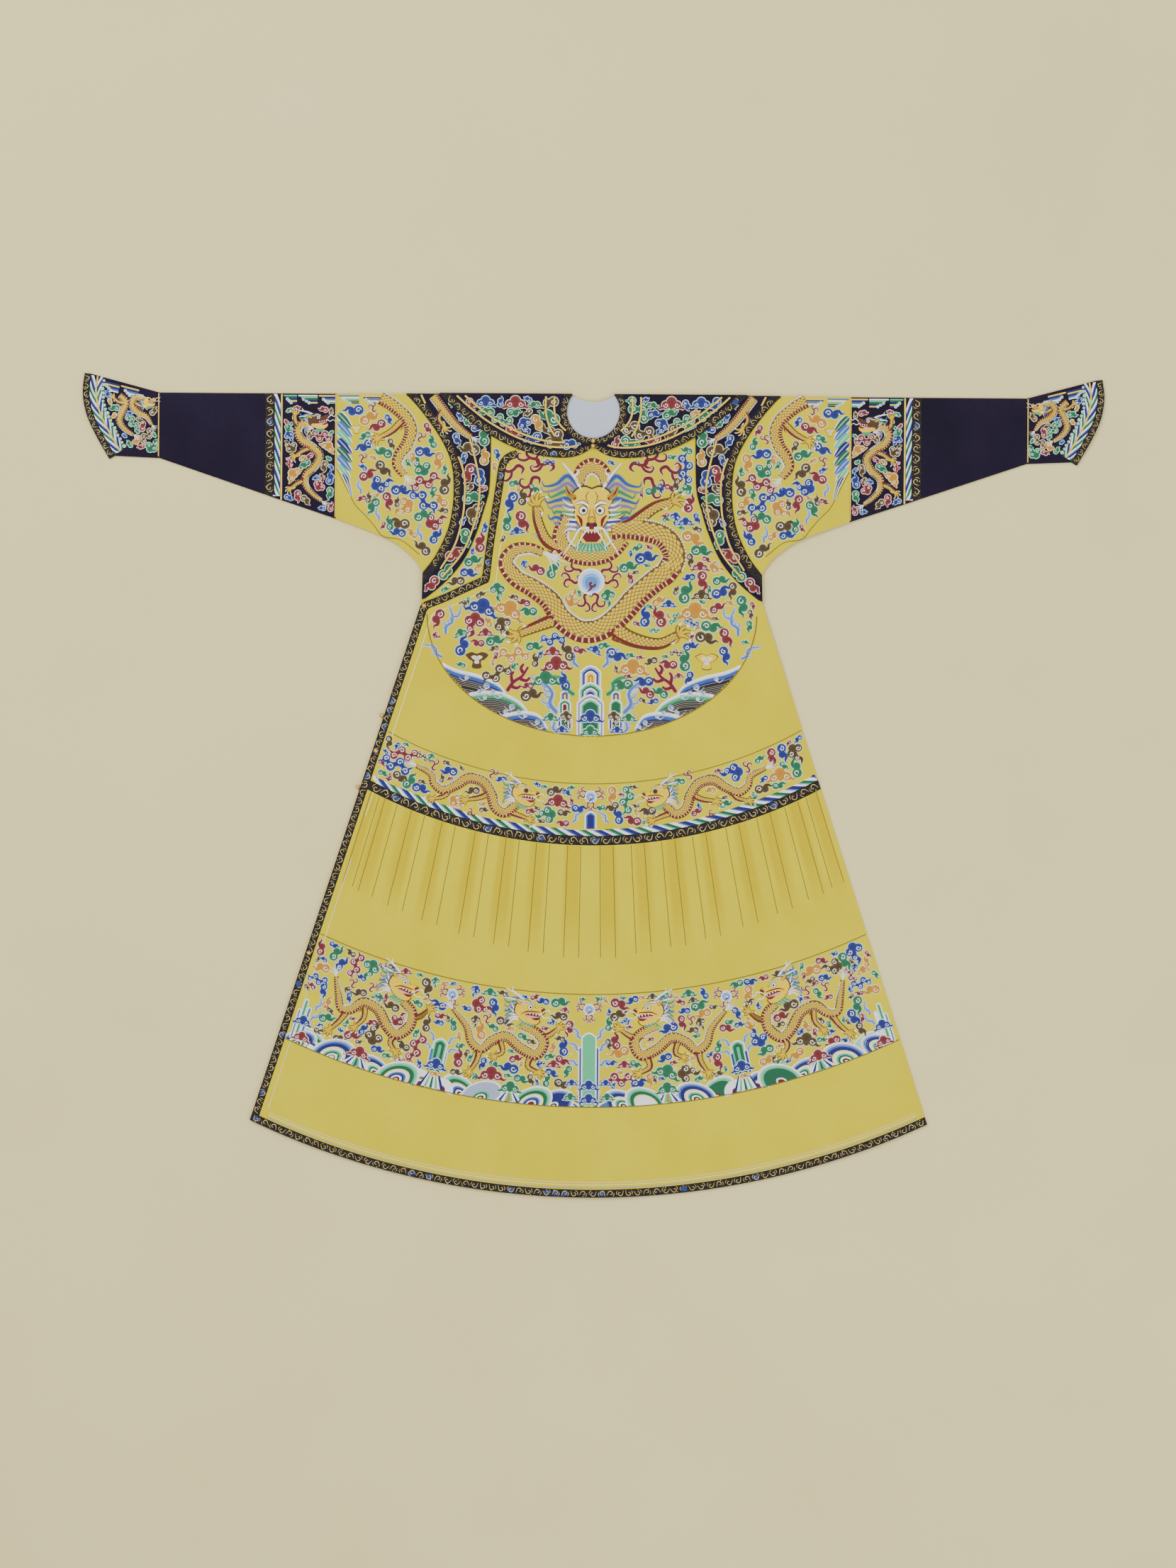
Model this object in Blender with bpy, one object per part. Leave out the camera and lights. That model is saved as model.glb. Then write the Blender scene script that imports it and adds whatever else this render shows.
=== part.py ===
"""A court robe of lined yellow silk, laid flat on its back with the sleeves spread.

Metres, +Z up. +Y runs towards the neck and -X is the wearer's right. The layout is drawn from the neck,
with y = 0 on the shoulder fold, and moved by MIDDLE_Y so that the origin is under the middle of the robe.
"""

import math

import bmesh
import bpy
from mathutils import Vector
from mathutils.geometry import delaunay_2d_cdt

# Cloth
WALL = 0.0012
GAP = 0.0003
LAYER = WALL + GAP
TRIM_WALL = 0.0015
SEAM = GAP / 2

# Main lengths, from the shoulder fold down and from the middle out
CUFF_TIP_RISE = 0.034
BODY_LENGTH = 1.4312
MIDDLE_Y = (BODY_LENGTH - CUFF_TIP_RISE) / 2
SIDE_SLOPE = 0.3243
UNDERARM = (0.3036, -0.3694)

# Arcs across the robe: the depth at the middle and the radius
BAND_TOP_ARC = (-0.693, 0.765)
WAIST_TRIM_TOP_ARC = (-0.786, 0.849)
WAIST_TRIM_WIDTH = 0.0165
HEM_ARC = (-BODY_LENGTH, 1.4238)
HEM_TRIM_WIDTH = 0.014

# Edgings and buttons
EDGE_TRIM_WIDTH = 0.0135
NECK_TRIM_WIDTH = 0.0115
CUFF_TRIM_WIDTH = 0.0115
MOST_TRIM = 0.44
LEAST_SLANT = 0.55
BUTTON_RADIUS = 0.004

# Sleeves: where each length starts, as x and the y of its underarm seam
ARMHOLE_X = 0.182
BAND_START = (0.4583, -0.223)
STRIP_START = (0.568, -0.1866)
LOWER_START = (0.5855, -0.1805)
CUFF_START = (0.7735, -0.117)
ARM_SEAM_STEPS = 24
CUFF_STEPS = 20
ARMHOLE_FADE = 1.5
FOLD_ROUNDING = 0.0007

# How far apart the points inside a panel lie, and inside the small neck lining
PANEL_STEP = 0.048
LINING_STEP = 0.020

# Neck
NECK_CENTRE_Y = -0.029
NECK_RADIUS = 0.0474
NECK_CUT = (0.052, 0.086)
BACK_NECK = (0.0375, 0.011)
SHOULDER_CUT = -0.003

# The shoulder fold that the collar and the wings wrap round
FOLD_Y = -0.00135
FOLD_Z = 0.00435
FOLD_ANGLES = (90, 45, 0, -45, -90)
COLLAR_BASE = 3 * LAYER
WING_BASE = 2 * LAYER

# Pleats of the skirt: the middle of each groove and half its width, as shares of the robe's half width
PLEATS = ((-0.935, 0.016), (-0.866, 0.024), (-0.749, 0.026), (-0.615, 0.026), (-0.471, 0.026), (-0.337, 0.026),
          (-0.205, 0.026), (-0.070, 0.026), (0.070, 0.026), (0.205, 0.026), (0.337, 0.026), (0.471, 0.026),
          (0.615, 0.026), (0.749, 0.026), (0.870, 0.026), (0.956, 0.020))
GROOVE_SIDE = 0.004
PLEAT_RISE = 0.0012
PLEAT_FADE = 0.05
PLEAT_END = 0.36
SIDE_RISE = 0.3
BACK_SHARES = tuple(n / 8 - 1 for n in range(17))

# How far down each panel its rows lie, as shares of its length
BAND_STEPS = (0, 0.5, 1)
SKIRT_STEPS = (0, 0.12, 0.24, PLEAT_END, 0.6, 0.8, 1)
BACK_SKIRT_STEPS = (0, 0.25, 0.5, 0.75, 1)
INNER_SKIRT_STEPS = (0, 1 / 3, 2 / 3, 1)

# Where the side seam's own points start, and the flap's foot and its bend under the arm
SIDE_START_Y = -0.385
FLAP_FOOT_Y = -0.600
FLAP_BEND = (-0.3045, -0.3722)

# How high the outer layers stand clear of the floor
BODY_PUFF = 0.0020
SLEEVE_PUFF = 0.0014
INNER_EDGE = (0.050, 0.130)

# Where the back comes down to the floor, past the collar and the wings
LIFT_ENDS_X = (0.390, 0.520)
LIFT_ENDS_Y = (-0.640, -0.385)

YELLOW = ("yellow_silk", (0.60, 0.50, 0.11), 0.55)
NAVY = ("navy_silk", (0.028, 0.024, 0.042), 0.55)
BROCADE = ("black_brocade", (0.035, 0.030, 0.030), 0.5)
BLUE = ("blue_lining", (0.50, 0.53, 0.58), 0.5)
GOLD = ("gilt_button", (0.62, 0.43, 0.12), 0.35)


# Shapes of the edges

def clear_scene():
    """Empties the scene."""
    for old in list(bpy.data.objects):
        bpy.data.objects.remove(old)


def smooth(value, low, high):
    """0 below low, 1 above high, and an even ramp between."""
    t = min(1.0, max(0.0, (value - low) / (high - low)))
    return t * t * (3 - 2 * t)


def curve_through(points, count):
    """count points at even steps along a smooth curve through the given ones."""
    ends = [2 * Vector(points[0]) - Vector(points[1])]
    ends += [Vector(p) for p in points]
    ends += [2 * Vector(points[-1]) - Vector(points[-2])]
    fine = []
    for before, start, stop, after in zip(ends, ends[1:], ends[2:], ends[3:]):
        for step in range(16):
            t = step / 16
            fine.append(0.5 * (2 * start + (stop - before) * t
                               + (2 * before - 5 * start + 4 * stop - after) * t ** 2
                               + (3 * start - before - 3 * stop + after) * t ** 3))
    fine.append(Vector(points[-1]))
    return even_steps(fine, count)


def even_steps(line, count):
    """count points at even steps along a line of points."""
    along = [0.0]
    for a, b in zip(line, line[1:]):
        along.append(along[-1] + (b - a).length)
    found = []
    k = 0
    for n in range(count):
        wanted = along[-1] * n / (count - 1)
        while k < len(line) - 2 and along[k + 1] < wanted:
            k += 1
        share = (wanted - along[k]) / max(along[k + 1] - along[k], 1e-12)
        found.append(line[k].lerp(line[k + 1], min(1.0, share)))
    return found


def moved_in(path, distance):
    """The path moved to its left by distance, with mitred corners."""
    found = []
    for n, point in enumerate(path):
        before = (point - path[n - 1]).normalized() if n else None
        after = (path[n + 1] - point).normalized() if n + 1 < len(path) else None
        before = before or after
        after = after or before
        along = (before + after).normalized()
        side = Vector((-along.y, along.x))
        half = max(0.5, side.dot(Vector((-after.y, after.x))))
        found.append(point + side * distance / half)
    return found


def arc_y(arc, x):
    """The height of an arc at x."""
    depth, radius = arc
    return depth + radius - math.sqrt(radius ** 2 - x ** 2)


def side_x(y):
    """Half the robe's width at y, below the underarm."""
    return UNDERARM[0] + (UNDERARM[1] - y) * SIDE_SLOPE


def arc_half(arc, inset=0.0):
    """Half the robe's width where an arc meets the side, or a line that far inside it."""
    x = UNDERARM[0]
    for _ in range(30):
        x = side_x(arc_y(arc, x)) - inset * math.sqrt(1 + SIDE_SLOPE ** 2)
    return x


def between(first, last, share):
    """The arc a share of the way from one to another."""
    return tuple(a + (b - a) * share for a, b in zip(first, last))


def lower(arc, distance):
    """The arc moved down, about the same centre."""
    return (arc[0] - distance, arc[1] + distance)


WAIST_TRIM_FOOT_ARC = lower(WAIST_TRIM_TOP_ARC, WAIST_TRIM_WIDTH)
SKIRT_TOP_ARC = lower(WAIST_TRIM_FOOT_ARC, GAP)
SKIRT_FOOT_ARC = lower(HEM_ARC, -HEM_TRIM_WIDTH - GAP)


def armhole(count):
    """The armhole seam of the left sleeve, from the shoulder to the underarm."""
    knots = [(ARMHOLE_X, 0.0), (ARMHOLE_X, -0.085), (0.184, -0.166), (0.1935, -0.205), (0.2055, -0.244),
             (0.228, -0.294), (0.262, -0.335), UNDERARM]
    return curve_through(knots, count)


def neck_cut(count, inset=0.0):
    """The edge of the fronts at the neck, from the middle out to the left shoulder."""
    wide, deep = NECK_CUT[0] - inset, NECK_CUT[1] - inset
    angles = [math.pi / 2 * n / (count - 1) for n in range(count)]
    return [Vector((wide * math.sin(a), -deep * math.cos(a))) for a in angles]


def back_neck(count):
    """The shallow dip of the back at the neck, from right to left."""
    wide, deep = BACK_NECK
    shares = [2 * n / (count - 1) - 1 for n in range(count)]
    return [Vector((wide * s, -deep * (1 - s * s))) for s in shares]


def front_edge(foot):
    """The free edge of the outer front: from the collar to the flap's corner, the underarm and down the side."""
    down = [(-0.137, -0.099), (-0.158, -0.106), (-0.168, -0.124), (-0.174, -0.166), (-0.1885, -0.2606),
            (-0.196, -0.325)]
    across = [(-0.196, -0.325), (-0.236, -0.343), (-0.2653, -0.357), FLAP_BEND]
    side = [Vector((-p.x, p.y)) for p in side_line(FLAP_BEND[1], foot, 25)]
    return curve_through(down, 16) + curve_through(across, 8)[1:] + side[1:]


def mirrored(points):
    """The points on the other side of the robe, in the other order."""
    return [Vector((-p.x, p.y)) for p in reversed(points)]


# Heights of the layers

def lift(x, y):
    """How far the back lies above the floor, where the collar and the wings lie under it."""
    return 2 * LAYER * (1 - smooth(abs(x), *LIFT_ENDS_X)) * smooth(y, *LIFT_ENDS_Y)


def back_floor(x, y):
    """The underside of the back."""
    return lift(x, y)


def inner_floor(x, y):
    """The underside of the inner front."""
    return lift(x, y) + LAYER


def outer_floor(x, y):
    """The underside of the outer front, which steps down past the inner front's edge."""
    over_inner = 1 - smooth(x, *INNER_EDGE)
    edge = side_x(min(y, UNDERARM[1])) - abs(x)
    puff = BODY_PUFF * smooth(-y, 0.42, 0.56) * smooth(edge, 0.0, 0.11) * smooth(BODY_LENGTH + y, 0.0, 0.16)
    return lift(x, y) + LAYER + LAYER * over_inner + puff


def sleeve_puff(x, share):
    """How much a sleeve's upper side bulges, at x and at a share of the way down."""
    return SLEEVE_PUFF * smooth(abs(x), 0.35, 0.45) * math.sin(math.pi * share)


def wing_drop(y):
    """How far a wing's back half lies above the floor, where the collar lies under it."""
    return LAYER * smooth(y, -0.165, -0.128)


# Building

def material(finish):
    """A Principled material in this finish."""
    name, colour, roughness = finish
    made = bpy.data.materials.get(name)
    if made is None:
        made = bpy.data.materials.new(name)
        made.use_nodes = True
        shader = made.node_tree.nodes["Principled BSDF"]
        shader.inputs["Base Color"].default_value = (*colour, 1.0)
        shader.inputs["Roughness"].default_value = roughness
        shader.inputs["Metallic"].default_value = 1.0 if finish is GOLD else 0.0
    return made


def add_object(name, bm, finish):
    """The finished object, its faces turned outwards, moved to its place over the origin."""
    bmesh.ops.recalc_face_normals(bm, faces=bm.faces)
    bmesh.ops.translate(bm, verts=bm.verts, vec=(0, MIDDLE_Y, 0))
    mesh = bpy.data.meshes.new(name)
    bm.to_mesh(mesh)
    bm.free()
    made = bpy.data.objects.new(name, mesh)
    made.data.materials.append(material(finish))
    bpy.context.scene.collection.objects.link(made)
    mesh.shade_smooth()
    mesh.set_sharp_from_angle(angle=math.radians(35))
    return made


def add_sheet(name, over, under, finish, ring=False):
    """A solid between two grids of points. A ring's columns go all the way round."""
    bm = bmesh.new()
    rows, columns = len(over), len(over[0])
    outer = [[bm.verts.new(p) for p in row] for row in over]
    inner = [[bm.verts.new(p) for p in row] for row in under]
    for r in range(rows - 1):
        for c in range(columns if ring else columns - 1):
            d = (c + 1) % columns
            bm.faces.new((outer[r][c], outer[r][d], outer[r + 1][d], outer[r + 1][c]))
            bm.faces.new((inner[r][c], inner[r + 1][c], inner[r + 1][d], inner[r][d]))
    for r in (0, rows - 1):
        for c in range(columns if ring else columns - 1):
            d = (c + 1) % columns
            bm.faces.new((outer[r][c], outer[r][d], inner[r][d], inner[r][c]))
    if not ring:
        for c in (0, columns - 1):
            for r in range(rows - 1):
                bm.faces.new((outer[r][c], outer[r + 1][c], inner[r + 1][c], inner[r][c]))
    return add_object(name, bm, finish)


def add_laid(name, plan, floor, finish, wall=WALL, rise=None):
    """A sheet laid over a grid of plan points, its underside at floor(x, y)."""
    under = [[Vector((p.x, p.y, floor(p.x, p.y))) for p in row] for row in plan]
    over = [[p + Vector((0, 0, wall + (rise[r][c] if rise else 0))) for c, p in enumerate(row)]
            for r, row in enumerate(under)]
    return add_sheet(name, over, under, finish)


def add_panel(name, outline, floor, finish, step=PANEL_STEP):
    """A sheet cut to a closed outline, its underside at floor(x, y)."""
    inside = []
    for i in range(-15, 16):
        for j in range(1, 32):
            point = Vector(((i + 0.5 * (j % 2)) * step, -j * step))
            if is_inside(point, outline) and edge_distance(point, outline) > step * 0.4:
                inside.append(point)
    points = [Vector(p) for p in outline] + inside
    edges = [(n, (n + 1) % len(outline)) for n in range(len(outline))]
    flat, _, faces, _, _, _ = delaunay_2d_cdt(points, edges, [], 1, 1e-7)
    bm = bmesh.new()
    under = [bm.verts.new((p.x, p.y, floor(p.x, p.y))) for p in flat]
    over = [bm.verts.new((v.co.x, v.co.y, v.co.z + WALL)) for v in under]
    rim = set()
    for face in faces:
        bm.faces.new([over[n] for n in face])
        bm.faces.new([under[n] for n in reversed(face)])
        for a, b in zip(face, list(face[1:]) + [face[0]]):
            if (b, a) in rim:
                rim.remove((b, a))
            else:
                rim.add((a, b))
    for a, b in sorted(rim):
        bm.faces.new((over[b], over[a], under[a], under[b]))
    return add_object(name, bm, finish)


def is_inside(point, outline):
    """True if the point lies in the closed outline."""
    inside = False
    for a, b in zip(outline, outline[1:] + outline[:1]):
        if (a.y > point.y) != (b.y > point.y):
            if point.x < (b.x - a.x) * (point.y - a.y) / (b.y - a.y) + a.x:
                inside = not inside
    return inside


def edge_distance(point, outline):
    """The distance from a point to a closed outline."""
    nearest = 1.0
    for a, b in zip(outline, outline[1:] + outline[:1]):
        along = b - a
        share = max(0.0, min(1.0, (point - a).dot(along) / max(along.length_squared, 1e-12)))
        nearest = min(nearest, (a + along * share - point).length)
    return nearest


# The body

def side_line(top_y, arc, count):
    """Points down the left side from top_y to an arc."""
    low = Vector((arc_half(arc), arc_y(arc, arc_half(arc))))
    return [Vector((side_x(top_y), top_y)).lerp(low, n / (count - 1)) for n in range(count)]


def make_back():
    """The back, its neck lining, waistband and skirt."""
    foot = lower(BAND_TOP_ARC, -SEAM)
    left = [p - Vector((SEAM, 0)) for p in armhole(12)] + side_line(SIDE_START_Y, foot, 8)
    outline = back_neck(7) + left + list(reversed(row_across(foot, BACK_SHARES)))[1:-1] + mirrored(left)
    add_panel("back_body", outline, back_floor, YELLOW)
    lining = [p - Vector((0, 2 * GAP)) for p in reversed(back_neck(7))]
    lining += [Vector((-p.x, p.y)) for p in reversed(neck_cut(8, 2 * GAP))]
    lining = [Vector((p.x, min(p.y, -2 * GAP))) for p in lining + neck_cut(8, 2 * GAP)[1:]]
    add_panel("neck_lining", lining, inner_floor, BLUE, step=LINING_STEP)
    add_laid("back_waistband", band_plan(BACK_SHARES), back_floor, YELLOW)
    add_laid("back_waist_trim", waist_trim_plan(BACK_SHARES), back_floor, BROCADE)
    add_laid("back_skirt", rows_across(SKIRT_TOP_ARC, SKIRT_FOOT_ARC, BACK_SKIRT_STEPS, BACK_SHARES),
             back_floor, YELLOW)
    add_laid("back_hem_trim", hem_trim_plan(BACK_SHARES), back_floor, BROCADE)


def row_across(arc, shares, trimmed=False):
    """Points across the robe on an arc, one at each share of the half width, from the side trim if it has one."""
    xs = [share * arc_half(arc) for share in shares]
    if trimmed:
        xs[0] = -arc_half(arc, EDGE_TRIM_WIDTH + GAP)
    return [Vector((x, arc_y(arc, x))) for x in xs]


def rows_across(top, foot, steps, shares, trimmed=False):
    """Rows of points across the robe at these steps from one arc down to another."""
    return [row_across(between(top, foot, step), shares, trimmed) for step in steps]


def band_plan(shares, trimmed=False):
    """The waistband's grid."""
    return rows_across(lower(BAND_TOP_ARC, SEAM), lower(WAIST_TRIM_TOP_ARC, -GAP), BAND_STEPS, shares, trimmed)


def waist_trim_plan(shares, trimmed=False):
    """The grid of the edging under the waistband."""
    return rows_across(WAIST_TRIM_TOP_ARC, WAIST_TRIM_FOOT_ARC, (0, 1), shares, trimmed)


def hem_trim_plan(shares):
    """The grid of the edging along the hem."""
    return rows_across(lower(HEM_ARC, -HEM_TRIM_WIDTH), HEM_ARC, (0, 1), shares)


def front_shares():
    """Where the columns of the skirt lie, as shares of the half width, and how far each one rises."""
    shares, rises = [-1.0], [SIDE_RISE]
    for centre, half in PLEATS:
        for offset, rise in ((-half - GROOVE_SIDE, 1.0), (-half, 0.0), (half, 0.0), (half + GROOVE_SIDE, 1.0)):
            shares.append(centre + offset)
            rises.append(rise)
    return shares + [1.0], rises + [SIDE_RISE]


def make_inner_front():
    """The inner front and its skirt, which the outer front covers below the neck."""
    foot = WAIST_TRIM_FOOT_ARC
    edge = mirrored([p - Vector((SEAM, 0)) for p in armhole(12)] + side_line(SIDE_START_Y, foot, 10))
    outline = edge + mirrored(neck_cut(8))[1:]
    outline += [Vector((0, -0.086 + (foot[0] + 0.086) * n / 8)) for n in range(1, 8)]
    outline += list(reversed(row_across(foot, BACK_SHARES[:len(BACK_SHARES) // 2 + 1])))[:-1]
    add_panel("front_inner_body", outline, inner_floor, YELLOW)
    skirt = rows_across(SKIRT_TOP_ARC, SKIRT_FOOT_ARC, INNER_SKIRT_STEPS, BACK_SHARES)
    add_laid("front_inner_skirt", [row[:len(row) // 2 + 1] for row in skirt], inner_floor, YELLOW)


def make_outer_front():
    """The outer front with its flap, waistband and pleated skirt."""
    foot = lower(BAND_TOP_ARC, -SEAM)
    shares, rises = front_shares()
    left = [p - Vector((SEAM, 0)) for p in armhole(12)] + side_line(SIDE_START_Y, foot, 8)
    flap = [p for p in moved_in(front_edge(HEM_ARC), EDGE_TRIM_WIDTH + GAP) if p.y > FLAP_FOOT_Y]
    under_collar = [Vector((x, -0.0865)) for x in (-0.115, -0.080, -0.045, -0.015)]
    outline = [Vector((-0.1315, -0.094))] + under_collar + neck_cut(8) + left
    outline += list(reversed(row_across(foot, shares, True)))[1:]
    outline = [Vector((p.x, min(p.y, SHOULDER_CUT))) for p in outline + list(reversed(flap))]
    add_panel("front_outer_body", outline, outer_floor, YELLOW)
    add_laid("front_waistband", band_plan(shares, True), outer_floor, YELLOW)
    rise = [[PLEAT_RISE * r * (1 - smooth(step, PLEAT_FADE, PLEAT_END)) for r in rises] for step in SKIRT_STEPS]
    plan = rows_across(SKIRT_TOP_ARC, SKIRT_FOOT_ARC, SKIRT_STEPS, shares, True)
    add_laid("front_skirt", plan, outer_floor, YELLOW, rise=rise)


def make_front_trims():
    """The brocade edging of the outer front: flap, side, waist and hem."""
    foot = lower(HEM_ARC, -HEM_TRIM_WIDTH - GAP)
    outer = front_edge(foot)
    inner = moved_in(outer, EDGE_TRIM_WIDTH)
    half = arc_half(foot, EDGE_TRIM_WIDTH)
    inner[-1] = Vector((-half, arc_y(foot, half)))
    add_laid("front_edge_trim", [outer, inner], outer_floor, BROCADE, wall=TRIM_WALL)
    shares = front_shares()[0]
    add_laid("waist_trim", waist_trim_plan(shares, True), outer_floor, BROCADE, wall=TRIM_WALL)
    add_laid("hem_trim", hem_trim_plan(shares), outer_floor, BROCADE, wall=TRIM_WALL)


# Sleeves

def cuff_edge(share, inset=0.0):
    """A point on the flared edge of the cuff, a share of the way from its top to its foot."""
    knots = [(0.908, CUFF_TIP_RISE), (0.9115, 0.0), (0.905, -0.038), (0.888, -0.076), (0.863, -0.1195)]
    line = curve_through(knots, CUFF_STEPS + 1)
    n = round(share * CUFF_STEPS)
    along = (line[min(CUFF_STEPS, n + 1)] - line[max(0, n - 1)]).normalized()
    return line[n] + Vector((along.y, -along.x)) * inset


def upper_section(share, shares):
    """Plan points down the upper sleeve, whose start follows the armhole and whose foot curves to the underarm."""
    stop_x, stop_y = BAND_START
    top = Vector((ARMHOLE_X + SEAM, 0)).lerp(Vector((stop_x - SEAM, 0)), share)
    seam = curve_through([UNDERARM, (0.3023, -0.345), (0.3023, -0.320), (0.3137, -0.299), (0.3365, -0.277),
                          (0.3737, -0.2543), (stop_x - SEAM, stop_y)], ARM_SEAM_STEPS + 1)
    foot = seam[round(share * ARM_SEAM_STEPS)] + Vector((SEAM * (1 - share), 0))
    start = armhole(len(shares))
    fade = (1 - share) ** ARMHOLE_FADE
    return [top.lerp(foot, s) + (start[n] - start[0].lerp(start[-1], s)) * fade for n, s in enumerate(shares)]


def section_points(kind, share, around):
    """Plan points down one section of the sleeve, from the shoulder fold to the seam under the arm."""
    shares = [n / (around - 1) for n in range(around)]
    if kind == "upper":
        return upper_section(share, shares)
    if kind == "cuff":
        x, foot = CUFF_START
        starts = [Vector((x + SEAM, foot * s)) for s in shares]
        return [start.lerp(cuff_edge(s, CUFF_TRIM_WIDTH + GAP), share) for start, s in zip(starts, shares)]
    if kind == "cuff_trim":
        return [cuff_edge(s, CUFF_TRIM_WIDTH).lerp(cuff_edge(s), share) for s in shares]
    (x0, y0), (x1, y1) = {"band": (BAND_START, STRIP_START), "band_trim": (STRIP_START, LOWER_START),
                          "lower": (LOWER_START, CUFF_START)}[kind]
    x = x0 + SEAM + (x1 - x0 - 2 * SEAM) * share
    foot = y0 + (y1 - y0) * share
    return [Vector((x, foot * s)) for s in shares]


def make_sleeve_tube(name, kind, side, sections, finish, around=8, proud=0.0):
    """One length of a sleeve: a flattened tube, folded at the top and seamed under the arm."""
    outer, inner = [], []
    for n in range(sections):
        plan = section_points(kind, n / (sections - 1), around)
        down = (plan[-1] - plan[0]).normalized()
        above, below, above_in, below_in = [], [], [], []
        for k, p in enumerate(plan):
            share = k / (around - 1)
            end = k in (0, around - 1)
            base = lift(p.x, p.y)
            height = 2 * WALL + GAP + sleeve_puff(p.x, share) + proud
            turn = down * (WALL * (1 if k == 0 else -1)) if end else Vector((0, 0))
            q = p + turn
            rim = FOLD_ROUNDING if end else 0.0
            above.append(Vector((p.x, p.y, base + height - rim)))
            below.append(Vector((p.x, p.y, base + rim)))
            above_in.append(Vector((q.x, q.y, base + height - WALL - proud)))
            below_in.append(Vector((q.x, q.y, base + WALL)))
        outer.append([mirror_to(v, side) for v in above + list(reversed(below))])
        inner.append([mirror_to(v, side) for v in above_in + list(reversed(below_in))])
    add_sheet(name, outer, inner, finish, ring=True)


def mirror_to(point, side):
    """The point, on the wearer's right if side is -1."""
    return Vector((point.x * side, point.y, point.z))


def make_sleeve(side, name):
    """All the lengths of one sleeve, from the armhole to the flared cuff."""
    make_sleeve_tube(f"sleeve_upper_{name}", "upper", side, 9, YELLOW, around=12)
    make_sleeve_tube(f"sleeve_band_{name}", "band", side, 3, NAVY)
    make_sleeve_tube(f"sleeve_band_trim_{name}", "band_trim", side, 2, BROCADE, proud=GAP)
    make_sleeve_tube(f"sleeve_lower_{name}", "lower", side, 4, NAVY)
    make_sleeve_tube(f"cuff_{name}", "cuff", side, 5, NAVY, around=11)
    make_sleeve_tube(f"cuff_trim_{name}", "cuff_trim", side, 2, BROCADE, around=11, proud=GAP)


# Collar and shoulder wings

def wrapped(stations, inner_front, inner_back):
    """Grids for a band that folds round the shoulder.

    Each station is (row of plan points, place), where place is "front", "back" or an angle on the fold.
    """
    under, over = [], []
    for row, place in stations:
        low, high = [], []
        for p in row:
            if place == "front":
                z, normal = inner_front(p.x, p.y), Vector((0, 0, 1))
                start = Vector((p.x, p.y, z))
            elif place == "back":
                z, normal = inner_back(p.x, p.y), Vector((0, 0, -1))
                start = Vector((p.x, p.y, z))
            else:
                angle = math.radians(place)
                normal = Vector((0, math.cos(angle), math.sin(angle)))
                radius = inner_front(p.x, 0) - FOLD_Z
                start = Vector((p.x, FOLD_Y, FOLD_Z)) + normal * radius
            low.append(start)
            high.append(start + normal * WALL)
        under.append(low)
        over.append(high)
    return over, under


def cross_row(inner, outer, first, last):
    """Points from inner to outer between two distances, one from each edge."""
    span = (outer - inner).length
    start, stop = inner.lerp(outer, first / span), outer.lerp(inner, last / span)
    return start, stop


def slanted(width, path, n, across):
    """The distance along a row that gives a trim this width, where the row slants across the edge."""
    along = (path[min(n + 1, len(path) - 1)] - path[max(n - 1, 0)]).normalized()
    sine = abs(along.x * across.y - along.y * across.x)
    return width / max(sine, LEAST_SLANT)


def band_rows(inner, outer, part, columns, trims):
    """Rows of plan points across a band: its main cloth, or the trim on one of its edges."""
    neck_width, edge_width = trims
    rows = []
    for n, (a, b) in enumerate(zip(inner, outer)):
        span = (b - a).length
        across = (b - a).normalized()
        neck = min(slanted(neck_width, inner, n, across), MOST_TRIM * span) if neck_width else 0.0
        edge = min(slanted(edge_width, outer, n, across), MOST_TRIM * span)
        limits = {"main": (neck + GAP if neck else 0.0, edge + GAP),
                  "edge_trim": (span - edge, 0.0),
                  "neck_trim": (0.0, span - neck)}[part]
        start, stop = cross_row(a, b, *limits)
        rows.append([start.lerp(stop, c / (columns - 1)) for c in range(columns)])
    return rows


def folded_stations(front_rows, back_rows):
    """Front rows towards the shoulder, the fold, and back rows away from it."""
    last = front_rows[-1]
    stations = [(row, "front") for row in front_rows[:-1]]
    stations += [(last, angle) for angle in FOLD_ANGLES]
    return stations + [(row, "back") for row in back_rows[1:]]


def wing_edges(count):
    """The inner and outer edges of the left wing, from the underarm up to the shoulder."""
    outer = curve_through([(0.3028, -0.3185), (0.279, -0.286), (0.258, -0.240), (0.2495, -0.195),
                           (0.249, -0.150), (0.256, -0.112), (0.277, -0.071), (0.307, -0.030), (0.334, 0)], count)
    inner = list(reversed([p + Vector((2 * GAP, 0)) for p in armhole(count)]))
    inner[0] = Vector((0.3036 + GAP, -0.3660))
    return inner, outer


def make_wing(side, name):
    """The flared shoulder wing that lies over the armhole seam, front and back, with its edging."""
    inner, outer = wing_edges(15)
    for part, finish in (("main", NAVY), ("edge_trim", BROCADE)):
        columns = 4 if part == "main" else 2
        rows = band_rows(inner, outer, part, columns, (0.0, EDGE_TRIM_WIDTH))
        over, under = wrapped(folded_stations(rows, list(reversed(rows))),
                              lambda x, y: lift(x, y) + WING_BASE, lambda x, y: wing_drop(y) + WALL)
        over = [[mirror_to(p, side) for p in row] for row in over]
        under = [[mirror_to(p, side) for p in row] for row in under]
        title = f"wing_{name}" if part == "main" else f"wing_trim_{name}"
        add_sheet(title, over, under, finish)


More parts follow.
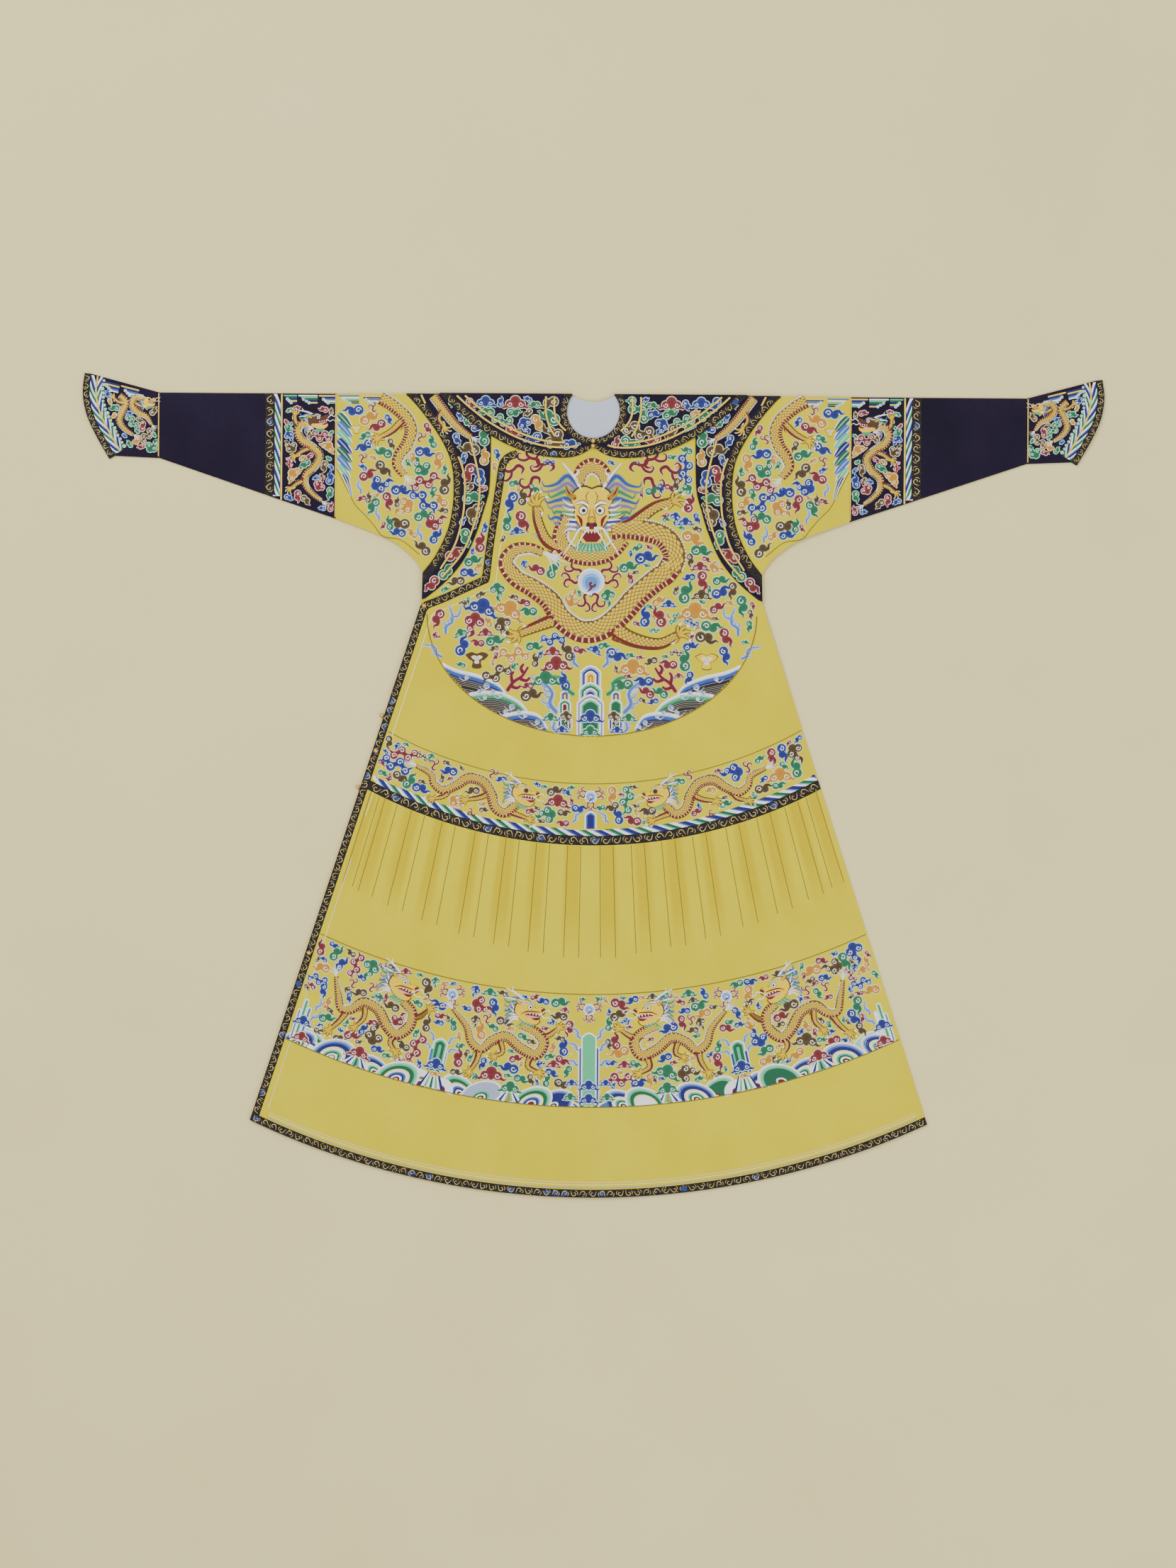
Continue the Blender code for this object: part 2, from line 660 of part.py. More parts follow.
def collar_edges(count, front):
    """The neck and outer edges of the collar's left half, from the middle out to the shoulder."""
    if front:
        top = math.asin(-NECK_CENTRE_Y / NECK_RADIUS)
        angles = [-math.pi / 2 + (math.pi / 2 + top) * n / (count - 1) for n in range(count)]
        inner = [Vector((NECK_RADIUS * math.cos(a), NECK_CENTRE_Y + NECK_RADIUS * math.sin(a))) for a in angles]
        outer = curve_through([(0, -0.0935), (0.030, -0.1085), (0.066, -0.1115), (0.112, -0.104),
                               (0.159, -0.086), (0.205, -0.059), (0.240, -0.0315), (0.2745, 0)], count)
        inner[0].x = outer[0].x = 0.0006
        return inner, outer
    wide, deep = BACK_NECK
    inner = [Vector((wide * n / (count - 1), -deep * (1 - (n / (count - 1)) ** 2))) for n in range(count)]
    outer = curve_through([(0, -0.118), (0.081, -0.111), (0.159, -0.086), (0.2745, 0)], count)
    return inner, outer


def make_collar():
    """The flared collar: two front lobes that wrap over the shoulders and join across the back."""
    front_in, front_out = collar_edges(13, True)
    back_in, back_out = collar_edges(9, False)
    for part, title, finish in (("main", "collar", NAVY), ("edge_trim", "collar_edge_trim", BROCADE),
                                ("neck_trim", "collar_neck_trim", BROCADE)):
        columns = 6 if part == "main" else 2
        widths = (NECK_TRIM_WIDTH, EDGE_TRIM_WIDTH)
        front = band_rows(front_in, front_out, part, columns, widths)
        back = band_rows(back_in, back_out, part, columns, widths)
        shoulder = [Vector((p.x, 0)) for p in front[-1]]
        front[-1] = back[-1] = shoulder
        half = folded_stations(front, list(reversed(back)))
        other = [([Vector((-p.x, p.y)) for p in row], place) for row, place in reversed(half[:-1])]
        over, under = wrapped(half + other, lambda x, y: lift(x, y) + COLLAR_BASE, lambda x, y: WALL)
        add_sheet(title, over, under, finish)


# Buttons

def make_button(number, x, y, floor):
    """A ball button that rests on its trim, or on the floor beside the edge."""
    bm = bmesh.new()
    bmesh.ops.create_uvsphere(bm, u_segments=12, v_segments=7, radius=BUTTON_RADIUS)
    bmesh.ops.translate(bm, verts=bm.verts, vec=(x, y, floor + BUTTON_RADIUS + GAP))
    add_object(f"button_{number}", bm, GOLD)


def make_buttons():
    """Two buttons at the neck, one at the underarm, and four down the right side."""
    collar_top = 2 * LAYER + COLLAR_BASE + WALL
    make_button(1, 0.0, -0.0815, collar_top)
    make_button(2, 0.0, -0.0905, collar_top)
    for number, y in ((3, -0.3775), (4, -0.637), (5, -0.998)):
        x = -side_x(y) + EDGE_TRIM_WIDTH * 0.52
        make_button(number, x, y, outer_floor(x, y) + TRIM_WALL)
    for number, y in ((6, -0.573), (7, -0.701)):
        make_button(number, -side_x(y) - BUTTON_RADIUS - GAP, y, -GAP)


def build():
    """Makes the whole robe."""
    clear_scene()
    make_back()
    make_inner_front()
    make_outer_front()
    make_front_trims()
    for side, name in ((-1, "right"), (1, "left")):
        make_sleeve(side, name)
        make_wing(side, name)
    make_collar()
    make_buttons()


build()
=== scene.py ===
"""The looks of a court robe laid flat: its silk, its edgings, its embroidery and the studio round it.

Drawing units are used for the embroidery: x to the wearer's left of the middle, y down from the shoulder fold.
"""

import logging
import math
import random
from dataclasses import dataclass, field
from enum import Enum
from functools import lru_cache
from typing import Callable, Iterable, Optional, Sequence

import bmesh
import bpy
import numpy as np
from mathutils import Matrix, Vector
from mathutils.geometry import delaunay_2d_cdt, tessellate_polygon


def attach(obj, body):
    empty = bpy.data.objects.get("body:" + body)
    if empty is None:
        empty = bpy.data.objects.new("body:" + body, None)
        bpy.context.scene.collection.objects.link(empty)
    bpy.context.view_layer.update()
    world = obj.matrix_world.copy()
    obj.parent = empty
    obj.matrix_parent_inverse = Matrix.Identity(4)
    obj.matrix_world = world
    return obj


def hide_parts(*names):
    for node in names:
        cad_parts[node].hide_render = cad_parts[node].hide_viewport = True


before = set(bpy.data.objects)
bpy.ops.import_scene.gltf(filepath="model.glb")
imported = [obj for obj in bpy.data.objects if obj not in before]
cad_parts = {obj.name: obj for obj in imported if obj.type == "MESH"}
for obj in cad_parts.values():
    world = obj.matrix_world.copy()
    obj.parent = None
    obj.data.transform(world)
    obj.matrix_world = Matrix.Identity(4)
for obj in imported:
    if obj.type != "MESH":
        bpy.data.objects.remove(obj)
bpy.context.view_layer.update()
LOG = logging.getLogger("robe")

Points = np.ndarray
Colour = tuple[float, float, float]
Surface = Callable[[Points, Points], Points]

# Metres in one drawing unit
UNIT = 0.001265

# The wearer's sides, each with the sign of its x
SIDES = ((-1, "right"), (1, "left"))

# Cloth, as in the solids
WALL = 0.0012
GAP = 0.0003
LAYER = WALL + GAP
TRIM_WALL = 0.0015
SEAM = GAP / 2
CUFF_TIP_RISE = 0.034
BODY_LENGTH = 1.4312
MIDDLE_Y = (BODY_LENGTH - CUFF_TIP_RISE) / 2
SIDE_SLOPE = 0.3243
UNDERARM = (0.3036, -0.3694)
BAND_TOP_ARC = (-0.693, 0.765)
WAIST_TRIM_TOP_ARC = (-0.786, 0.849)
WAIST_TRIM_WIDTH = 0.0165
HEM_ARC = (-BODY_LENGTH, 1.4238)
SKIRT_BAND_TOP_ARC = (-1.0685, 1.1519)
SKIRT_BAND_FOOT_ARC = (-1.2697, 1.2912)
HEM_TRIM_WIDTH = 0.014
EDGE_TRIM_WIDTH = 0.0135
NECK_TRIM_WIDTH = 0.0115
NECK_CENTRE_Y = -0.029
NECK_RADIUS = 0.0474
NECK_CUT = (0.052, 0.086)
BACK_NECK = (0.0375, 0.011)
SHOULDER_CUT = -0.003
FOLD_Y = -0.00135
FOLD_Z = 0.00435
COLLAR_BASE = 3 * LAYER
WING_BASE = 2 * LAYER
PLEATS = ((-0.935, 0.016), (-0.866, 0.024), (-0.749, 0.026), (-0.615, 0.026), (-0.471, 0.026), (-0.337, 0.026),
          (-0.205, 0.026), (-0.070, 0.026), (0.070, 0.026), (0.205, 0.026), (0.337, 0.026), (0.471, 0.026),
          (0.615, 0.026), (0.749, 0.026), (0.870, 0.026), (0.956, 0.020))
PLEAT_RISE = 0.0012
PLEAT_FADE = 0.05
PLEAT_END = 0.36
BODY_PUFF = 0.0020
SLEEVE_PUFF = 0.0014
INNER_EDGE = (0.050, 0.130)
LIFT_ENDS_X = (0.390, 0.520)
LIFT_ENDS_Y = (-0.640, -0.385)
SLANT = math.sqrt(1 + SIDE_SLOPE ** 2)

# The seams across a sleeve, each with its place along the sleeve and its depth below the shoulder fold
BAND_SEAM = (0.4583, -0.223)
BAND_TRIM_SEAM = (0.568, -0.1866)
LOWER_SEAM = (0.5855, -0.1805)
CUFF_SEAM = (0.7735, -0.117)
SHOULDER_SEAM_X = 0.182


# Shapes of the edges

def smooth(value: Points, low: float, high: float) -> Points:
    """0 below low, 1 above high, and a smooth ramp between."""
    t = np.clip((value - low) / (high - low), 0.0, 1.0)
    return t * t * (3 - 2 * t)


def length_of(line: Points) -> float:
    """The length of a line of points."""
    return float(np.hypot(*np.diff(line, axis=0).T).sum())


def steps_along(line: Points) -> Points:
    """How far along a line each of its points is."""
    return np.concatenate([[0.0], np.cumsum(np.hypot(*np.diff(line, axis=0).T))])


def even_steps(line: Points, count: int) -> Points:
    """Points at even steps along a line of points.

    Args:
        line: the points of the line, one a row.
        count: how many points to return.

    Returns:
        The new points, one a row.
    """
    steps = np.sqrt((np.diff(line, axis=0) ** 2).sum(1))
    along = np.concatenate([[0.0], np.cumsum(steps)])
    wanted = np.linspace(0, along[-1], count)
    return np.stack([np.interp(wanted, along, line[:, k]) for k in range(line.shape[1])], 1)


def curve_through(points: Sequence[Sequence[float]], count: int) -> Points:
    """Points at even steps along a smooth curve through the given ones.

    Args:
        points: the knots, in order.
        count: how many points to return.

    Returns:
        The curve's points, one a row.
    """
    knots = np.asarray(points, float)
    ends = np.vstack([2 * knots[0] - knots[1], knots, 2 * knots[-1] - knots[-2]])
    t = (np.arange(16) / 16)[:, None]
    fine = []
    for before, start, stop, after in zip(ends, ends[1:], ends[2:], ends[3:]):
        fine.append(0.5 * (2 * start + (stop - before) * t + (2 * before - 5 * start + 4 * stop - after) * t ** 2
                           + (3 * start - before - 3 * stop + after) * t ** 3))
    return even_steps(np.vstack(fine + [knots[-1:]]), count)


def side_normals(path: Points) -> Points:
    """The unit vectors to the left of a path, one at each point, longer at corners so that offsets stay even."""
    steps = np.diff(path, axis=0)
    steps /= np.maximum(np.hypot(*steps.T), 1e-12)[:, None]
    before = np.vstack([steps[:1], steps])
    after = np.vstack([steps, steps[-1:]])
    along = before + after
    along /= np.maximum(np.hypot(*along.T), 1e-12)[:, None]
    side = np.stack([-along[:, 1], along[:, 0]], 1)
    half = np.maximum(0.5, (side * np.stack([-after[:, 1], after[:, 0]], 1)).sum(1))
    return side / half[:, None]


def arc_y(arc: tuple[float, float], x: Points) -> Points:
    """The height of an arc at x."""
    return arc[0] + arc[1] - np.sqrt(arc[1] ** 2 - np.square(x))


def side_x(y: Points) -> Points:
    """Half the robe's width at y, below the underarm."""
    return UNDERARM[0] + (UNDERARM[1] - y) * SIDE_SLOPE


def arc_half(arc: tuple[float, float], inset: float = 0.0) -> float:
    """Half the robe's width where an arc meets the side, or a line that far inside it."""
    x = UNDERARM[0]
    for _ in range(30):
        x = float(side_x(arc_y(arc, x))) - inset * SLANT
    return x


def lower(arc: tuple[float, float], distance: float) -> tuple[float, float]:
    """The arc moved down, about the same centre."""
    return (arc[0] - distance, arc[1] + distance)


def between(first: tuple[float, float], last: tuple[float, float], share: float) -> tuple[float, float]:
    """The arc a share of the way from one to another."""
    return (first[0] + (last[0] - first[0]) * share, first[1] + (last[1] - first[1]) * share)


WAIST_TRIM_FOOT_ARC = lower(WAIST_TRIM_TOP_ARC, WAIST_TRIM_WIDTH)
SKIRT_TOP_ARC = lower(WAIST_TRIM_FOOT_ARC, GAP)
SKIRT_FOOT_ARC = lower(HEM_ARC, -HEM_TRIM_WIDTH - GAP)


def armhole(count: int) -> Points:
    """The armhole seam of the left sleeve, from the shoulder to the underarm."""
    return curve_through([(0.182, 0.0), (0.182, -0.085), (0.184, -0.166), (0.1935, -0.205), (0.2055, -0.244),
                          (0.228, -0.294), (0.262, -0.335), UNDERARM], count)


def neck_cut(count: int, inset: float = 0.0) -> Points:
    """The edge of the fronts at the neck, from the middle out to the left shoulder."""
    a = np.linspace(0, math.pi / 2, count)
    return np.stack([(NECK_CUT[0] - inset) * np.sin(a), -(NECK_CUT[1] - inset) * np.cos(a)], 1)


def back_neck(count: int) -> Points:
    """The shallow dip of the back at the neck, from right to left."""
    s = np.linspace(-1, 1, count)
    return np.stack([BACK_NECK[0] * s, -BACK_NECK[1] * (1 - s * s)], 1)


def side_line(top_y: float, arc: tuple[float, float], count: int) -> Points:
    """Points down the left side from top_y to an arc."""
    half = arc_half(arc)
    return np.linspace((float(side_x(top_y)), top_y), (half, float(arc_y(arc, half))), count)


def flap_path() -> Points:
    """The flap's free edge, from under the collar round its corner to the underarm."""
    down = [(-0.137, -0.099), (-0.158, -0.106), (-0.168, -0.124), (-0.174, -0.166), (-0.1885, -0.2606),
            (-0.196, -0.325)]
    across = [(-0.196, -0.325), (-0.236, -0.343), (-0.2653, -0.357), (-0.3045, -0.3722)]
    return np.vstack([curve_through(down, 16), curve_through(across, 8)[1:]])


def front_edge(foot: tuple[float, float]) -> Points:
    """The free edge of the outer front: down the flap and on down the side."""
    side = side_line(-0.3722, foot, 25)[1:] * (-1, 1)
    return np.vstack([flap_path(), side])


def row_across(arc: tuple[float, float], shares: Points, trimmed: bool = False) -> Points:
    """Points across the robe on an arc, one at each share of the half width, from the side trim if it has one."""
    xs = np.asarray(shares) * arc_half(arc)
    if trimmed:
        xs = np.maximum(xs, -arc_half(arc, EDGE_TRIM_WIDTH + GAP))
    return np.stack([xs, arc_y(arc, xs)], 1)


def mirrored(points: Points) -> Points:
    """The points on the other side of the robe, in the other order."""
    return points[::-1] * (-1, 1)


# Heights of the layers

@dataclass(frozen=True)
class Fold:
    """A soft ridge or trough that the cloth has kept, in drawing units and millimetres."""

    start: tuple[float, float]
    stop: tuple[float, float]
    width: float
    height: float

    def at(self, x: Points, y: Points) -> Points:
        """How far the fold moves the cloth up at each point."""
        a = np.array(self.start) * UNIT * (1, -1)
        b = np.array(self.stop) * UNIT * (1, -1)
        along = b - a
        share = ((x - a[0]) * along[0] + (y - a[1]) * along[1]) / (along ** 2).sum()
        bend = 0.06 * np.sin(share * math.pi) * math.hypot(*along)
        off = ((x - a[0]) * -along[1] + (y - a[1]) * along[0]) / math.hypot(*along) - bend
        ends = smooth(share, -0.15, 0.35) * (1 - smooth(share, 0.65, 1.15))
        return self.height * 0.001 * ends * np.exp(-(off / (self.width * UNIT)) ** 2)


BODY_FOLDS = (Fold((-225, 300), (-95, 360), 15, 1.1), Fold((232, 302), (105, 372), 17, 1.2),
              Fold((-235, 330), (-150, 520), 18, 1.0), Fold((240, 335), (165, 505), 16, 0.9),
              Fold((-60, 505), (-190, 470), 14, 0.6), Fold((70, 520), (205, 470), 15, 0.6),
              Fold((150, 120), (118, 250), 12, 0.7), Fold((-20, 400), (-40, 530), 16, 0.5))
SKIRT_FOLDS = (Fold((-300, 760), (-395, 1010), 20, 1.2), Fold((-150, 800), (-205, 1060), 22, 1.0),
               Fold((40, 800), (60, 1080), 24, 0.9), Fold((180, 790), (250, 1040), 20, 1.1),
               Fold((320, 740), (405, 980), 18, 1.1), Fold((-60, 820), (-80, 1090), 16, 0.7))
SLEEVE_FOLDS = (Fold((246, 262), (300, 120), 11, 1.1), Fold((262, 215), (350, 90), 12, 0.9),
                Fold((300, 180), (420, 120), 10, 0.8), Fold((470, 110), (580, 60), 12, 0.8),
                Fold((520, 95), (600, 80), 9, 0.5), Fold((240, 110), (290, 70), 12, 0.5))


def folds_at(folds: Sequence[Fold], x: Points, y: Points) -> Points:
    """The height that a set of folds adds at each point."""
    total = np.zeros(np.broadcast(x, y).shape)
    for fold in folds:
        total = total + fold.at(x, y)
    return total


def lift(x: Points, y: Points) -> Points:
    """How far the back lies above the floor, where the collar and the wings lie under it."""
    return 2 * LAYER * (1 - smooth(np.abs(x), *LIFT_ENDS_X)) * smooth(y, *LIFT_ENDS_Y)


def inner_floor(x: Points, y: Points) -> Points:
    """The underside of the inner front."""
    return lift(x, y) + LAYER


def outer_floor(x: Points, y: Points) -> Points:
    """The underside of the outer front, which steps down past the inner front's edge."""
    over_inner = 1 - smooth(x, *INNER_EDGE)
    edge = side_x(np.minimum(y, UNDERARM[1])) - np.abs(x)
    puff = BODY_PUFF * smooth(-y, 0.42, 0.56) * smooth(edge, 0.0, 0.11) * smooth(BODY_LENGTH + y, 0.0, 0.16)
    return lift(x, y) + LAYER + LAYER * over_inner + puff


def body_folds(x: Points, y: Points) -> Points:
    """The kept folds of the front, which fade at its edges."""
    edge = side_x(np.minimum(y, UNDERARM[1])) - np.abs(x)
    keep = smooth(edge, 0.014, 0.06) * smooth(-y, 0.09, 0.15)
    return keep * (folds_at(BODY_FOLDS, x, y) + folds_at(SKIRT_FOLDS, x, y) * smooth(y + BODY_LENGTH, 0.014, 0.07))


def body_top(x: Points, y: Points) -> Points:
    """The upper side of the outer front."""
    return outer_floor(x, y) + WALL + body_folds(x, y)


def pleat_tone(x: Points, y: Points) -> Points:
    """0 on the raised pleats and 1 in the grooves between them; it shapes the pleats and says where the grooves get
    painted shade.
    """
    share = x / side_x(y)
    tone = np.zeros(np.shape(share))
    for centre, half in PLEATS:
        off = np.abs(share - centre)
        tone = np.maximum(tone, 1 - smooth(off, half, half + 0.004))
    return tone


def skirt_share(x: Points, y: Points) -> Points:
    """How far down the skirt a point is, 0 at the waist and 1 at the hem."""
    top, foot = SKIRT_TOP_ARC, SKIRT_FOOT_ARC
    high, low = arc_y(top, np.clip(x, -0.7, 0.7)), arc_y(foot, x)
    return np.clip((high - y) / (high - low), 0, 1)


def skirt_top(x: Points, y: Points) -> Points:
    """The upper side of the front skirt, with its pleats."""
    rise = PLEAT_RISE * (1 - pleat_tone(x, y)) * (1 - smooth(skirt_share(x, y), PLEAT_FADE, PLEAT_END))
    return body_top(x, y) + rise * smooth(side_x(y) - np.abs(x), 0.014, 0.02)


def trim_top(x: Points, y: Points) -> Points:
    """The upper side of the front's edgings."""
    return outer_floor(x, y) + TRIM_WALL


def sleeve_depth(x: Points) -> Points:
    """How deep a sleeve is at x."""
    line = ((SHOULDER_SEAM_X, -0.37), (0.3023, -0.332), (0.3137, -0.299), (0.3365, -0.277), (0.3737, -0.2543),
            BAND_SEAM, LOWER_SEAM, CUFF_SEAM, (0.870, -0.125))
    places, depths = np.array(line).T
    return -np.interp(np.abs(x), places, depths)


def sleeve_rise(x: Points, y: Points) -> Points:
    """The bulge of a sleeve's upper side."""
    share = np.clip(-y / sleeve_depth(x), 0, 1)
    puff = SLEEVE_PUFF * smooth(np.abs(x), 0.35, 0.45) * np.sin(math.pi * share)
    keep = smooth(-y, 0.0, 0.03) * smooth(sleeve_depth(x) + y, 0.0, 0.03)
    return puff + keep * folds_at(SLEEVE_FOLDS, np.abs(x), y)


def sleeve_top(x: Points, y: Points) -> Points:
    """The upper side of a sleeve."""
    return lift(x, y) + 2 * WALL + GAP + sleeve_rise(x, y)


def over_fold(x: Points, y: Points, base: float) -> Points:
    """The upper side of a piece that wraps round the shoulder fold at this base height."""
    flat = lift(x, y) + base + WALL
    radius = lift(x, np.zeros_like(y)) + base + WALL - FOLD_Z
    off = np.clip((y - FOLD_Y) / radius, 0, 0.98)
    return np.where(y > FOLD_Y, FOLD_Z + radius * np.sqrt(1 - off ** 2), flat)


def wing_top(x: Points, y: Points) -> Points:
    """The upper side of a shoulder wing."""
    return over_fold(x, y, WING_BASE)


def collar_top(x: Points, y: Points) -> Points:
    """The upper side of the collar."""
    return over_fold(x, y, COLLAR_BASE)


def wing_drop(y: Points) -> Points:
    """How far a wing's back half lies above the floor, where the collar lies under it."""
    return LAYER * smooth(y, -0.165, -0.128)


# Finishes

def new_material(name: str) -> tuple[bpy.types.Material, bpy.types.NodeTree, bpy.types.Node]:
    """An empty Principled material, its node tree and its shader."""
    made = bpy.data.materials.new(name)
    made.use_nodes = True
    return made, made.node_tree, made.node_tree.nodes["Principled BSDF"]


def add_node(tree: bpy.types.NodeTree, kind: str, **settings: object) -> bpy.types.Node:
    """A node of this kind, with its settings or its inputs' values set by name."""
    node = tree.nodes.new(kind)
    for key, value in settings.items():
        if hasattr(node, key):
            setattr(node, key, value)
        else:
            node.inputs[key.replace("_", " ").title()].default_value = value
    return node


def set_inputs(node: bpy.types.Node, values: dict[str, object]) -> None:
    """Sets some of a node's inputs by name."""
    for name, value in values.items():
        node.inputs[name].default_value = value


def stretched(tree: bpy.types.NodeTree, scale: tuple[float, float, float], turn: float = 0.0) -> bpy.types.Node:
    """Object coordinates, scaled and turned."""
    place = add_node(tree, "ShaderNodeTexCoord")
    mapping = add_node(tree, "ShaderNodeMapping")
    set_inputs(mapping, {"Scale": scale, "Rotation": (0, 0, turn)})
    tree.links.new(place.outputs["Object"], mapping.inputs["Vector"])
    return mapping


def noise_node(tree: bpy.types.NodeTree, scale: tuple[float, float, float], detail: float,
               turn: float = 0.0) -> bpy.types.Node:
    """Noise that is stretched by scale."""
    node = add_node(tree, "ShaderNodeTexNoise")
    set_inputs(node, {"Scale": 1.0, "Detail": detail})
    tree.links.new(stretched(tree, scale, turn).outputs["Vector"], node.inputs["Vector"])
    return node


def mixed(tree: bpy.types.NodeTree, factor: bpy.types.NodeSocket, first: object,
          second: object) -> bpy.types.NodeSocket:
    """A colour between two colours or sockets, by factor."""
    node = tree.nodes.new("ShaderNodeMix")
    node.data_type = "RGBA"
    sockets = [s for s in node.inputs if s.type == "RGBA"]
    for socket, value in zip(sockets, (first, second)):
        if isinstance(value, bpy.types.NodeSocket):
            tree.links.new(value, socket)
        else:
            socket.default_value = (*value, 1.0)
    tree.links.new(factor, node.inputs[0])
    return next(s for s in node.outputs if s.type == "RGBA")


def ramp(tree: bpy.types.NodeTree, source: bpy.types.NodeSocket, low: float, high: float,
         start: float = 0.0, stop: float = 1.0) -> bpy.types.NodeSocket:
    """The source's value from low to high, spread from start to stop and held beyond."""
    node = add_node(tree, "ShaderNodeMapRange")
    set_inputs(node, {"From Min": low, "From Max": high, "To Min": start, "To Max": stop})
    tree.links.new(source, node.inputs["Value"])
    return node.outputs["Result"]


def threads(tree: bpy.types.NodeTree, pitch: float) -> bpy.types.NodeSocket:
    """The height of a plain weave with this pitch in metres."""
    found = []
    for direction in ("X", "Y"):
        wave = add_node(tree, "ShaderNodeTexWave", wave_type="BANDS", bands_direction=direction)
        set_inputs(wave, {"Scale": math.pi / (10 * pitch), "Distortion": 1.2, "Detail": 1.0, "Detail Scale": 0.5})
        tree.links.new(stretched(tree, (1, 1, 1)).outputs["Vector"], wave.inputs["Vector"])
        found.append(wave.outputs["Fac"])
    joined = add_node(tree, "ShaderNodeMath", operation="MULTIPLY")
    tree.links.new(found[0], joined.inputs[0])
    tree.links.new(found[1], joined.inputs[1])
    return joined.outputs[0]


def add_bump(tree: bpy.types.NodeTree, shader: bpy.types.Node, height: bpy.types.NodeSocket, distance: float,
             strength: float) -> None:
    """Joins a height to the shader's normal."""
    bump = add_node(tree, "ShaderNodeBump")
    set_inputs(bump, {"Distance": distance, "Strength": strength})
    tree.links.new(height, bump.inputs["Height"])
    tree.links.new(bump.outputs["Normal"], shader.inputs["Normal"])


@dataclass(frozen=True)
class Finish:
    """A material that is built once.

    Attributes:
        name: the material's name.
    """

    name: str

    def make(self) -> bpy.types.Material:
        """Builds the material, or returns the one built before."""
        if self.name not in bpy.data.materials:
            _, tree, shader = new_material(self.name)
            self.fill(tree, shader)
        return bpy.data.materials[self.name]

    def fill(self, tree: bpy.types.NodeTree, shader: bpy.types.Node) -> None:
        """Adds the nodes that colour and rough the cloth or metal."""
        raise NotImplementedError


@dataclass(frozen=True)
class Silk(Finish):
    """Plain woven silk: a colour that drifts a little, uneven threads both ways and a soft sheen.

    Attributes:
        colour: the ground colour.
        deep: the colour of its darker threads and drifts.
        groove_shade: a darker colour painted as shade in a pleat's grooves, if the cloth is pleated.
        roughness: the shader's roughness.
    """

    colour: Colour
    deep: Colour
    groove_shade: Optional[Colour] = None
    roughness: float = 0.55

    def fill(self, tree: bpy.types.NodeTree, shader: bpy.types.Node) -> None:
        """Adds the nodes that colour and rough the cloth or metal."""
        drift = ramp(tree, noise_node(tree, (9, 8, 9), 5).outputs["Fac"], 0.38, 0.66, 0.0, 0.75)
        base = mixed(tree, drift, self.colour, self.deep)
        # Painted shade: where the tone attribute says, the pleats' grooves are mixed towards a darker colour.
        if self.groove_shade:
            tone = add_node(tree, "ShaderNodeAttribute", attribute_name="tone")
            base = mixed(tree, tone.outputs["Fac"], base, self.groove_shade)
        for scale, turn in (((900, 45, 50), 0.02), ((40, 800, 50), -0.01)):
            slub = ramp(tree, noise_node(tree, scale, 2, turn).outputs["Fac"], 0.50, 0.72, 0.0, 0.42)
            base = mixed(tree, slub, base, self.deep)
        tree.links.new(base, shader.inputs["Base Color"])
        shader.inputs["Roughness"].default_value = self.roughness
        tint = (*(value / max(self.colour) for value in self.colour), 1.0)
        set_inputs(shader, {"Sheen Weight": 0.02, "Sheen Roughness": 0.4, "Sheen Tint": tint,
                            "Specular IOR Level": 0.06, "Specular Tint": tint})
        add_bump(tree, shader, threads(tree, 0.0011), 0.00015, 0.35)


@dataclass(frozen=True)
class Stitches(Finish):
    """Silk or gilt thread laid in fine parallel stitches, in the colour stored on each point."""

    metallic: float = 0.0
    roughness: float = 0.5

    def fill(self, tree: bpy.types.NodeTree, shader: bpy.types.Node) -> None:
        """Adds the nodes that colour and rough the cloth or metal."""
        silk = add_node(tree, "ShaderNodeAttribute", attribute_name="silk")
        strands = noise_node(tree, (620, 620, 620), 3)
        shade = ramp(tree, strands.outputs["Fac"], 0.3, 0.7, 0.0, 0.30)
        tree.links.new(mixed(tree, shade, silk.outputs["Color"], (0.05, 0.04, 0.03)), shader.inputs["Base Color"])
        set_inputs(shader, {"Metallic": self.metallic, "Roughness": self.roughness, "Sheen Weight": 0.03,
                            "Specular IOR Level": 0.15})
        add_bump(tree, shader, noise_node(tree, (1500, 260, 500), 2, 0.6).outputs["Fac"], 0.0002, 0.5)


@dataclass(frozen=True)
class Brocade(Finish):
    """Black brocade with a small woven figure in tarnished gilt."""

    name: str = "black_brocade_cloth"

    def fill(self, tree: bpy.types.NodeTree, shader: bpy.types.Node) -> None:
        """Adds the nodes that colour and rough the cloth or metal."""
        swirl = noise_node(tree, (170, 170, 170), 1)
        line = add_node(tree, "ShaderNodeMath", operation="PINGPONG")
        tree.links.new(swirl.outputs["Fac"], line.inputs[0])
        line.inputs[1].default_value = 0.09
        figure = ramp(tree, line.outputs[0], 0.060, 0.078)
        ground = mixed(tree, noise_node(tree, (60, 60, 60), 2).outputs["Fac"], (0.009, 0.008, 0.012),
                       (0.016, 0.014, 0.018))
        tree.links.new(mixed(tree, figure, ground, (0.040, 0.034, 0.022)), shader.inputs["Base Color"])
        set_inputs(shader, {"Roughness": 0.6, "Specular IOR Level": 0.1})
        add_bump(tree, shader, figure, 0.0002, 0.4)


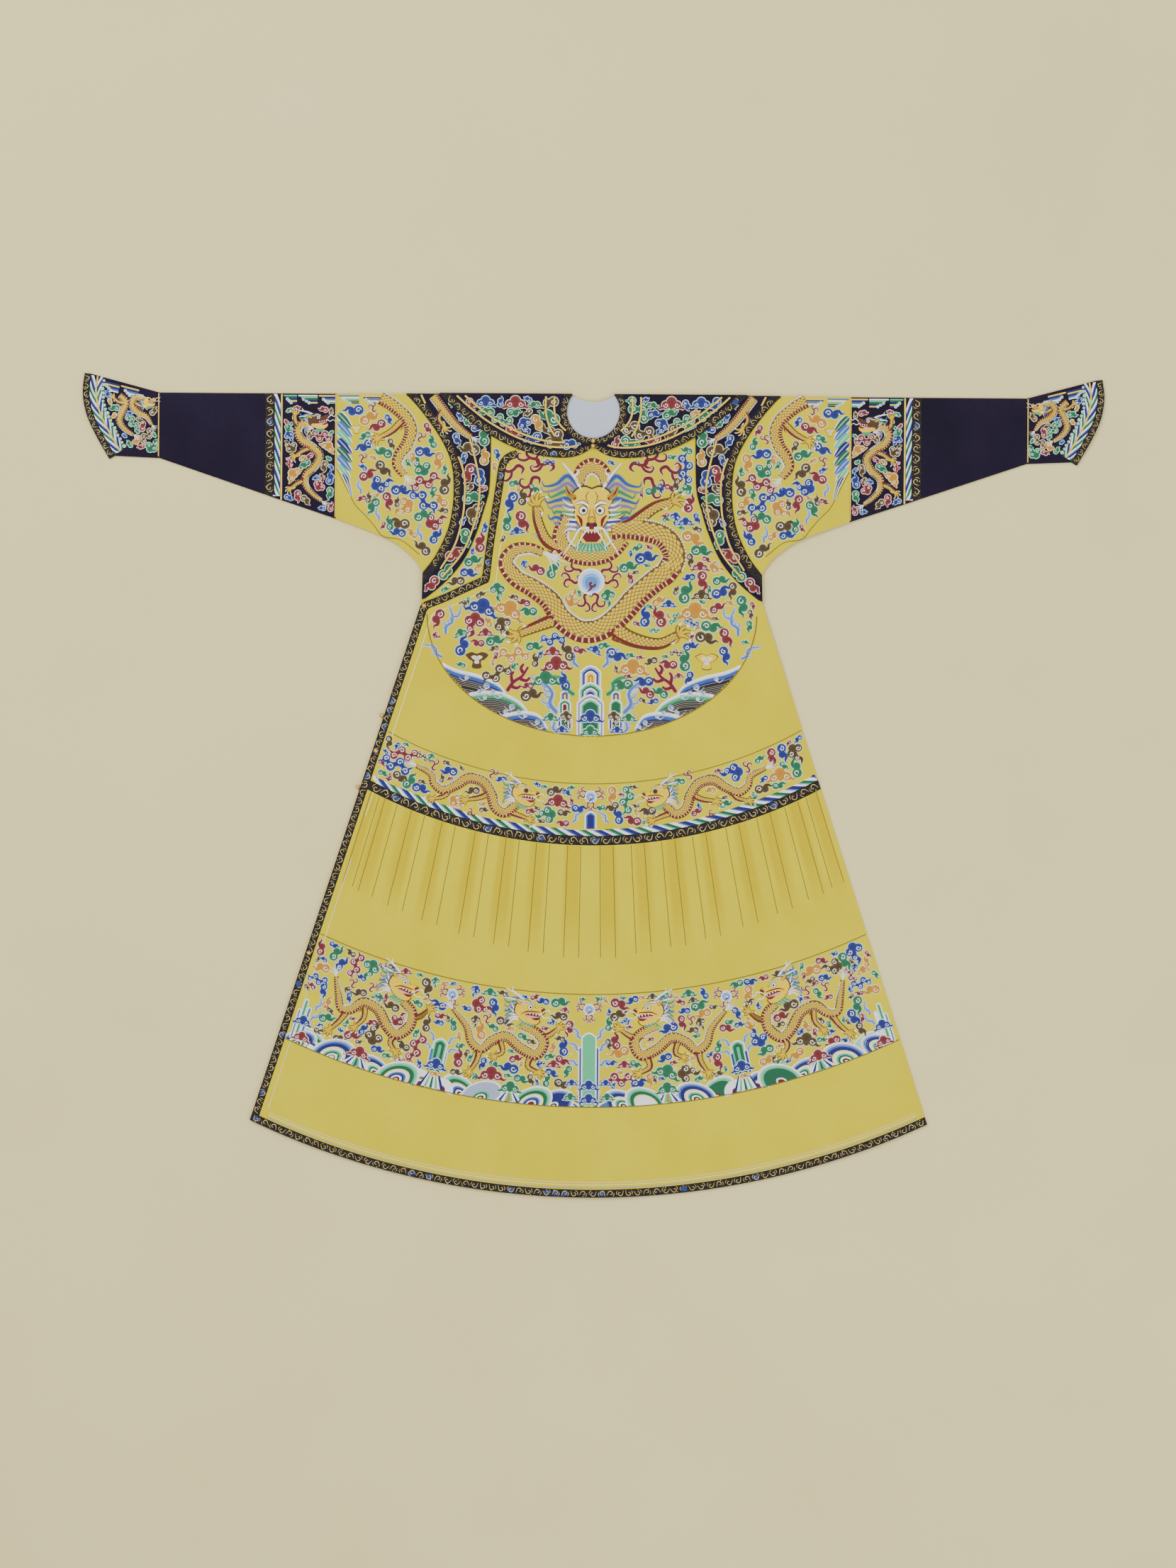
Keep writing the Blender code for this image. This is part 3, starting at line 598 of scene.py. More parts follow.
@dataclass(frozen=True)
class Gilt(Finish):
    """Gilt brass, rubbed a little paler on its high places."""

    name: str = "gilt_brass"

    def fill(self, tree: bpy.types.NodeTree, shader: bpy.types.Node) -> None:
        """Adds the nodes that colour and rough the cloth or metal."""
        wear = ramp(tree, noise_node(tree, (500, 500, 500), 3).outputs["Fac"], 0.35, 0.65)
        tree.links.new(mixed(tree, wear, (0.56, 0.34, 0.05), (0.72, 0.48, 0.12)), shader.inputs["Base Color"])
        set_inputs(shader, {"Metallic": 0.6, "Roughness": 0.4})
        add_bump(tree, shader, noise_node(tree, (900, 900, 900), 2).outputs["Fac"], 0.0001, 0.4)


YELLOW = Silk("yellow_silk_cloth", (0.614, 0.524, 0.010), (0.566, 0.464, 0.004))
# The pleated silk's third colour is painted shade in the grooves between its raised pleats.
PLEATED = Silk("pleated_silk_cloth", (0.622, 0.534, 0.014), (0.574, 0.476, 0.006), groove_shade=(0.500, 0.372, 0.002))
NAVY = Silk("navy_silk_cloth", (0.016, 0.012, 0.026), (0.010, 0.008, 0.016))
LINING = Silk("blue_lining_cloth", (0.47, 0.51, 0.585), (0.42, 0.47, 0.57))
SILK_THREAD = Stitches("silk_thread")
GOLD_THREAD = Stitches("gilt_thread", 0.35, 0.42)


# Meshes

def make_object(name: str, points: Points, faces: Sequence[Sequence[int]], materials: Sequence[bpy.types.Material],
                turn_out: bool = True) -> bpy.types.Object:
    """A mesh object that rides on the robe.

    Args:
        name: the object's name.
        points: its points in metres, measured from the neck.
        faces: its faces, as numbers of points.
        materials: its materials, in slot order.
        turn_out: whether its faces are turned outwards.

    Returns:
        The linked object.
    """
    mesh = bpy.data.meshes.new(name)
    mesh.from_pydata((points + (0, MIDDLE_Y, 0)).tolist(), [], faces)
    if turn_out:
        bm = bmesh.new()
        bm.from_mesh(mesh)
        bmesh.ops.recalc_face_normals(bm, faces=bm.faces)
        bm.to_mesh(mesh)
        bm.free()
    made = bpy.data.objects.new(name, mesh)
    for material in materials:
        mesh.materials.append(material)
    bpy.context.scene.collection.objects.link(made)
    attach(made, "root")
    return made


def soften(made: bpy.types.Object, degrees: float = 35) -> None:
    """Smooth shading, with sharp edges kept."""
    made.data.shade_smooth()
    made.data.set_sharp_from_angle(angle=math.radians(degrees))


def grid_faces(rows: int, columns: int, start: int, ring: bool, flip: bool) -> list[tuple[int, ...]]:
    """The quads of a grid of points whose numbers begin at start."""
    last = columns if ring else columns - 1
    r, c = np.meshgrid(np.arange(rows - 1), np.arange(last), indexing="ij")
    d = (c + 1) % columns
    quads = np.stack([r * columns + c, r * columns + d, (r + 1) * columns + d, (r + 1) * columns + c], -1)
    quads = quads.reshape(-1, 4) + start
    return [tuple(q) for q in (quads[:, ::-1] if flip else quads).tolist()]


def cloth_between(name: str, over: Points, under: Points, finish: Silk | Brocade,
                  ring: bool = False) -> bpy.types.Object:
    """A closed sheet between two grids of points.

    Args:
        name: the object's name.
        over: the upper or outer grid, rows by columns by three.
        under: the lower or inner grid.
        finish: the sheet's finish.
        ring: whether its columns go all the way round.

    Returns:
        The sheet.
    """
    rows, columns = over.shape[:2]
    count = rows * columns
    faces = grid_faces(rows, columns, 0, ring, False) + grid_faces(rows, columns, count, ring, True)
    last = columns if ring else columns - 1
    for r in (0, rows - 1):
        for c in range(last):
            a, b = r * columns + c, r * columns + (c + 1) % columns
            faces.append((a, b, b + count, a + count))
    if not ring:
        for c in (0, columns - 1):
            for r in range(rows - 1):
                a, b = r * columns + c, (r + 1) * columns + c
                faces.append((a, b, b + count, a + count))
    points = np.vstack([over.reshape(-1, 3), under.reshape(-1, 3)])
    made = make_object(name, points, faces, [finish.make()])
    soften(made)
    return made


def laid(name: str, plan: Points, floor: Surface, top: Surface, finish: Silk | Brocade,
         slot: str) -> bpy.types.Object:
    """A sheet laid over a grid of plan points, between a floor and a top."""
    x, y = plan[..., 0], plan[..., 1]
    over = np.stack([x, y, top(x, y)], -1)
    under = np.stack([x, y, np.minimum(floor(x, y) + (over[..., 2] - top_flat(floor, x, y)) * 0.8,
                                       over[..., 2] - 0.8 * WALL)], -1)
    return cloth_between(name, over, under, finish)


def top_flat(floor: Surface, x: Points, y: Points) -> Points:
    """The height of an unfolded wall on a floor."""
    return floor(x, y) + WALL


def inside(points: Points, outline: Points) -> Points:
    """True for each point that lies in the closed outline."""
    a, b = outline, np.roll(outline, -1, 0)
    x, y = points[:, 0][:, None], points[:, 1][:, None]
    crosses = (a[:, 1] > y) != (b[:, 1] > y)
    at = (b[:, 0] - a[:, 0]) * (y - a[:, 1]) / np.where(b[:, 1] == a[:, 1], 1e-12, b[:, 1] - a[:, 1]) + a[:, 0]
    return ((crosses & (x < at)).sum(1) % 2).astype(bool)


def edge_distance(points: Points, outline: Points) -> Points:
    """The distance from each point to a closed outline."""
    a, along = outline, np.roll(outline, -1, 0) - outline
    off = points[:, None, :] - a[None]
    share = np.clip((off * along).sum(2) / np.maximum((along ** 2).sum(1), 1e-12), 0, 1)
    return np.hypot(*np.moveaxis(off - share[..., None] * along, 2, 0)).min(1)


def panel(name: str, outline: Points, floor: Surface, top: Surface, finish: Silk, slot: str,
          step: float = 0.009) -> bpy.types.Object:
    """A sheet cut to a closed outline, between a floor and a top.

    Args:
        name: the object's name.
        outline: the cut's points in order, in metres from the neck.
        floor: its underside.
        top: its upper side.
        finish: its finish.
        slot: not used.
        step: the spacing of the points inside it.

    Returns:
        The sheet.
    """
    low, high = outline.min(0), outline.max(0)
    rows = []
    for n, y in enumerate(np.arange(low[1] + step * 0.5, high[1], step * 0.87)):
        x = np.arange(low[0] + step * 0.5 * (n % 2), high[0], step)
        rows.append(np.stack([x, np.full(len(x), y)], 1))
    grid = np.vstack(rows)
    grid = grid[inside(grid, outline)]
    grid = grid[edge_distance(grid, outline) > step * 0.4]
    flat = [Vector(p) for p in np.vstack([outline, grid]).tolist()]
    edges = [(n, (n + 1) % len(outline)) for n in range(len(outline))]
    flat, _, faces, _, _, _ = delaunay_2d_cdt(flat, edges, [], 1, 1e-7)
    plan = np.array([tuple(p) for p in flat])
    x, y = plan.T
    z = top(x, y)
    count = len(plan)
    points = np.vstack([np.stack([x, y, z], 1), np.stack([x, y, floor(x, y)], 1)])
    used = {(a, b) for f in faces for a, b in zip(f, list(f[1:]) + [f[0]])}
    rim = [(a, b) for a, b in used if (b, a) not in used]
    every = [tuple(f) for f in faces] + [tuple(n + count for n in reversed(f)) for f in faces]
    every += [(b, a, a + count, b + count) for a, b in sorted(rim)]
    made = make_object(name, points, every, [finish.make()])
    soften(made)
    return made


def rows_between(top: tuple[float, float], foot: tuple[float, float], rows: int, shares: Points,
                 trimmed: bool = False) -> Points:
    """A grid of plan points across the robe from one arc down to another."""
    return np.stack([row_across(between(top, foot, n / (rows - 1)), shares, trimmed) for n in range(rows)])


def say(thing: str, made: Sequence[bpy.types.Object]) -> None:
    """Logs what was made."""
    faces = sum(len(o.data.loops) - 2 * len(o.data.polygons) for o in made if o.type == "MESH")
    LOG.info("%s: %d pieces, %d triangles", thing, len(made), faces)


# Needlework

class Hue(Enum):
    """The dyed silks of the clouds, each as its deep and its pale shade."""

    BLUE = (0.010, 0.013, 0.160), (0.160, 0.420, 0.900)
    CRIMSON = (0.150, 0.008, 0.014), (0.80, 0.34, 0.34)
    GREEN = (0.008, 0.115, 0.055), (0.200, 0.740, 0.370)
    BROWN = (0.050, 0.028, 0.010), (0.60, 0.45, 0.17)
    ORANGE = (0.500, 0.205, 0.012), (0.90, 0.74, 0.20)
    LILAC = (0.105, 0.085, 0.165), (0.62, 0.54, 0.80)


DEEP_BLUE, PALE_BLUE = Hue.BLUE.value
DEEP_GREEN, PALE_GREEN = Hue.GREEN.value
RED, PALE_RED = Hue.CRIMSON.value
BROWN, ORANGE = Hue.BROWN.value[0], Hue.ORANGE.value[0]
WHITE = (0.92, 0.92, 0.90)
PALE = (0.70, 0.86, 0.56)
INK = (0.017, 0.013, 0.017)
GOLD = (0.93, 0.65, 0.02)
GOLD_DEEP = (0.30, 0.165, 0.018)
GOLD_LINE = (0.86, 0.60, 0.06)
SEPIA = (0.080, 0.040, 0.014)
LINE_BROWN = (0.19, 0.123, 0.023)
SKY = (0.05, 0.139, 0.43)
MINT = (0.084, 0.513, 0.234)
PALE_LINE = (0.90, 0.82, 0.30)
GOLD_THREAD_DULL = (0.44, 0.27, 0.035)


class CloudKind(Enum):
    """The shapes of cloud: lobes as x, y, radius; tails as points and widths; curls as x, y, radius and start."""

    RUYI = (((-1.0, 0.15, 0.68), (1.0, 0.15, 0.68), (0, -0.42, 0.86), (0, 0.32, 0.5)),
            ((((-1.0, 0.55), (-1.6, 0.52), (-2.0, 0.78), (-2.4, 0.5)), (0.55, 0.46, 0.32, 0.08)),
             (((1.0, 0.55), (1.6, 0.52), (2.0, 0.78), (2.4, 0.5)), (0.55, 0.46, 0.32, 0.08))),
            ((-0.95, 0.15, 0.46, 0), (0.95, 0.15, 0.46, 1)))
    TRAIL = (((-0.75, 0.1, 0.66), (0.75, 0.1, 0.66), (0, -0.4, 0.74), (0.45, 1.15, 0.50)),
             ((((0, 0.2), (0.5, 1.0), (-0.05, 1.8), (0.55, 2.5)), (0.8, 0.72, 0.56, 0.08)),),
             ((-0.72, 0.12, 0.42, 0), (0.72, 0.12, 0.42, 1), (0.45, 1.2, 0.34, 0)))
    CHAIN = (((-1.45, -0.5, 0.60), (-0.4, 0.5, 0.62), (0.7, -0.45, 0.64), (1.6, 0.45, 0.54)),
             ((((-2.4, 0.3), (-1.5, -0.2), (-0.4, 0.22), (0.7, -0.2), (1.6, 0.25), (2.4, -0.2)),
               (0.08, 0.52, 0.64, 0.64, 0.52, 0.08)),),
             ((-1.45, -0.5, 0.40, 1), (-0.4, 0.48, 0.42, 0), (0.7, -0.45, 0.44, 1), (1.6, 0.44, 0.36, 0)))
    WISP = (((-0.5, 0, 0.70), (0.45, -0.2, 0.58)),
            ((((0.3, 0.1), (1.0, 0.35), (1.5, -0.05), (1.9, 0.12)), (0.62, 0.5, 0.32, 0.06)),),
            ((-0.45, 0, 0.42, 0),))


RUYI, TRAIL, CHAIN, WISP = CloudKind


@dataclass(frozen=True)
class Spot:
    """Where a motif sits: its place, its scale, its turn in degrees and whether it is flipped left to right."""

    x: float
    y: float
    size: float = 1.0
    turn: float = 0.0
    flip: bool = False

    def at(self, points: Sequence[Sequence[float]]) -> Points:
        """Drawing-unit places of points given in the motif's own units."""
        p = np.asarray(points, float) * ((-1 if self.flip else 1), 1) * self.size
        a = math.radians(self.turn)
        turned = p @ np.array([[math.cos(a), math.sin(a)], [-math.sin(a), math.cos(a)]])
        return turned + (self.x, self.y)

    def near(self, x: float, y: float, size: float, turn: float, flip: bool = False) -> "Spot":
        """Another spot, at a place given in this one's units."""
        across, down = self.at([(x, y)])[0]
        return Spot(float(across), float(down), size, turn, flip)


@dataclass(frozen=True)
class ArcSpot:
    """A strip of motifs along an arc of the robe: x runs along the arc from the middle, y down from it."""

    depth: float
    radius: float
    size: float = 1.0

    def at(self, points: Sequence[Sequence[float]]) -> Points:
        """Drawing-unit places of points given along and across the arc."""
        p = np.asarray(points, float)
        a = p[:, 0] / self.radius
        r = self.radius + p[:, 1]
        return np.stack([r * np.sin(a), self.depth - self.radius + r * np.cos(a)], 1)


# A patch wider than this, in drawing units, gets points inside it so that it follows the cloth
WIDE_PATCH = 11.0

# The height of the lowest stitches and the step from one layer of them to the next, in millimetres
FIRST_LEVEL = 0.06
LEVEL_STEP = 0.14

# Shapes of one layer lie a hair over each other, so that no two are in one plane: the step in millimetres,
# and the number of steps
LIE_STEP = 0.004
LIES = 23


def filled(outline: Points, pitch: float) -> tuple[Points, list[tuple[int, ...]]]:
    """A closed outline with more points on it and in it, so that it follows the cloth, and its triangles."""
    closed = np.vstack([outline, outline[:1]])
    ring = [outline[0]]
    for first, last in zip(closed[:-1], closed[1:]):
        parts = max(1, round(float(np.hypot(*(last - first))) / pitch))
        ring += [first + (last - first) * k / parts for k in range(1, parts + 1)]
    ring = np.array(ring[:-1])
    xs, ys = (np.arange(*span, pitch) for span in zip(ring.min(0) + pitch / 2, ring.max(0)))
    grid = np.stack(np.meshgrid(xs, ys), -1).reshape(-1, 2)
    grid = grid[inside(grid, ring)] if len(grid) else grid
    grid = grid[edge_distance(grid, ring) > pitch * 0.45] if len(grid) else grid
    points = np.vstack([ring, grid])
    edges = [(k, (k + 1) % len(ring)) for k in range(len(ring))]
    found, _, faces, _, _, _ = delaunay_2d_cdt([Vector(p) for p in points.tolist()], edges,
                                               [list(range(len(ring)))], 1, 1e-6)
    return np.array([tuple(p) for p in found]), [tuple(f) for f in faces]


@dataclass
class Needlework:
    """Stitched shapes on one panel, gathered in drawing units and sewn as one mesh.

    Attributes:
        name: the piece's name.
        surface: the upper side of the panel it is sewn on.
        side: -1 to sew it on the wearer's right.
        slot: not used.
    """

    name: str
    surface: Surface
    side: int = 1
    slot: str = "yellow_silk"
    points: list[Points] = field(default_factory=list)
    tints: list[Points] = field(default_factory=list)
    faces: list[Points] = field(default_factory=list)
    gilt: list[Points] = field(default_factory=list)
    count: int = 0

    def add(self, points: Points, tints: Points | Colour, faces: Points, gilt: bool = False) -> None:
        """Keeps a shape.

        Args:
            points: x and y in drawing units and the height in millimetres, one point a row.
            tints: one colour, or one for each point.
            faces: the faces, four point numbers a row. A triangle repeats its last one.
            gilt: whether it is in gilt thread.
        """
        lifted = np.array(points, float)
        lifted[:, 2] += LIE_STEP * (len(self.points) % LIES)
        self.points.append(lifted)
        self.tints.append(np.broadcast_to(np.asarray(tints, float), (len(points), 3)))
        self.faces.append(np.asarray(faces) + self.count)
        self.gilt.append(np.full(len(faces), gilt))
        self.count += len(points)

    @staticmethod
    def height(level: float) -> float:
        """The height of a layer of stitches, in millimetres."""
        return FIRST_LEVEL + LEVEL_STEP * level

    def strip(self, path: Points, widths: Points, tint: Colour, level: float, crown: float = 0.0,
              rim: Optional[Colour] = None, gilt: bool = False) -> None:
        """A line of stitches with these points and widths, crowned along its middle if it is wide."""
        side = side_normals(path) * widths[:, None] / 2
        base = self.height(level)
        n = len(path)
        if crown == 0 and rim is None:
            points = np.vstack([path - side, path + side])
            points = np.column_stack([points, np.full(2 * n, base)])
            k = np.arange(n - 1)
            self.add(points, tint, np.stack([k, k + 1, k + 1 + n, k + n], 1), gilt)
            return
        swell = crown * np.minimum(1, widths / max(widths.max(), 1e-6))
        points = np.vstack([np.column_stack([path - side, np.full(n, base)]),
                            np.column_stack([path, base + swell]),
                            np.column_stack([path + side, np.full(n, base)])])
        edge = tint if rim is None else rim
        tints = np.vstack([np.tile(edge, (n, 1)), np.tile(tint, (n, 1)), np.tile(edge, (n, 1))])
        k = np.arange(n - 1)
        faces = np.vstack([np.stack([k, k + 1, k + 1 + n, k + n], 1),
                           np.stack([k + n, k + 1 + n, k + 1 + 2 * n, k + 2 * n], 1)])
        self.add(points, tints, faces, gilt)

    def stroke(self, points: Sequence[Sequence[float]], width: float | Sequence[float], tint: Colour,
               level: float = 1, spot: Spot | ArcSpot = Spot(0, 0), crown: float = 0.0,
               rim: Optional[Colour] = None, gilt: bool = False, pitch: float = 1.8, spread: float = 0.0) -> None:
        """A smooth stroke through points, with rounded ends.

        Args:
            points: its knots, in the spot's units.
            width: its width in the spot's units, or several along it.
            tint: its colour.
            level: its layer.
            spot: where the points are.
            crown: how high its middle stands, in millimetres.
            rim: the colour of its edges.
            gilt: whether it is in gilt thread.
            pitch: how far apart its points are, in drawing units.
            spread: how much wider it is, in drawing units.
        """
        knots = curve_through(points, 6 * len(points))
        line = spot.at(knots)
        length = length_of(line)
        count = int(np.clip(length / pitch, 3, 400))
        wide = np.atleast_1d(np.asarray(width, float)) * spot.size + spread
        shares = np.linspace(0, 1, 30)
        wide = np.interp(shares, np.linspace(0, 1, len(wide)), wide)
        ends = [0.0, 0.15, 0.5, 1.0]
        first, last = wide[0] / 2, wide[-1] / 2
        along = np.concatenate([np.linspace(0, length, count), np.array(ends) * first,
                                length - np.array(ends) * last])
        along = np.unique(np.round(np.clip(along, 0, length), 3))
        steps = steps_along(line)
        path = np.stack([np.interp(along, steps, line[:, 0]), np.interp(along, steps, line[:, 1])], 1)
        widths = np.interp(along / max(length, 1e-9), shares, wide)
        for reach, half in ((along, first), (length - along, last)):
            widths = widths * np.sqrt(1 - (1 - np.clip(reach / max(half, 1e-6), 0.02, 1)) ** 2)
        self.strip(path, np.maximum(widths, 0.05), tint, level, crown, rim, gilt)

    def dot(self, x: float, y: float, radius: float, tint: Colour, level: float = 1,
            spot: Spot | ArcSpot = Spot(0, 0), crown: float = 0.0, rim: Optional[Colour] = None,
            gilt: bool = False, spread: float = 0.0, squash: float = 1.0) -> None:
        """A round patch of stitches."""
        r = radius * spot.size + spread
        n = 8 if r < 1.5 else 12 if r < 4 else 18
        a = np.linspace(0, 2 * math.pi, n, endpoint=False)
        middle = spot.at([(x, y)])[0]
        ring = middle + np.stack([np.cos(a) * r, np.sin(a) * r * squash], 1)
        base = self.height(level)
        points = np.vstack([np.column_stack([ring, np.full(n, base)]), [[*middle, base + crown]]])
        k = np.arange(n)
        tints = np.vstack([np.tile(tint if rim is None else rim, (n, 1)), [tint]])
        self.add(points, tints, np.stack([k, (k + 1) % n, np.full(n, n), np.full(n, n)], 1), gilt)

    def patch(self, outline: Sequence[Sequence[float]], tint: Colour, level: float = 1,
              spot: Spot | ArcSpot = Spot(0, 0), rounded: int = 0, gilt: bool = False, grow: float = 1.0) -> None:
        """A patch of stitches with this outline, smoothed through its points if rounded gives their number."""
        line = np.asarray(outline, float)
        if grow != 1.0:
            line = line.mean(0) + (line - line.mean(0)) * grow
        if rounded:
            line = curve_through(np.vstack([line, line[:1]]), rounded + 1)[:-1]
        line = spot.at(line)
        if np.ptp(line, 0).max() > WIDE_PATCH:
            line, found = filled(line, WIDE_PATCH / 2)
        else:
            found = tessellate_polygon([[Vector((*p, 0)) for p in line.tolist()]])
        faces = np.array([(*t, t[-1]) for t in found])
        if len(faces):
            self.add(np.column_stack([line, np.full(len(line), self.height(level))]), tint, faces, gilt)

    def curl(self, x: float, y: float, radius: float, start: int, tint: Colour, level: float = 2,
             spot: Spot | ArcSpot = Spot(0, 0), width: float = 0.9, turns: float = 1.1) -> None:
        """A spiral line that winds in from the left, or from the right if start is 1."""
        t = np.linspace(0, 1, 9)
        a = math.pi * (0.5 + 2 * turns * t)
        r = radius * (1 - 0.80 * t)
        sign = -1 if start else 1
        points = np.stack([x + sign * r * np.cos(a + math.pi / 2), y - r * np.sin(a + math.pi / 2)], 1)
        self.stroke(points, width / spot.size, tint, level, spot, pitch=1.3)

    def sew(self) -> Optional[bpy.types.Object]:
        """Makes the mesh on its panel and returns it."""
        if not self.points:
            return None
        points = np.vstack(self.points)
        x, y = points[:, 0] * UNIT * self.side, -points[:, 1] * UNIT
        z = self.surface(x, y) + points[:, 2] * 0.001
        faces = np.vstack(self.faces)
        if self.side > 0:
            faces = faces[:, ::-1]
        tidy = [tuple(dict.fromkeys(f)) for f in faces.tolist()]
        keep = [n for n, f in enumerate(tidy) if len(f) > 2]
        made = make_object(self.name, np.column_stack([x, y, z]), [tidy[n] for n in keep],
                           [SILK_THREAD.make(), GOLD_THREAD.make()], turn_out=False)
        mesh = made.data
        shade = mesh.color_attributes.new("silk", "FLOAT_COLOR", "POINT")
        shade.data.foreach_set("color", np.column_stack([np.vstack(self.tints), np.ones(self.count)]).ravel())
        gilt = np.concatenate(self.gilt)[keep]
        mesh.polygons.foreach_set("material_index", gilt.astype(np.int32))
        normals = np.zeros(len(mesh.polygons) * 3)
        mesh.polygons.foreach_get("normal", normals)
        upside = [n for n, z in enumerate(normals[2::3]) if z < 0]
        if upside:
            bm = bmesh.new()
            bm.from_mesh(mesh)
            bm.faces.ensure_lookup_table()
            bmesh.ops.reverse_faces(bm, faces=[bm.faces[n] for n in upside])
            bm.to_mesh(mesh)
            bm.free()
        mesh.shade_smooth()
        return made


def blend(first: Colour, second: Colour, share: float) -> Colour:
    """A colour between two."""
    return tuple(a + (b - a) * share for a, b in zip(first, second))


def sew_cloud(work: Needlework, spot: Spot, hue: Hue, kind: CloudKind, halo: Optional[Colour] = PALE,
              level: float = 0.0) -> None:
    """A cloud with a pale outline, a deep body and white curls.

    Args:
        work: what it is sewn with.
        spot: where it is. Its size is the radius of the cloud's largest lobe, about.
        hue: its silks.
        kind: its shape.
        halo: the colour of its outline, if it isn't the pale shade of its silks.
        level: its lowest layer.
    """
    lobes, tails, curls = kind.value
    deep, pale = hue.value
    edge = blend(deep, pale, 0.07)
    outline = blend(pale, halo, 0.45) if halo else blend(pale, WHITE, 0.15)
    for x, y, r in lobes:
        work.dot(x, y, r, outline, level, spot, spread=1.25)
        work.dot(x, y, r, deep, level + 1, spot, 0.10, edge)
    for points, widths in tails:
        work.stroke(points, widths, outline, level + 0.05, spot, spread=1.7, pitch=2.6)
        work.stroke(points, widths, deep, level + 1.05, spot, 0.08, edge, pitch=2.2)
    for x, y, r, start in curls:
        work.curl(x, y, r, start, blend(pale, WHITE, 0.7), level + 2.1, spot, 0.145 * spot.size)


@dataclass
class Ground:
    """The free room on a panel, so that motifs are spread evenly and keep clear of each other.

    Attributes:
        inside: says for arrays of x and y in drawing units which points may be covered.
        box: its left, top, right and bottom in drawing units.
        pitch: the spacing of the points it keeps.
    """

    inside: Surface
    box: tuple[float, float, float, float]
    pitch: float = 1.5
    free: Points = field(init=False)

    def __post_init__(self) -> None:
        """Lays out the grid of free points."""
        x0, y0, x1, y1 = self.box
        self.xs = np.arange(x0, x1, self.pitch)
        self.ys = np.arange(y0, y1, self.pitch)
        self.free = self.inside(*np.meshgrid(self.xs, self.ys))

    def block(self, points: Iterable[Sequence[float]], radius: float) -> None:
        """Takes the room within radius of some points."""
        for x, y in points:
            rows = np.nonzero(np.abs(self.ys - y) <= radius)[0]
            columns = np.nonzero(np.abs(self.xs - x) <= radius)[0]
            if len(rows) and len(columns):
                near = np.hypot(*np.meshgrid(self.xs[columns] - x, self.ys[rows] - y)) <= radius
                self.free[rows[0]:rows[-1] + 1, columns[0]:columns[-1] + 1] &= ~near

    def fits(self, points: Points) -> bool:
        """Whether all of some points are free."""
        c = np.round((points[:, 0] - self.box[0]) / self.pitch).astype(int)
        r = np.round((points[:, 1] - self.box[1]) / self.pitch).astype(int)
        if c.min() < 0 or r.min() < 0 or c.max() >= len(self.xs) or r.max() >= len(self.ys):
            return False
        return bool(self.free[r, c].all())


@lru_cache(maxsize=None)
def cloud_discs(kind: CloudKind) -> Points:
    """Discs that cover a cloud, as x, y and radius in its own units."""
    lobes, tails, _ = kind.value
    found = list(lobes)
    for points, widths in tails:
        line = curve_through(points, 9)[1::2]
        found += [(x, y, w) for (x, y), w in zip(line, np.interp(np.linspace(0, 1, len(line)),
                                                                np.linspace(0, 1, len(widths)), widths) / 2)]
    return np.array(found)


ROUND = np.array([[(math.cos(a), math.sin(a)) for a in np.linspace(0, 2 * math.pi, 6, endpoint=False)]])


def cloud_room(spot: Spot, kind: CloudKind, reach: float) -> tuple[Points, Points]:
    """The middles of a cloud's discs and their radii with the room kept round them, in drawing units."""
    discs = cloud_discs(kind)
    return spot.at(discs[:, :2]), discs[:, 2] * spot.size + reach


def place_cloud(work: Needlework, ground: Ground, spot: Spot, hue: Hue, kind: CloudKind,
                halo: Optional[Colour] = PALE, reach: float = 0.8) -> bool:
    """Sews a cloud where it has room, takes the room and says whether it did."""
    middles, radii = cloud_room(spot, kind, reach)
    if not ground.fits((middles[:, None] + ROUND * radii[:, None, None]).reshape(-1, 2)):
        return False
    sew_cloud(work, spot, hue, kind, halo)
    for middle, radius in zip(middles, radii):
        ground.block([middle], max(radius, 0.5))
    return True


def spread_clouds(work: Needlework, ground: Ground, sizes: Sequence[float], tries: int, seed: int,
                  turn: Callable[[float, float], float] = lambda x, y: 0.0, halo: Optional[Colour] = PALE, *,
                  reach: float, wobble: float) -> int:
    """Fills what room is left with clouds, the larger first.

    Args:
        work: what they are sewn with.
        ground: the free room.
        sizes: the clouds' sizes, from large to small.
        tries: how many places are tried for each size.
        seed: the seed of their places.
        turn: the lie of the pattern in degrees at a place.
        halo: the colour of their outlines, if it isn't the pale shade of their silks.
        reach: the room kept round each, in drawing units.
        wobble: how far they turn from the lie of the pattern.

    Returns:
        How many were sewn.
    """
    chance = random.Random(seed)
    hues = [Hue.BLUE, Hue.CRIMSON, Hue.GREEN, Hue.BLUE, Hue.BROWN, Hue.GREEN, Hue.CRIMSON, Hue.BLUE, Hue.GREEN,
            Hue.BROWN, Hue.ORANGE]
    sewn = 0
    near: list[tuple[float, float, Hue]] = []
    for size in sizes:
        cells: Points = np.zeros((0, 2), int)
        for n in range(tries):
            if n % 120 == 0:
                cells = np.argwhere(ground.free)
                if not len(cells):
                    return sewn
            row, column = cells[chance.randrange(len(cells))]
            x, y = float(ground.xs[column]), float(ground.ys[row])
            kind = chance.choice(tuple(CloudKind))
            angle = turn(x, y) + chance.choice((0, 0, 90, 180, -90)) * (kind is not RUYI)
            spot = Spot(x, y, size * chance.uniform(0.9, 1.1), angle + chance.uniform(-wobble, wobble),
                        chance.random() < 0.5)
            middles, radii = cloud_room(spot, kind, reach)
            if not (ground.free[row, column] and ground.fits(middles)
                    and ground.fits(middles + radii[:, None] * 0.7)):
                continue
            close = {h for a, b, h in near if math.hypot(a - x, b - y) < 5.0 * size}
            hue = chance.choice([h for h in hues if h not in close] or hues)
            if place_cloud(work, ground, spot, hue, kind, halo, reach):
                near.append((x, y, hue))
                sewn += 1
    return sewn


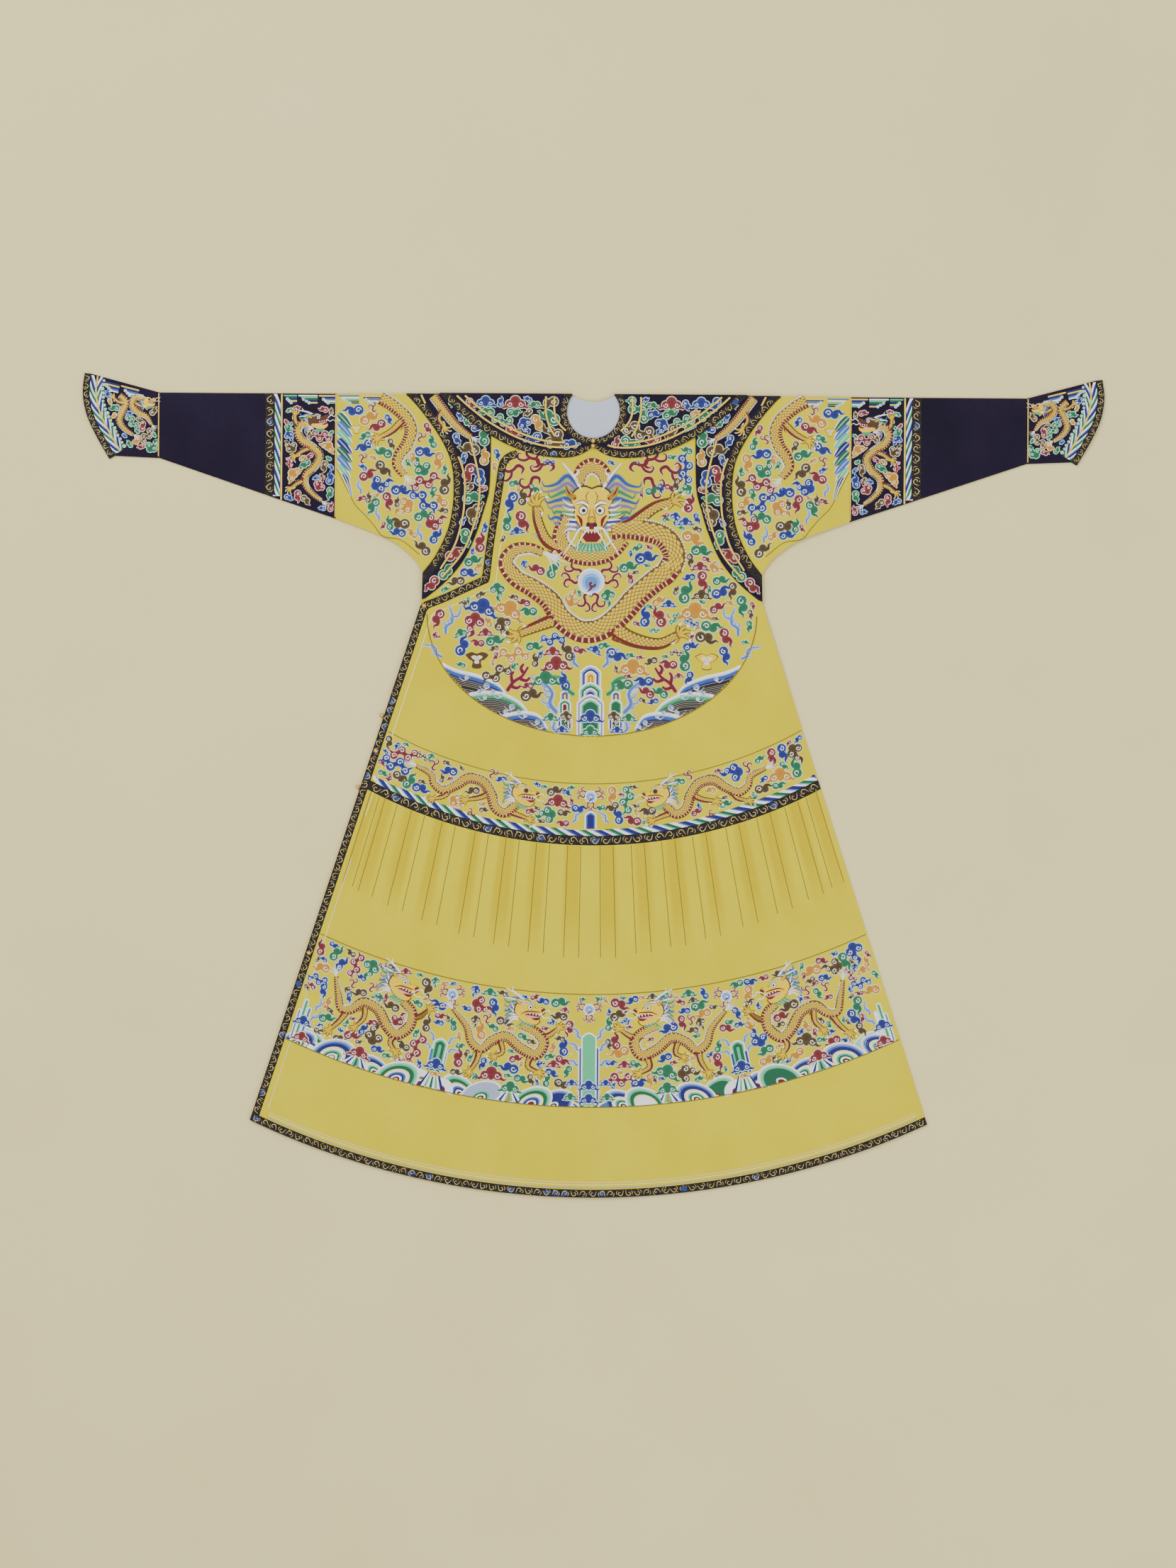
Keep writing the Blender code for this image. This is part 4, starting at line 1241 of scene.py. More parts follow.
# Dragons

@dataclass(frozen=True)
class Limb:
    """A dragon's leg: its knots from the body to the foot, its widths, its claw's turn in degrees and size."""

    knots: tuple[tuple[float, float], ...]
    widths: tuple[float, float]
    claw: float
    size: float = 1.0


@dataclass(frozen=True)
class Dragon:
    """A dragon in couched gold, with red belly bars, a white crest, legs and a tufted tail.

    Attributes:
        spine: knots from the neck to the tail, in the spot's units.
        girth: the body's largest width in the spot's units.
        limbs: its legs.
        belly: which side of the spine the belly is on, 1 for the left of its direction.
        taper: the body's widths along the spine as shares of girth.
        tuft: whether its tail ends in a tuft.
    """

    spine: tuple[tuple[float, float], ...]
    girth: float
    limbs: tuple[Limb, ...]
    belly: int = 1
    taper: tuple[float, ...] = (0.80, 0.95, 1.0, 1.0, 0.95, 0.82, 0.62, 0.35)
    tuft: bool = True

    def room(self, spot: Spot | ArcSpot) -> list[tuple[Points, float]]:
        """The places that the dragon takes, with the room round each."""
        taken = [(spot.at(curve_through(self.spine, 60)), self.girth * spot.size * 0.5 + 2.5)]
        for limb in self.limbs:
            taken.append((spot.at(curve_through(limb.knots, 12)), limb.widths[0] * spot.size * 0.5 + 2))
            taken.append((spot.at([limb.knots[-1]]), 11.5 * limb.size * spot.size * self.girth / 26))
        return taken

    def place(self, work: Needlework, ground: Ground, spot: Spot, less: float = 0.0, level: float = 2.0) -> None:
        """Sews the dragon and takes its room, which is less by so much all round."""
        self.sew(work, spot, level)
        for points, radius in self.room(spot):
            ground.block(points, radius - less)

    def sew(self, work: Needlework, spot: Spot, level: float) -> None:
        """Sews the body, the legs and the tail's tuft."""
        for limb in self.limbs:
            self.sew_limb(work, spot, limb, max(0.5, level - 1.6))
        self.sew_body(work, spot, level)
        if self.tuft:
            self.sew_tuft(work, spot, level)

    def body_line(self, spot: Spot) -> tuple[Points, Points]:
        """The spine's points and its widths, in drawing units."""
        line = spot.at(curve_through(self.spine, 120))
        path = even_steps(line, max(12, int(length_of(line) / 1.6)))
        widths = np.interp(np.linspace(0, 1, len(path)), np.linspace(0, 1, len(self.taper)), self.taper)
        return path, widths * self.girth * spot.size

    def sew_body(self, work: Needlework, spot: Spot, level: float) -> None:
        """The scaled body with its belly bars and its crest."""
        path, widths = self.body_line(spot)
        hand = self.belly * (-1 if spot.flip else 1)
        scaled_strip(work, path, widths, level, hand)
        crest_line(work, path, widths, level, -hand, 0.125 * self.girth * spot.size)

    def sew_limb(self, work: Needlework, spot: Spot, limb: Limb, level: float) -> None:
        """A leg with its scales, its red streak, the tuft at its joint and its claw."""
        line = spot.at(curve_through(limb.knots, 30))
        length = length_of(line)
        path = even_steps(line, max(6, int(length / 1.6)))
        widths = np.linspace(*limb.widths, len(path)) * spot.size
        widths *= 0.72 + 0.28 * smooth(np.linspace(0, 1, len(path)), 0, 0.25)
        k = self.girth * spot.size / 26
        for n, (side, hue) in enumerate(((1, Hue.GREEN), (0.4, Hue.BLUE), (-0.5, Hue.LILAC))):
            at = path[len(path) // 2] * 1.0
            away = side_normals(path)[len(path) // 2] * hand_of(limb)
            back = (path[0] - path[-1]) / max(length, 1)
            tip = at + away * (9 + 2 * n) * k + back * side * 9 * k
            work.stroke([at, at + away * 5 * k + back * side * 2 * k, tip], (3.0 * k, 2.4 * k, 0.3), hue.value[1],
                        level - 0.5, rim=hue.value[0], crown=0.05)
        scaled_strip(work, path, widths, level, 0)
        streak = path + side_normals(path) * widths[:, None] * 0.36 * hand_of(limb)
        knots = streak[:: max(1, len(streak) // 5)]
        if len(knots) > 2:
            work.stroke(knots, (1.0, 3.6 * k, 3.0 * k, 0.8), RED, level + 4.2)
            work.stroke([knots[1], knots[1] + side_normals(path)[1] * 5 * k * hand_of(limb),
                         knots[1] + side_normals(path)[1] * 8 * k * hand_of(limb) + (path[-1] - path[0]) * 0.12],
                        (2.4 * k, 2.0 * k, 0.5), RED, level + 3.9)
        sew_claw(work, path[-1], path[-1] - path[-4], limb.claw, k * limb.size, level + 0.5)

    def sew_tuft(self, work: Needlework, spot: Spot, level: float) -> None:
        """The pale hairs at the end of the tail."""
        path, _ = self.body_line(spot)
        tip, along = path[-2], path[-1] - path[-8]
        along = along / max(math.hypot(*along), 1e-6)
        side = np.array([-along[1], along[0]])
        k = self.girth * spot.size / 26
        for n, share in enumerate((-1.0, -0.62, -0.28, 0.05, 0.35, 0.68, 1.0)):
            long = (34 - 11 * abs(share) + 4 * (n % 2)) * k
            tip_end = tip + along * long + side * share * 19 * k
            work.stroke([tip, tip + along * long * 0.5 + side * share * 4 * k, tip_end],
                        (2.6 * k, 2.4 * k, 0.3), WHITE, level + 0.2 * (n % 2), rim=blend(WHITE, SEPIA, 0.35),
                        crown=0.05)


def hand_of(limb: Limb) -> int:
    """The side on which a leg's joint stands out."""
    a, b, c = (np.array(limb.knots[n]) for n in (0, len(limb.knots) // 2, -1))
    turn = (c[0] - a[0]) * (b[1] - a[1]) - (c[1] - a[1]) * (b[0] - a[0])
    return 1 if turn > 0 else -1


def scaled_strip(work: Needlework, path: Points, widths: Points, level: float, belly: int) -> None:
    """A rounded strip of gold scales with a dark outline, each scale with a painted highlight on one side and painted
    shade on the other, and with red bars along one side if belly says which.
    """
    steps = steps_along(path)
    normal = side_normals(path)
    normal /= np.hypot(*normal.T)[:, None]
    mean = float(widths.mean())
    crown = min(0.55, 0.03 * mean) + 0.08
    work.strip(path, widths + 1.5, SEPIA, level - 0.3)
    base = work.height(level)
    across = np.array([-1, -0.55, 0, 0.55, 1.0])
    n = len(path)
    points = np.vstack([np.column_stack([path + normal * (widths / 2 * q)[:, None],
                                         np.full(n, base + crown * (1 - q * q))]) for q in across])
    tints = np.vstack([np.tile(blend(GOLD_DEEP, SEPIA, 0.2 if abs(q) < 0.9 else 0.8), (n, 1)) for q in across])
    k = np.arange(n - 1)
    faces = np.vstack([np.stack([k + c * n, k + 1 + c * n, k + 1 + (c + 1) * n, k + (c + 1) * n], 1)
                       for c in range(4)])
    work.add(points, tints, faces, True)
    pitch = float(np.clip(mean * 0.34, 3.4, 8.0))
    rows = np.arange(pitch * 0.5, steps[-1] - pitch * 0.3, pitch * 0.56)
    lines = 4 if mean > 18 else 3
    low, high = (-0.96, 0.96) if belly == 0 else ((-0.96, 0.58) if belly > 0 else (-0.58, 0.96))
    dq = (high - low) / lines
    quads = []
    for r, s in enumerate(rows):
        for j in range(lines if r % 2 == 0 else lines - 1):
            quads.append((s, low + dq * (j + 0.5 + 0.5 * (r % 2))))
    if quads:
        # Each gold scale is paler on one side and darker on the other: a painted highlight and painted shade.
        place_cells(work, path, normal, widths, steps, np.array(quads), (pitch * 0.47, dq * 0.40), base + 0.07, crown,
                    (GOLD, blend(GOLD, WHITE, 0.14), GOLD, blend(GOLD, GOLD_DEEP, 0.5)))
    if belly:
        edge = 0.78 * belly
        bar = float(np.clip(mean * 0.28, 3.2, 7.0))
        cells = np.array([(s, edge) for s in np.arange(bar * 0.5, steps[-1] - bar, bar)])
        place_cells(work, path, normal, widths, steps, cells, (bar * 0.60, 0.25), base + 0.05, crown,
                    (blend(GOLD, WHITE, 0.35),) * 4, square=True)
        place_cells(work, path, normal, widths, steps, cells, (bar * 0.38, 0.24), base + 0.12, crown,
                    (RED,) * 4, square=True)


def place_cells(work: Needlework, path: Points, normal: Points, widths: Points, steps: Points, cells: Points,
                half: tuple[float, float], base: float, crown: float, tints: Sequence[Colour],
                square: bool = False) -> None:
    """Small four-sided stitches on a rounded strip.

    Args:
        work: what they are sewn with.
        path: the strip's points.
        normal: its side directions.
        widths: its widths.
        steps: the distance along it of each point.
        cells: how far along and across each stitch is, the latter from -1 to 1.
        half: half a stitch's length, and half its width as a share of half the strip's.
        base: the height of the strip's edge.
        crown: how much its middle rises.
        tints: the colours of the stitch's four points.
        square: whether it is a bar across the strip and not a diamond.
    """
    ahead, aside = half
    corners = ((-ahead, -aside), (-ahead, aside), (ahead, aside), (ahead, -aside)) if square else \
        ((-ahead, 0.0), (0.0, aside), (ahead * 0.85, 0.0), (0.0, -aside))
    found = []
    for ds, dq in corners:
        s = np.clip(cells[:, 0] + ds, 0, steps[-1])
        q = np.clip(cells[:, 1] + dq, -1, 1)
        x = np.interp(s, steps, path[:, 0]) + np.interp(s, steps, normal[:, 0] * widths / 2) * q
        y = np.interp(s, steps, path[:, 1]) + np.interp(s, steps, normal[:, 1] * widths / 2) * q
        found.append(np.column_stack([x, y, base + crown * (1 - q * q)]))
    points = np.stack(found, 1).reshape(-1, 3)
    colours = np.tile(np.array(tints), (len(cells), 1))
    work.add(points, colours, np.arange(len(points)).reshape(-1, 4), not square)


def crest_line(work: Needlework, path: Points, widths: Points, level: float, side: int, size: float) -> None:
    """The white crest of small fins along a dragon's back."""
    steps = steps_along(path)
    normal = side_normals(path)
    size = max(1.4, min(size, 3.0))
    for n, s in enumerate(np.arange(size, steps[-1] - size, size * 1.05)):
        x, y = (np.interp(s, steps, path[:, k]) for k in (0, 1))
        out = np.array([np.interp(s, steps, normal[:, k]) for k in (0, 1)]) * side
        half = np.interp(s, steps, widths) / 2
        along = np.array([out[1], -out[0]]) * side
        foot = np.array([x, y]) + out * (half - 0.3)
        tip = foot + out * size * 1.15 + along * size * 0.5
        work.stroke([foot - out * 0.4, foot + out * size * 0.6, tip], (size * 0.85, size * 0.8, size * 0.2),
                    blend(WHITE, GOLD, 0.12), level - 0.2 + 0.1 * (n % 2), crown=0.04, rim=blend(WHITE, SEPIA, 0.4),
                    pitch=2.4)


def sew_claw(work: Needlework, at: Points, along: Points, lean: float, size: float, level: float) -> None:
    """A five-toed claw at a point.

    Args:
        work: what it is sewn with.
        at: the foot, in drawing units.
        along: the direction of the leg there.
        lean: how far in degrees the claw turns from the leg.
        size: its scale.
        level: its layer.
    """
    heading = math.atan2(along[1], along[0]) + math.radians(lean)
    size = size * 1.45
    for n, (spread, long) in enumerate(((-1.25, 8.5), (-0.55, 10.5), (0.05, 11.5), (0.65, 10.5), (2.3, 7.5))):
        a = heading + spread
        d, e = np.array([math.cos(a), math.sin(a)]), np.array([math.cos(a + 0.5), math.sin(a + 0.5)])
        knee = at + d * long * 0.62 * size
        tip = knee + e * long * 0.42 * size
        toe = [at, at + d * long * 0.3 * size, knee, tip]
        work.stroke(toe, (3.9 * size + 1, 3.2 * size + 1, 2.9 * size + 1, 1.6 * size + 1), SEPIA, level - 0.2)
        work.stroke(toe, (4.0 * size, 3.2 * size, 2.8 * size, 1.6 * size), GOLD, level + 0.05 * n, crown=0.2,
                    rim=GOLD_DEEP, gilt=True)
        hook = tip + (e * 0.8 + np.array([-e[1], e[0]]) * 0.5) * 3.4 * size
        work.stroke([tip - e * 0.6 * size, hook], (2.6 * size, 0.4), WHITE, level + 0.9)
    work.dot(*at, 3.3 * size, GOLD, level + 0.3, crown=0.25, rim=GOLD_DEEP, gilt=True)


def sew_front_head(work: Needlework, spot: Spot, level: float) -> None:
    """A dragon's head from the front, one unit half as wide as the face."""
    def both(points: Sequence[tuple[float, float]]) -> list[list[tuple[float, float]]]:
        """The points, and the same ones on the other side."""
        return [list(points), [(-x, y) for x, y in points]]

    for k in range(8):
        hue = (Hue.BLUE, Hue.LILAC, Hue.GREEN)[k % 3]
        y = -0.98 + 0.19 * k
        reach = 1.62 - 0.05 * k + 0.10 * math.sin(2.3 * k)
        for line in both([(0.42, y + 0.1), (0.82, y - 0.34 + 0.07 * k), (1.22, y - 0.06), (reach, y + 0.02),
                          (reach + 0.10, y - 0.16)]):
            work.stroke(line, (0.20, 0.19, 0.15, 0.10, 0.02), blend(*hue.value, 0.05), level - 1.6 + 0.12 * (k % 2),
                        spot, crown=0.08, rim=blend(*hue.value, 0.45))
    for line in both([(0.34, -0.80), (0.58, -1.25), (1.02, -1.78)]):
        work.stroke(line, (0.14, 0.11, 0.05), WHITE, level - 0.8, spot, crown=0.15, rim=blend(WHITE, SEPIA, 0.3))
    for line in both([(0.62, -1.30), (0.50, -1.40), (0.46, -1.56)]):
        work.stroke(line, (0.10, 0.08, 0.04), WHITE, level - 0.75, spot, crown=0.1)
    for k in range(6):
        y = -0.32 + 0.17 * k
        for line in both([(0.52, y), (0.80, y - 0.02), (1.02, y - 0.22 + 0.07 * k)]):
            work.stroke(line, (0.085, 0.07, 0.01), WHITE, level - 0.55, spot, crown=0.05,
                        rim=blend(WHITE, SEPIA, 0.2))
    for line in both([(0.55, -0.52), (0.78, -0.72), (0.90, -0.98)]):
        work.stroke(line, (0.24, 0.2, 0.04), GOLD, level - 0.3, spot, crown=0.15, rim=GOLD_DEEP, gilt=True)
        work.stroke(line, (0.10, 0.08, 0.02), RED, level + 0.6, spot)
    right = [(0, -0.86), (0.28, -0.94), (0.58, -0.78), (0.70, -0.48), (0.56, -0.20), (0.60, 0.06), (0.44, 0.34),
             (0.33, 0.52), (0.40, 0.82), (0.26, 1.02), (0, 1.08)]
    face = right + [(-x, y) for x, y in reversed(right[1:-1])]
    work.patch(face, SEPIA, level - 0.1, spot, rounded=60, grow=1.07)
    work.patch(face, GOLD, level, spot, rounded=60, gilt=True)
    for line in both([(0.10, -0.80), (0.20, -0.62), (0.14, -0.42)]):
        work.stroke(line, (0.02, 0.05, 0.02), GOLD_DEEP, level + 0.5, spot)
    for line in both([(0.10, -0.28), (0.32, -0.42), (0.60, -0.34)]):
        work.stroke(line, (0.14, 0.16, 0.04), RED, level + 0.5, spot)
        work.stroke(line, (0.08, 0.10, 0.02), WHITE, level + 1.0, spot)
    for x in (-0.29, 0.29):
        work.dot(x, -0.14, 0.165, SEPIA, level + 0.6, spot)
        work.dot(x, -0.14, 0.135, WHITE, level + 1.0, spot, crown=0.1)
        work.dot(x * 0.95, -0.13, 0.065, INK, level + 2.2, spot)
    work.dot(0, 0.20, 0.15, GOLD, level + 0.7, spot, crown=0.3, rim=GOLD_DEEP, gilt=True)
    for line in both([(0.04, -0.2), (0.09, 0.02), (0.14, 0.16)]):
        work.stroke(line, (0.02, 0.04, 0.03), GOLD_DEEP, level + 0.6, spot)
    work.dot(0, 0.36, 0.19, RED, level + 0.6, spot, crown=0.2, squash=0.8)
    for x in (-0.12, 0.12):
        work.dot(x, 0.36, 0.055, INK, level + 2.4, spot)
    for line in both([(0.52, 0.02), (0.38, 0.18), (0.34, 0.42)]):
        work.stroke(line, (0.03, 0.12, 0.05), RED, level + 0.5, spot)
    work.patch([(-0.29, 0.56), (0.29, 0.56), (0.32, 0.80), (0.18, 0.95), (-0.18, 0.95), (-0.32, 0.80)], RED,
               level + 0.7, spot)
    work.patch([(-0.16, 0.70), (0.16, 0.70), (0.12, 0.88), (-0.12, 0.88)], PALE_RED, level + 1.1, spot)
    for x in np.linspace(-0.22, 0.22, 5):
        work.patch([(x - 0.045, 0.56), (x + 0.045, 0.56), (x, 0.66)], WHITE, level + 1.5, spot)
    for k, x in enumerate(np.linspace(-0.42, 0.42, 9)):
        work.stroke([(x * 0.8, 0.98), (x * 1.3, 1.18), (x * 1.5 + 0.08 * math.sin(3 * k), 1.42 - abs(x) * 0.3)],
                    (0.12, 0.11, 0.02), DEEP_GREEN, level - 0.3 + 0.2 * (k % 2), spot, crown=0.05, rim=PALE_GREEN)
    for line in both([(0.08, 0.46), (0.40, 0.50), (0.62, 0.86), (0.98, 1.42)]):
        work.stroke(line, (0.07, 0.07, 0.05, 0.02), WHITE, level + 2.0, spot)
    for line in both([(0.10, 0.48), (0.26, 0.66), (0.44, 0.96), (0.50, 1.26)]):
        work.stroke(line, (0.06, 0.05, 0.04, 0.02), WHITE, level + 2.1, spot)


def sew_side_head(work: Needlework, spot: Spot, level: float) -> None:
    """A dragon's head from the side, facing -x, one unit as long as its face."""
    for k in range(6):
        hue = (Hue.BLUE, Hue.GREEN, Hue.LILAC)[k % 3]
        y = -0.26 + 0.12 * k
        reach = 1.02 - 0.05 * abs(k - 1)
        work.stroke([(0.30, y), (0.60, y - 0.10), (0.84, y + 0.04 * k - 0.04), (reach, y + 0.09 * k - 0.16),
                     (reach - 0.02, y + 0.09 * k - 0.26)],
                    (0.14, 0.14, 0.11, 0.07, 0.02), hue.value[0], level - 1.4 + 0.15 * (k % 2), spot, crown=0.06,
                    rim=blend(*hue.value, 0.6))
    for lean in (0.0, 0.20):
        work.stroke([(0.20, -0.28), (0.55, -0.50 + lean), (1.05, -0.66 + lean * 1.8)], (0.10, 0.08, 0.04), WHITE,
                    level - 0.5 + lean, spot, crown=0.1, rim=blend(WHITE, SEPIA, 0.3))
    work.stroke([(0.62, -0.50), (0.78, -0.62), (0.82, -0.76)], (0.06, 0.05, 0.02), WHITE, level - 0.3, spot)
    for k in range(5):
        y = 0.02 + 0.10 * k
        work.stroke([(0.34, y), (0.56, y + 0.04), (0.78, y + 0.14 * (k - 1.6))], (0.09, 0.07, 0.01), WHITE,
                    level - 0.35, spot, rim=blend(WHITE, SEPIA, 0.2), crown=0.04)
    for k in range(4):
        x = -0.26 + 0.13 * k
        work.stroke([(x, 0.44), (x + 0.10, 0.58), (x + 0.24, 0.70)], (0.09, 0.08, 0.01), DEEP_GREEN,
                    level - 0.3, spot, rim=PALE_GREEN, crown=0.04)
    jaw = [(0.34, 0.16), (0.12, 0.20), (-0.10, 0.27), (-0.30, 0.32), (-0.44, 0.27), (-0.40, 0.42), (-0.22, 0.50),
           (0.06, 0.48), (0.30, 0.38), (0.46, 0.22)]
    skull = [(-0.56, -0.04), (-0.52, -0.17), (-0.38, -0.20), (-0.22, -0.13), (-0.08, -0.26), (0.12, -0.36),
             (0.38, -0.30), (0.54, -0.08), (0.52, 0.18), (0.34, 0.26), (0.14, 0.18), (-0.06, 0.08), (-0.28, 0.06),
             (-0.46, 0.09)]
    work.patch([(-0.46, 0.06), (0.10, 0.10), (0.24, 0.20), (-0.10, 0.32), (-0.42, 0.34)], RED, level, spot)
    for shape in (jaw, skull):
        work.patch(shape, SEPIA, level + 0.2, spot, rounded=44, grow=1.09)
        work.patch(shape, GOLD, level + 0.4, spot, rounded=44, gilt=True)
    work.stroke([(0.10, 0.24), (-0.14, 0.22), (-0.40, 0.18)], (0.10, 0.08, 0.02), PALE_RED, level + 1, spot)
    for x in (-0.40, -0.28, -0.16, -0.04):
        work.patch([(x - 0.035, 0.07 + 0.02 * (x + 0.4)), (x + 0.035, 0.07), (x, 0.16)], WHITE, level + 1.2, spot)
    work.stroke([(-0.40, -0.02), (-0.20, 0.0), (0.10, 0.06), (0.30, 0.20)], (0.03, 0.05, 0.05, 0.02), RED,
                level + 1.2, spot)
    work.dot(0.00, -0.13, 0.105, SEPIA, level + 0.9, spot)
    work.dot(0.00, -0.13, 0.085, WHITE, level + 1.3, spot)
    work.dot(-0.01, -0.13, 0.04, INK, level + 1.7, spot)
    work.stroke([(-0.14, -0.22), (0.05, -0.30), (0.26, -0.24), (0.40, -0.30)], (0.04, 0.08, 0.07, 0.02),
                DEEP_GREEN, level + 1.4, spot, rim=WHITE, crown=0.04)
    work.stroke([(0.36, -0.16), (0.52, -0.26), (0.66, -0.38)], (0.14, 0.12, 0.02), GOLD, level + 1.0, spot,
                rim=RED, crown=0.1)
    work.dot(-0.50, -0.10, 0.075, RED, level + 1.3, spot, crown=0.1)
    for line in ([(-0.50, -0.04), (-0.70, -0.16), (-0.84, -0.06), (-1.0, -0.20)],
                 [(-0.42, 0.02), (-0.60, 0.16), (-0.76, 0.10), (-0.92, 0.24)]):
        work.stroke(line, (0.045, 0.04, 0.03, 0.015), WHITE, level + 1.6, spot, pitch=1.2)


def sew_flames(work: Needlework, spot: Spot, level: float = 1.0) -> None:
    """A curling red flame, about sixteen drawing units long at size one."""
    for line, wide in (([(0, 0), (4.0, 2.0), (6.6, -1.8), (3.4, -6.0), (3.0, -10.4), (7.4, -12.6), (10.2, -9.8),
                         (8.2, -7.8)], (0.5, 2.2, 2.6, 2.3, 2.2, 1.9, 1.4, 0.5)),
                       ([(3.2, -6.4), (-1.4, -7.8), (-4.0, -11.6), (-1.4, -14.6), (0.4, -12.6)],
                        (1.6, 2.1, 1.8, 1.3, 0.4))):
        work.stroke(line, wide, blend(PALE_RED, PALE, 0.45), max(0.0, level - 1), spot, spread=1.3)
        work.stroke(line, wide, RED, level, spot)


def sew_pearl(work: Needlework, spot: Spot, level: float) -> None:
    """A flaming pearl of one unit radius, ringed in pale blue, with flames at its sides."""
    work.dot(0, 0, 1.12, WHITE, level, spot)
    for n, (r, shade) in enumerate(((0.95, blend(WHITE, PALE_BLUE, 0.5)), (0.74, PALE_BLUE),
                                    (0.52, blend(PALE_BLUE, DEEP_BLUE, 0.45)), (0.34, WHITE))):
        work.dot(0, 0.05 * n, r, shade, level + 0.35 * (n + 1), spot)
    work.curl(0.05, 0.18, 0.30, 1, RED, level + 2.2, spot, 0.16 * spot.size, 0.8)
    work.stroke([(0.05, 0.35), (-0.05, 0.62), (-0.35, 0.86)], (0.2, 0.16, 0.03), RED, level + 2.3, spot)
    for a in map(math.radians, (200, -20, 90)):
        for lean in (-24, 26):
            turn = math.degrees(math.atan2(math.sin(a), math.cos(a))) + 90 + lean
            sew_flames(work, spot.near(1.3 * math.cos(a), 1.3 * math.sin(a), 0.085 * spot.size, turn, lean < 0),
                       level)


# Cloth

BLACK = Brocade()
BRASS = Gilt()
BACK_SHARES = np.linspace(-1, 1, 41)
FRONT_SHARES = np.unique(np.round(np.concatenate([np.linspace(-1, 1, 121)] + [
    np.array([c - h - 0.004, c - h - 0.002, c - h, c, c + h, c + h + 0.002, c + h + 0.004]) for c, h in PLEATS]), 5))
FRONT_SHARES = FRONT_SHARES[np.abs(FRONT_SHARES) <= 1]


def moved_in(path: Points, distance: float) -> Points:
    """A path moved to its left."""
    return path + side_normals(path) * distance


def lay_down(made: bpy.types.Object, node: str) -> bpy.types.Object:
    """Hides the solid that a sheet stands for.

    Args:
        made: the sheet.
        node: the solid's name.

    Returns:
        The sheet.
    """
    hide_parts(node)
    return made


def outline_area(outline: Points) -> float:
    """The area of a closed outline."""
    x, y = outline.T
    return abs(float((x * np.roll(y, -1) - np.roll(x, -1) * y).sum())) / 2


def plan_cut(plan: Points) -> tuple[tuple[float, float], float]:
    """The width, length and area of the cloth cut for a grid of plan points, measured along its rows and columns."""
    rows = np.sqrt((np.diff(plan, axis=1) ** 2).sum(2)).sum(1)
    columns = np.sqrt((np.diff(plan, axis=0) ** 2).sum(2)).sum(0)
    rim = np.vstack([plan[0], plan[1:, -1], plan[-1, -2::-1], plan[-2:0:-1, 0]])
    return (float(rows.max()), float(columns.max())), outline_area(rim)


def worn(x: Points, y: Points) -> Points:
    """The slight unevenness of cloth that lies under other cloth."""
    return 0.00025 * (np.sin(23 * x + 5 * y) * np.sin(17 * y - 3 * x) + 1)


def back_floor(x: Points, y: Points) -> Points:
    """The underside of the back."""
    return lift(x, y) + worn(x, y)


def back_top(x: Points, y: Points) -> Points:
    """The upper side of the back."""
    return lift(x, y) + WALL


def inner_top(x: Points, y: Points) -> Points:
    """The upper side of the inner front."""
    return inner_floor(x, y) + WALL - worn(x, y) * 0.8


def cut_panel(node: str, outline: Points, surfaces: tuple[Surface, Surface], finish: Silk, slot: str, step: float) -> bpy.types.Object:
    """A sheet filled in from its outline, with its solid hidden.

    Args:
        node: the solid that it stands for.
        outline: its cut.
        surfaces: its underside and its upper side.
        finish: its cloth.
        slot: the cloth's slot; not used.
        step: how far apart its inner points lie.

    Returns:
        The sheet.
    """
    made = panel(f"{node}_silk", outline, *surfaces, finish, slot, step)
    return lay_down(made, node)


def cut_band(node: str, plan: Points, surfaces: tuple[Surface, Surface], finish: Silk | Brocade, slot: str) -> bpy.types.Object:
    """A sheet on rows of plan points, with its solid hidden. It takes what cut_panel takes."""
    made = laid(f"{node}_silk", plan, *surfaces, finish, slot)
    return lay_down(made, node)


@dataclass
class Back:
    """The plain back of the robe: body, waistband and skirt, edged as the front is, and the lining at the neck."""

    body_step: float = 0.024
    lining_step: float = 0.006
    rows: int = 16

    def body_outline(self) -> Points:
        """The back body's cut, down to its waistband."""
        foot = lower(BAND_TOP_ARC, -SEAM)
        left = np.vstack([armhole(24) - (SEAM, 0), side_line(-0.385, foot, 9)])
        return np.vstack([back_neck(13), left, row_across(foot, BACK_SHARES)[::-1][1:-1], mirrored(left)])

    def lining_outline(self) -> Points:
        """The neck lining's cut."""
        half = neck_cut(16, 2 * GAP)
        line = np.vstack([back_neck(13)[::-1] - (0, 2 * GAP), half[::-1] * (-1, 1), half[1:]])
        line[:, 1] = np.minimum(line[:, 1], -2 * GAP)
        return line

    def make(self) -> list[bpy.types.Object]:
        """Builds the back's pieces."""
        made = [cut_panel("back_body", self.body_outline(), (back_floor, back_top), YELLOW, "yellow_silk",
                          self.body_step),
                cut_panel("neck_lining", self.lining_outline(), (inner_floor, inner_top), LINING, "blue_lining",
                          self.lining_step)]
        bands = (("back_waistband", lower(BAND_TOP_ARC, SEAM), lower(WAIST_TRIM_TOP_ARC, -GAP), 5, YELLOW),
                 ("back_waist_trim", WAIST_TRIM_TOP_ARC, WAIST_TRIM_FOOT_ARC, 3, BLACK),
                 ("back_skirt", SKIRT_TOP_ARC, SKIRT_FOOT_ARC, self.rows, YELLOW),
                 ("back_hem_trim", lower(HEM_ARC, -HEM_TRIM_WIDTH), HEM_ARC, 3, BLACK))
        for node, top, foot, rows, finish in bands:
            plan = rows_between(top, foot, rows, BACK_SHARES)
            slot = "black_brocade" if finish is BLACK else "yellow_silk"
            made.append(cut_band(node, plan, (back_floor, back_top), finish, slot))
        return made


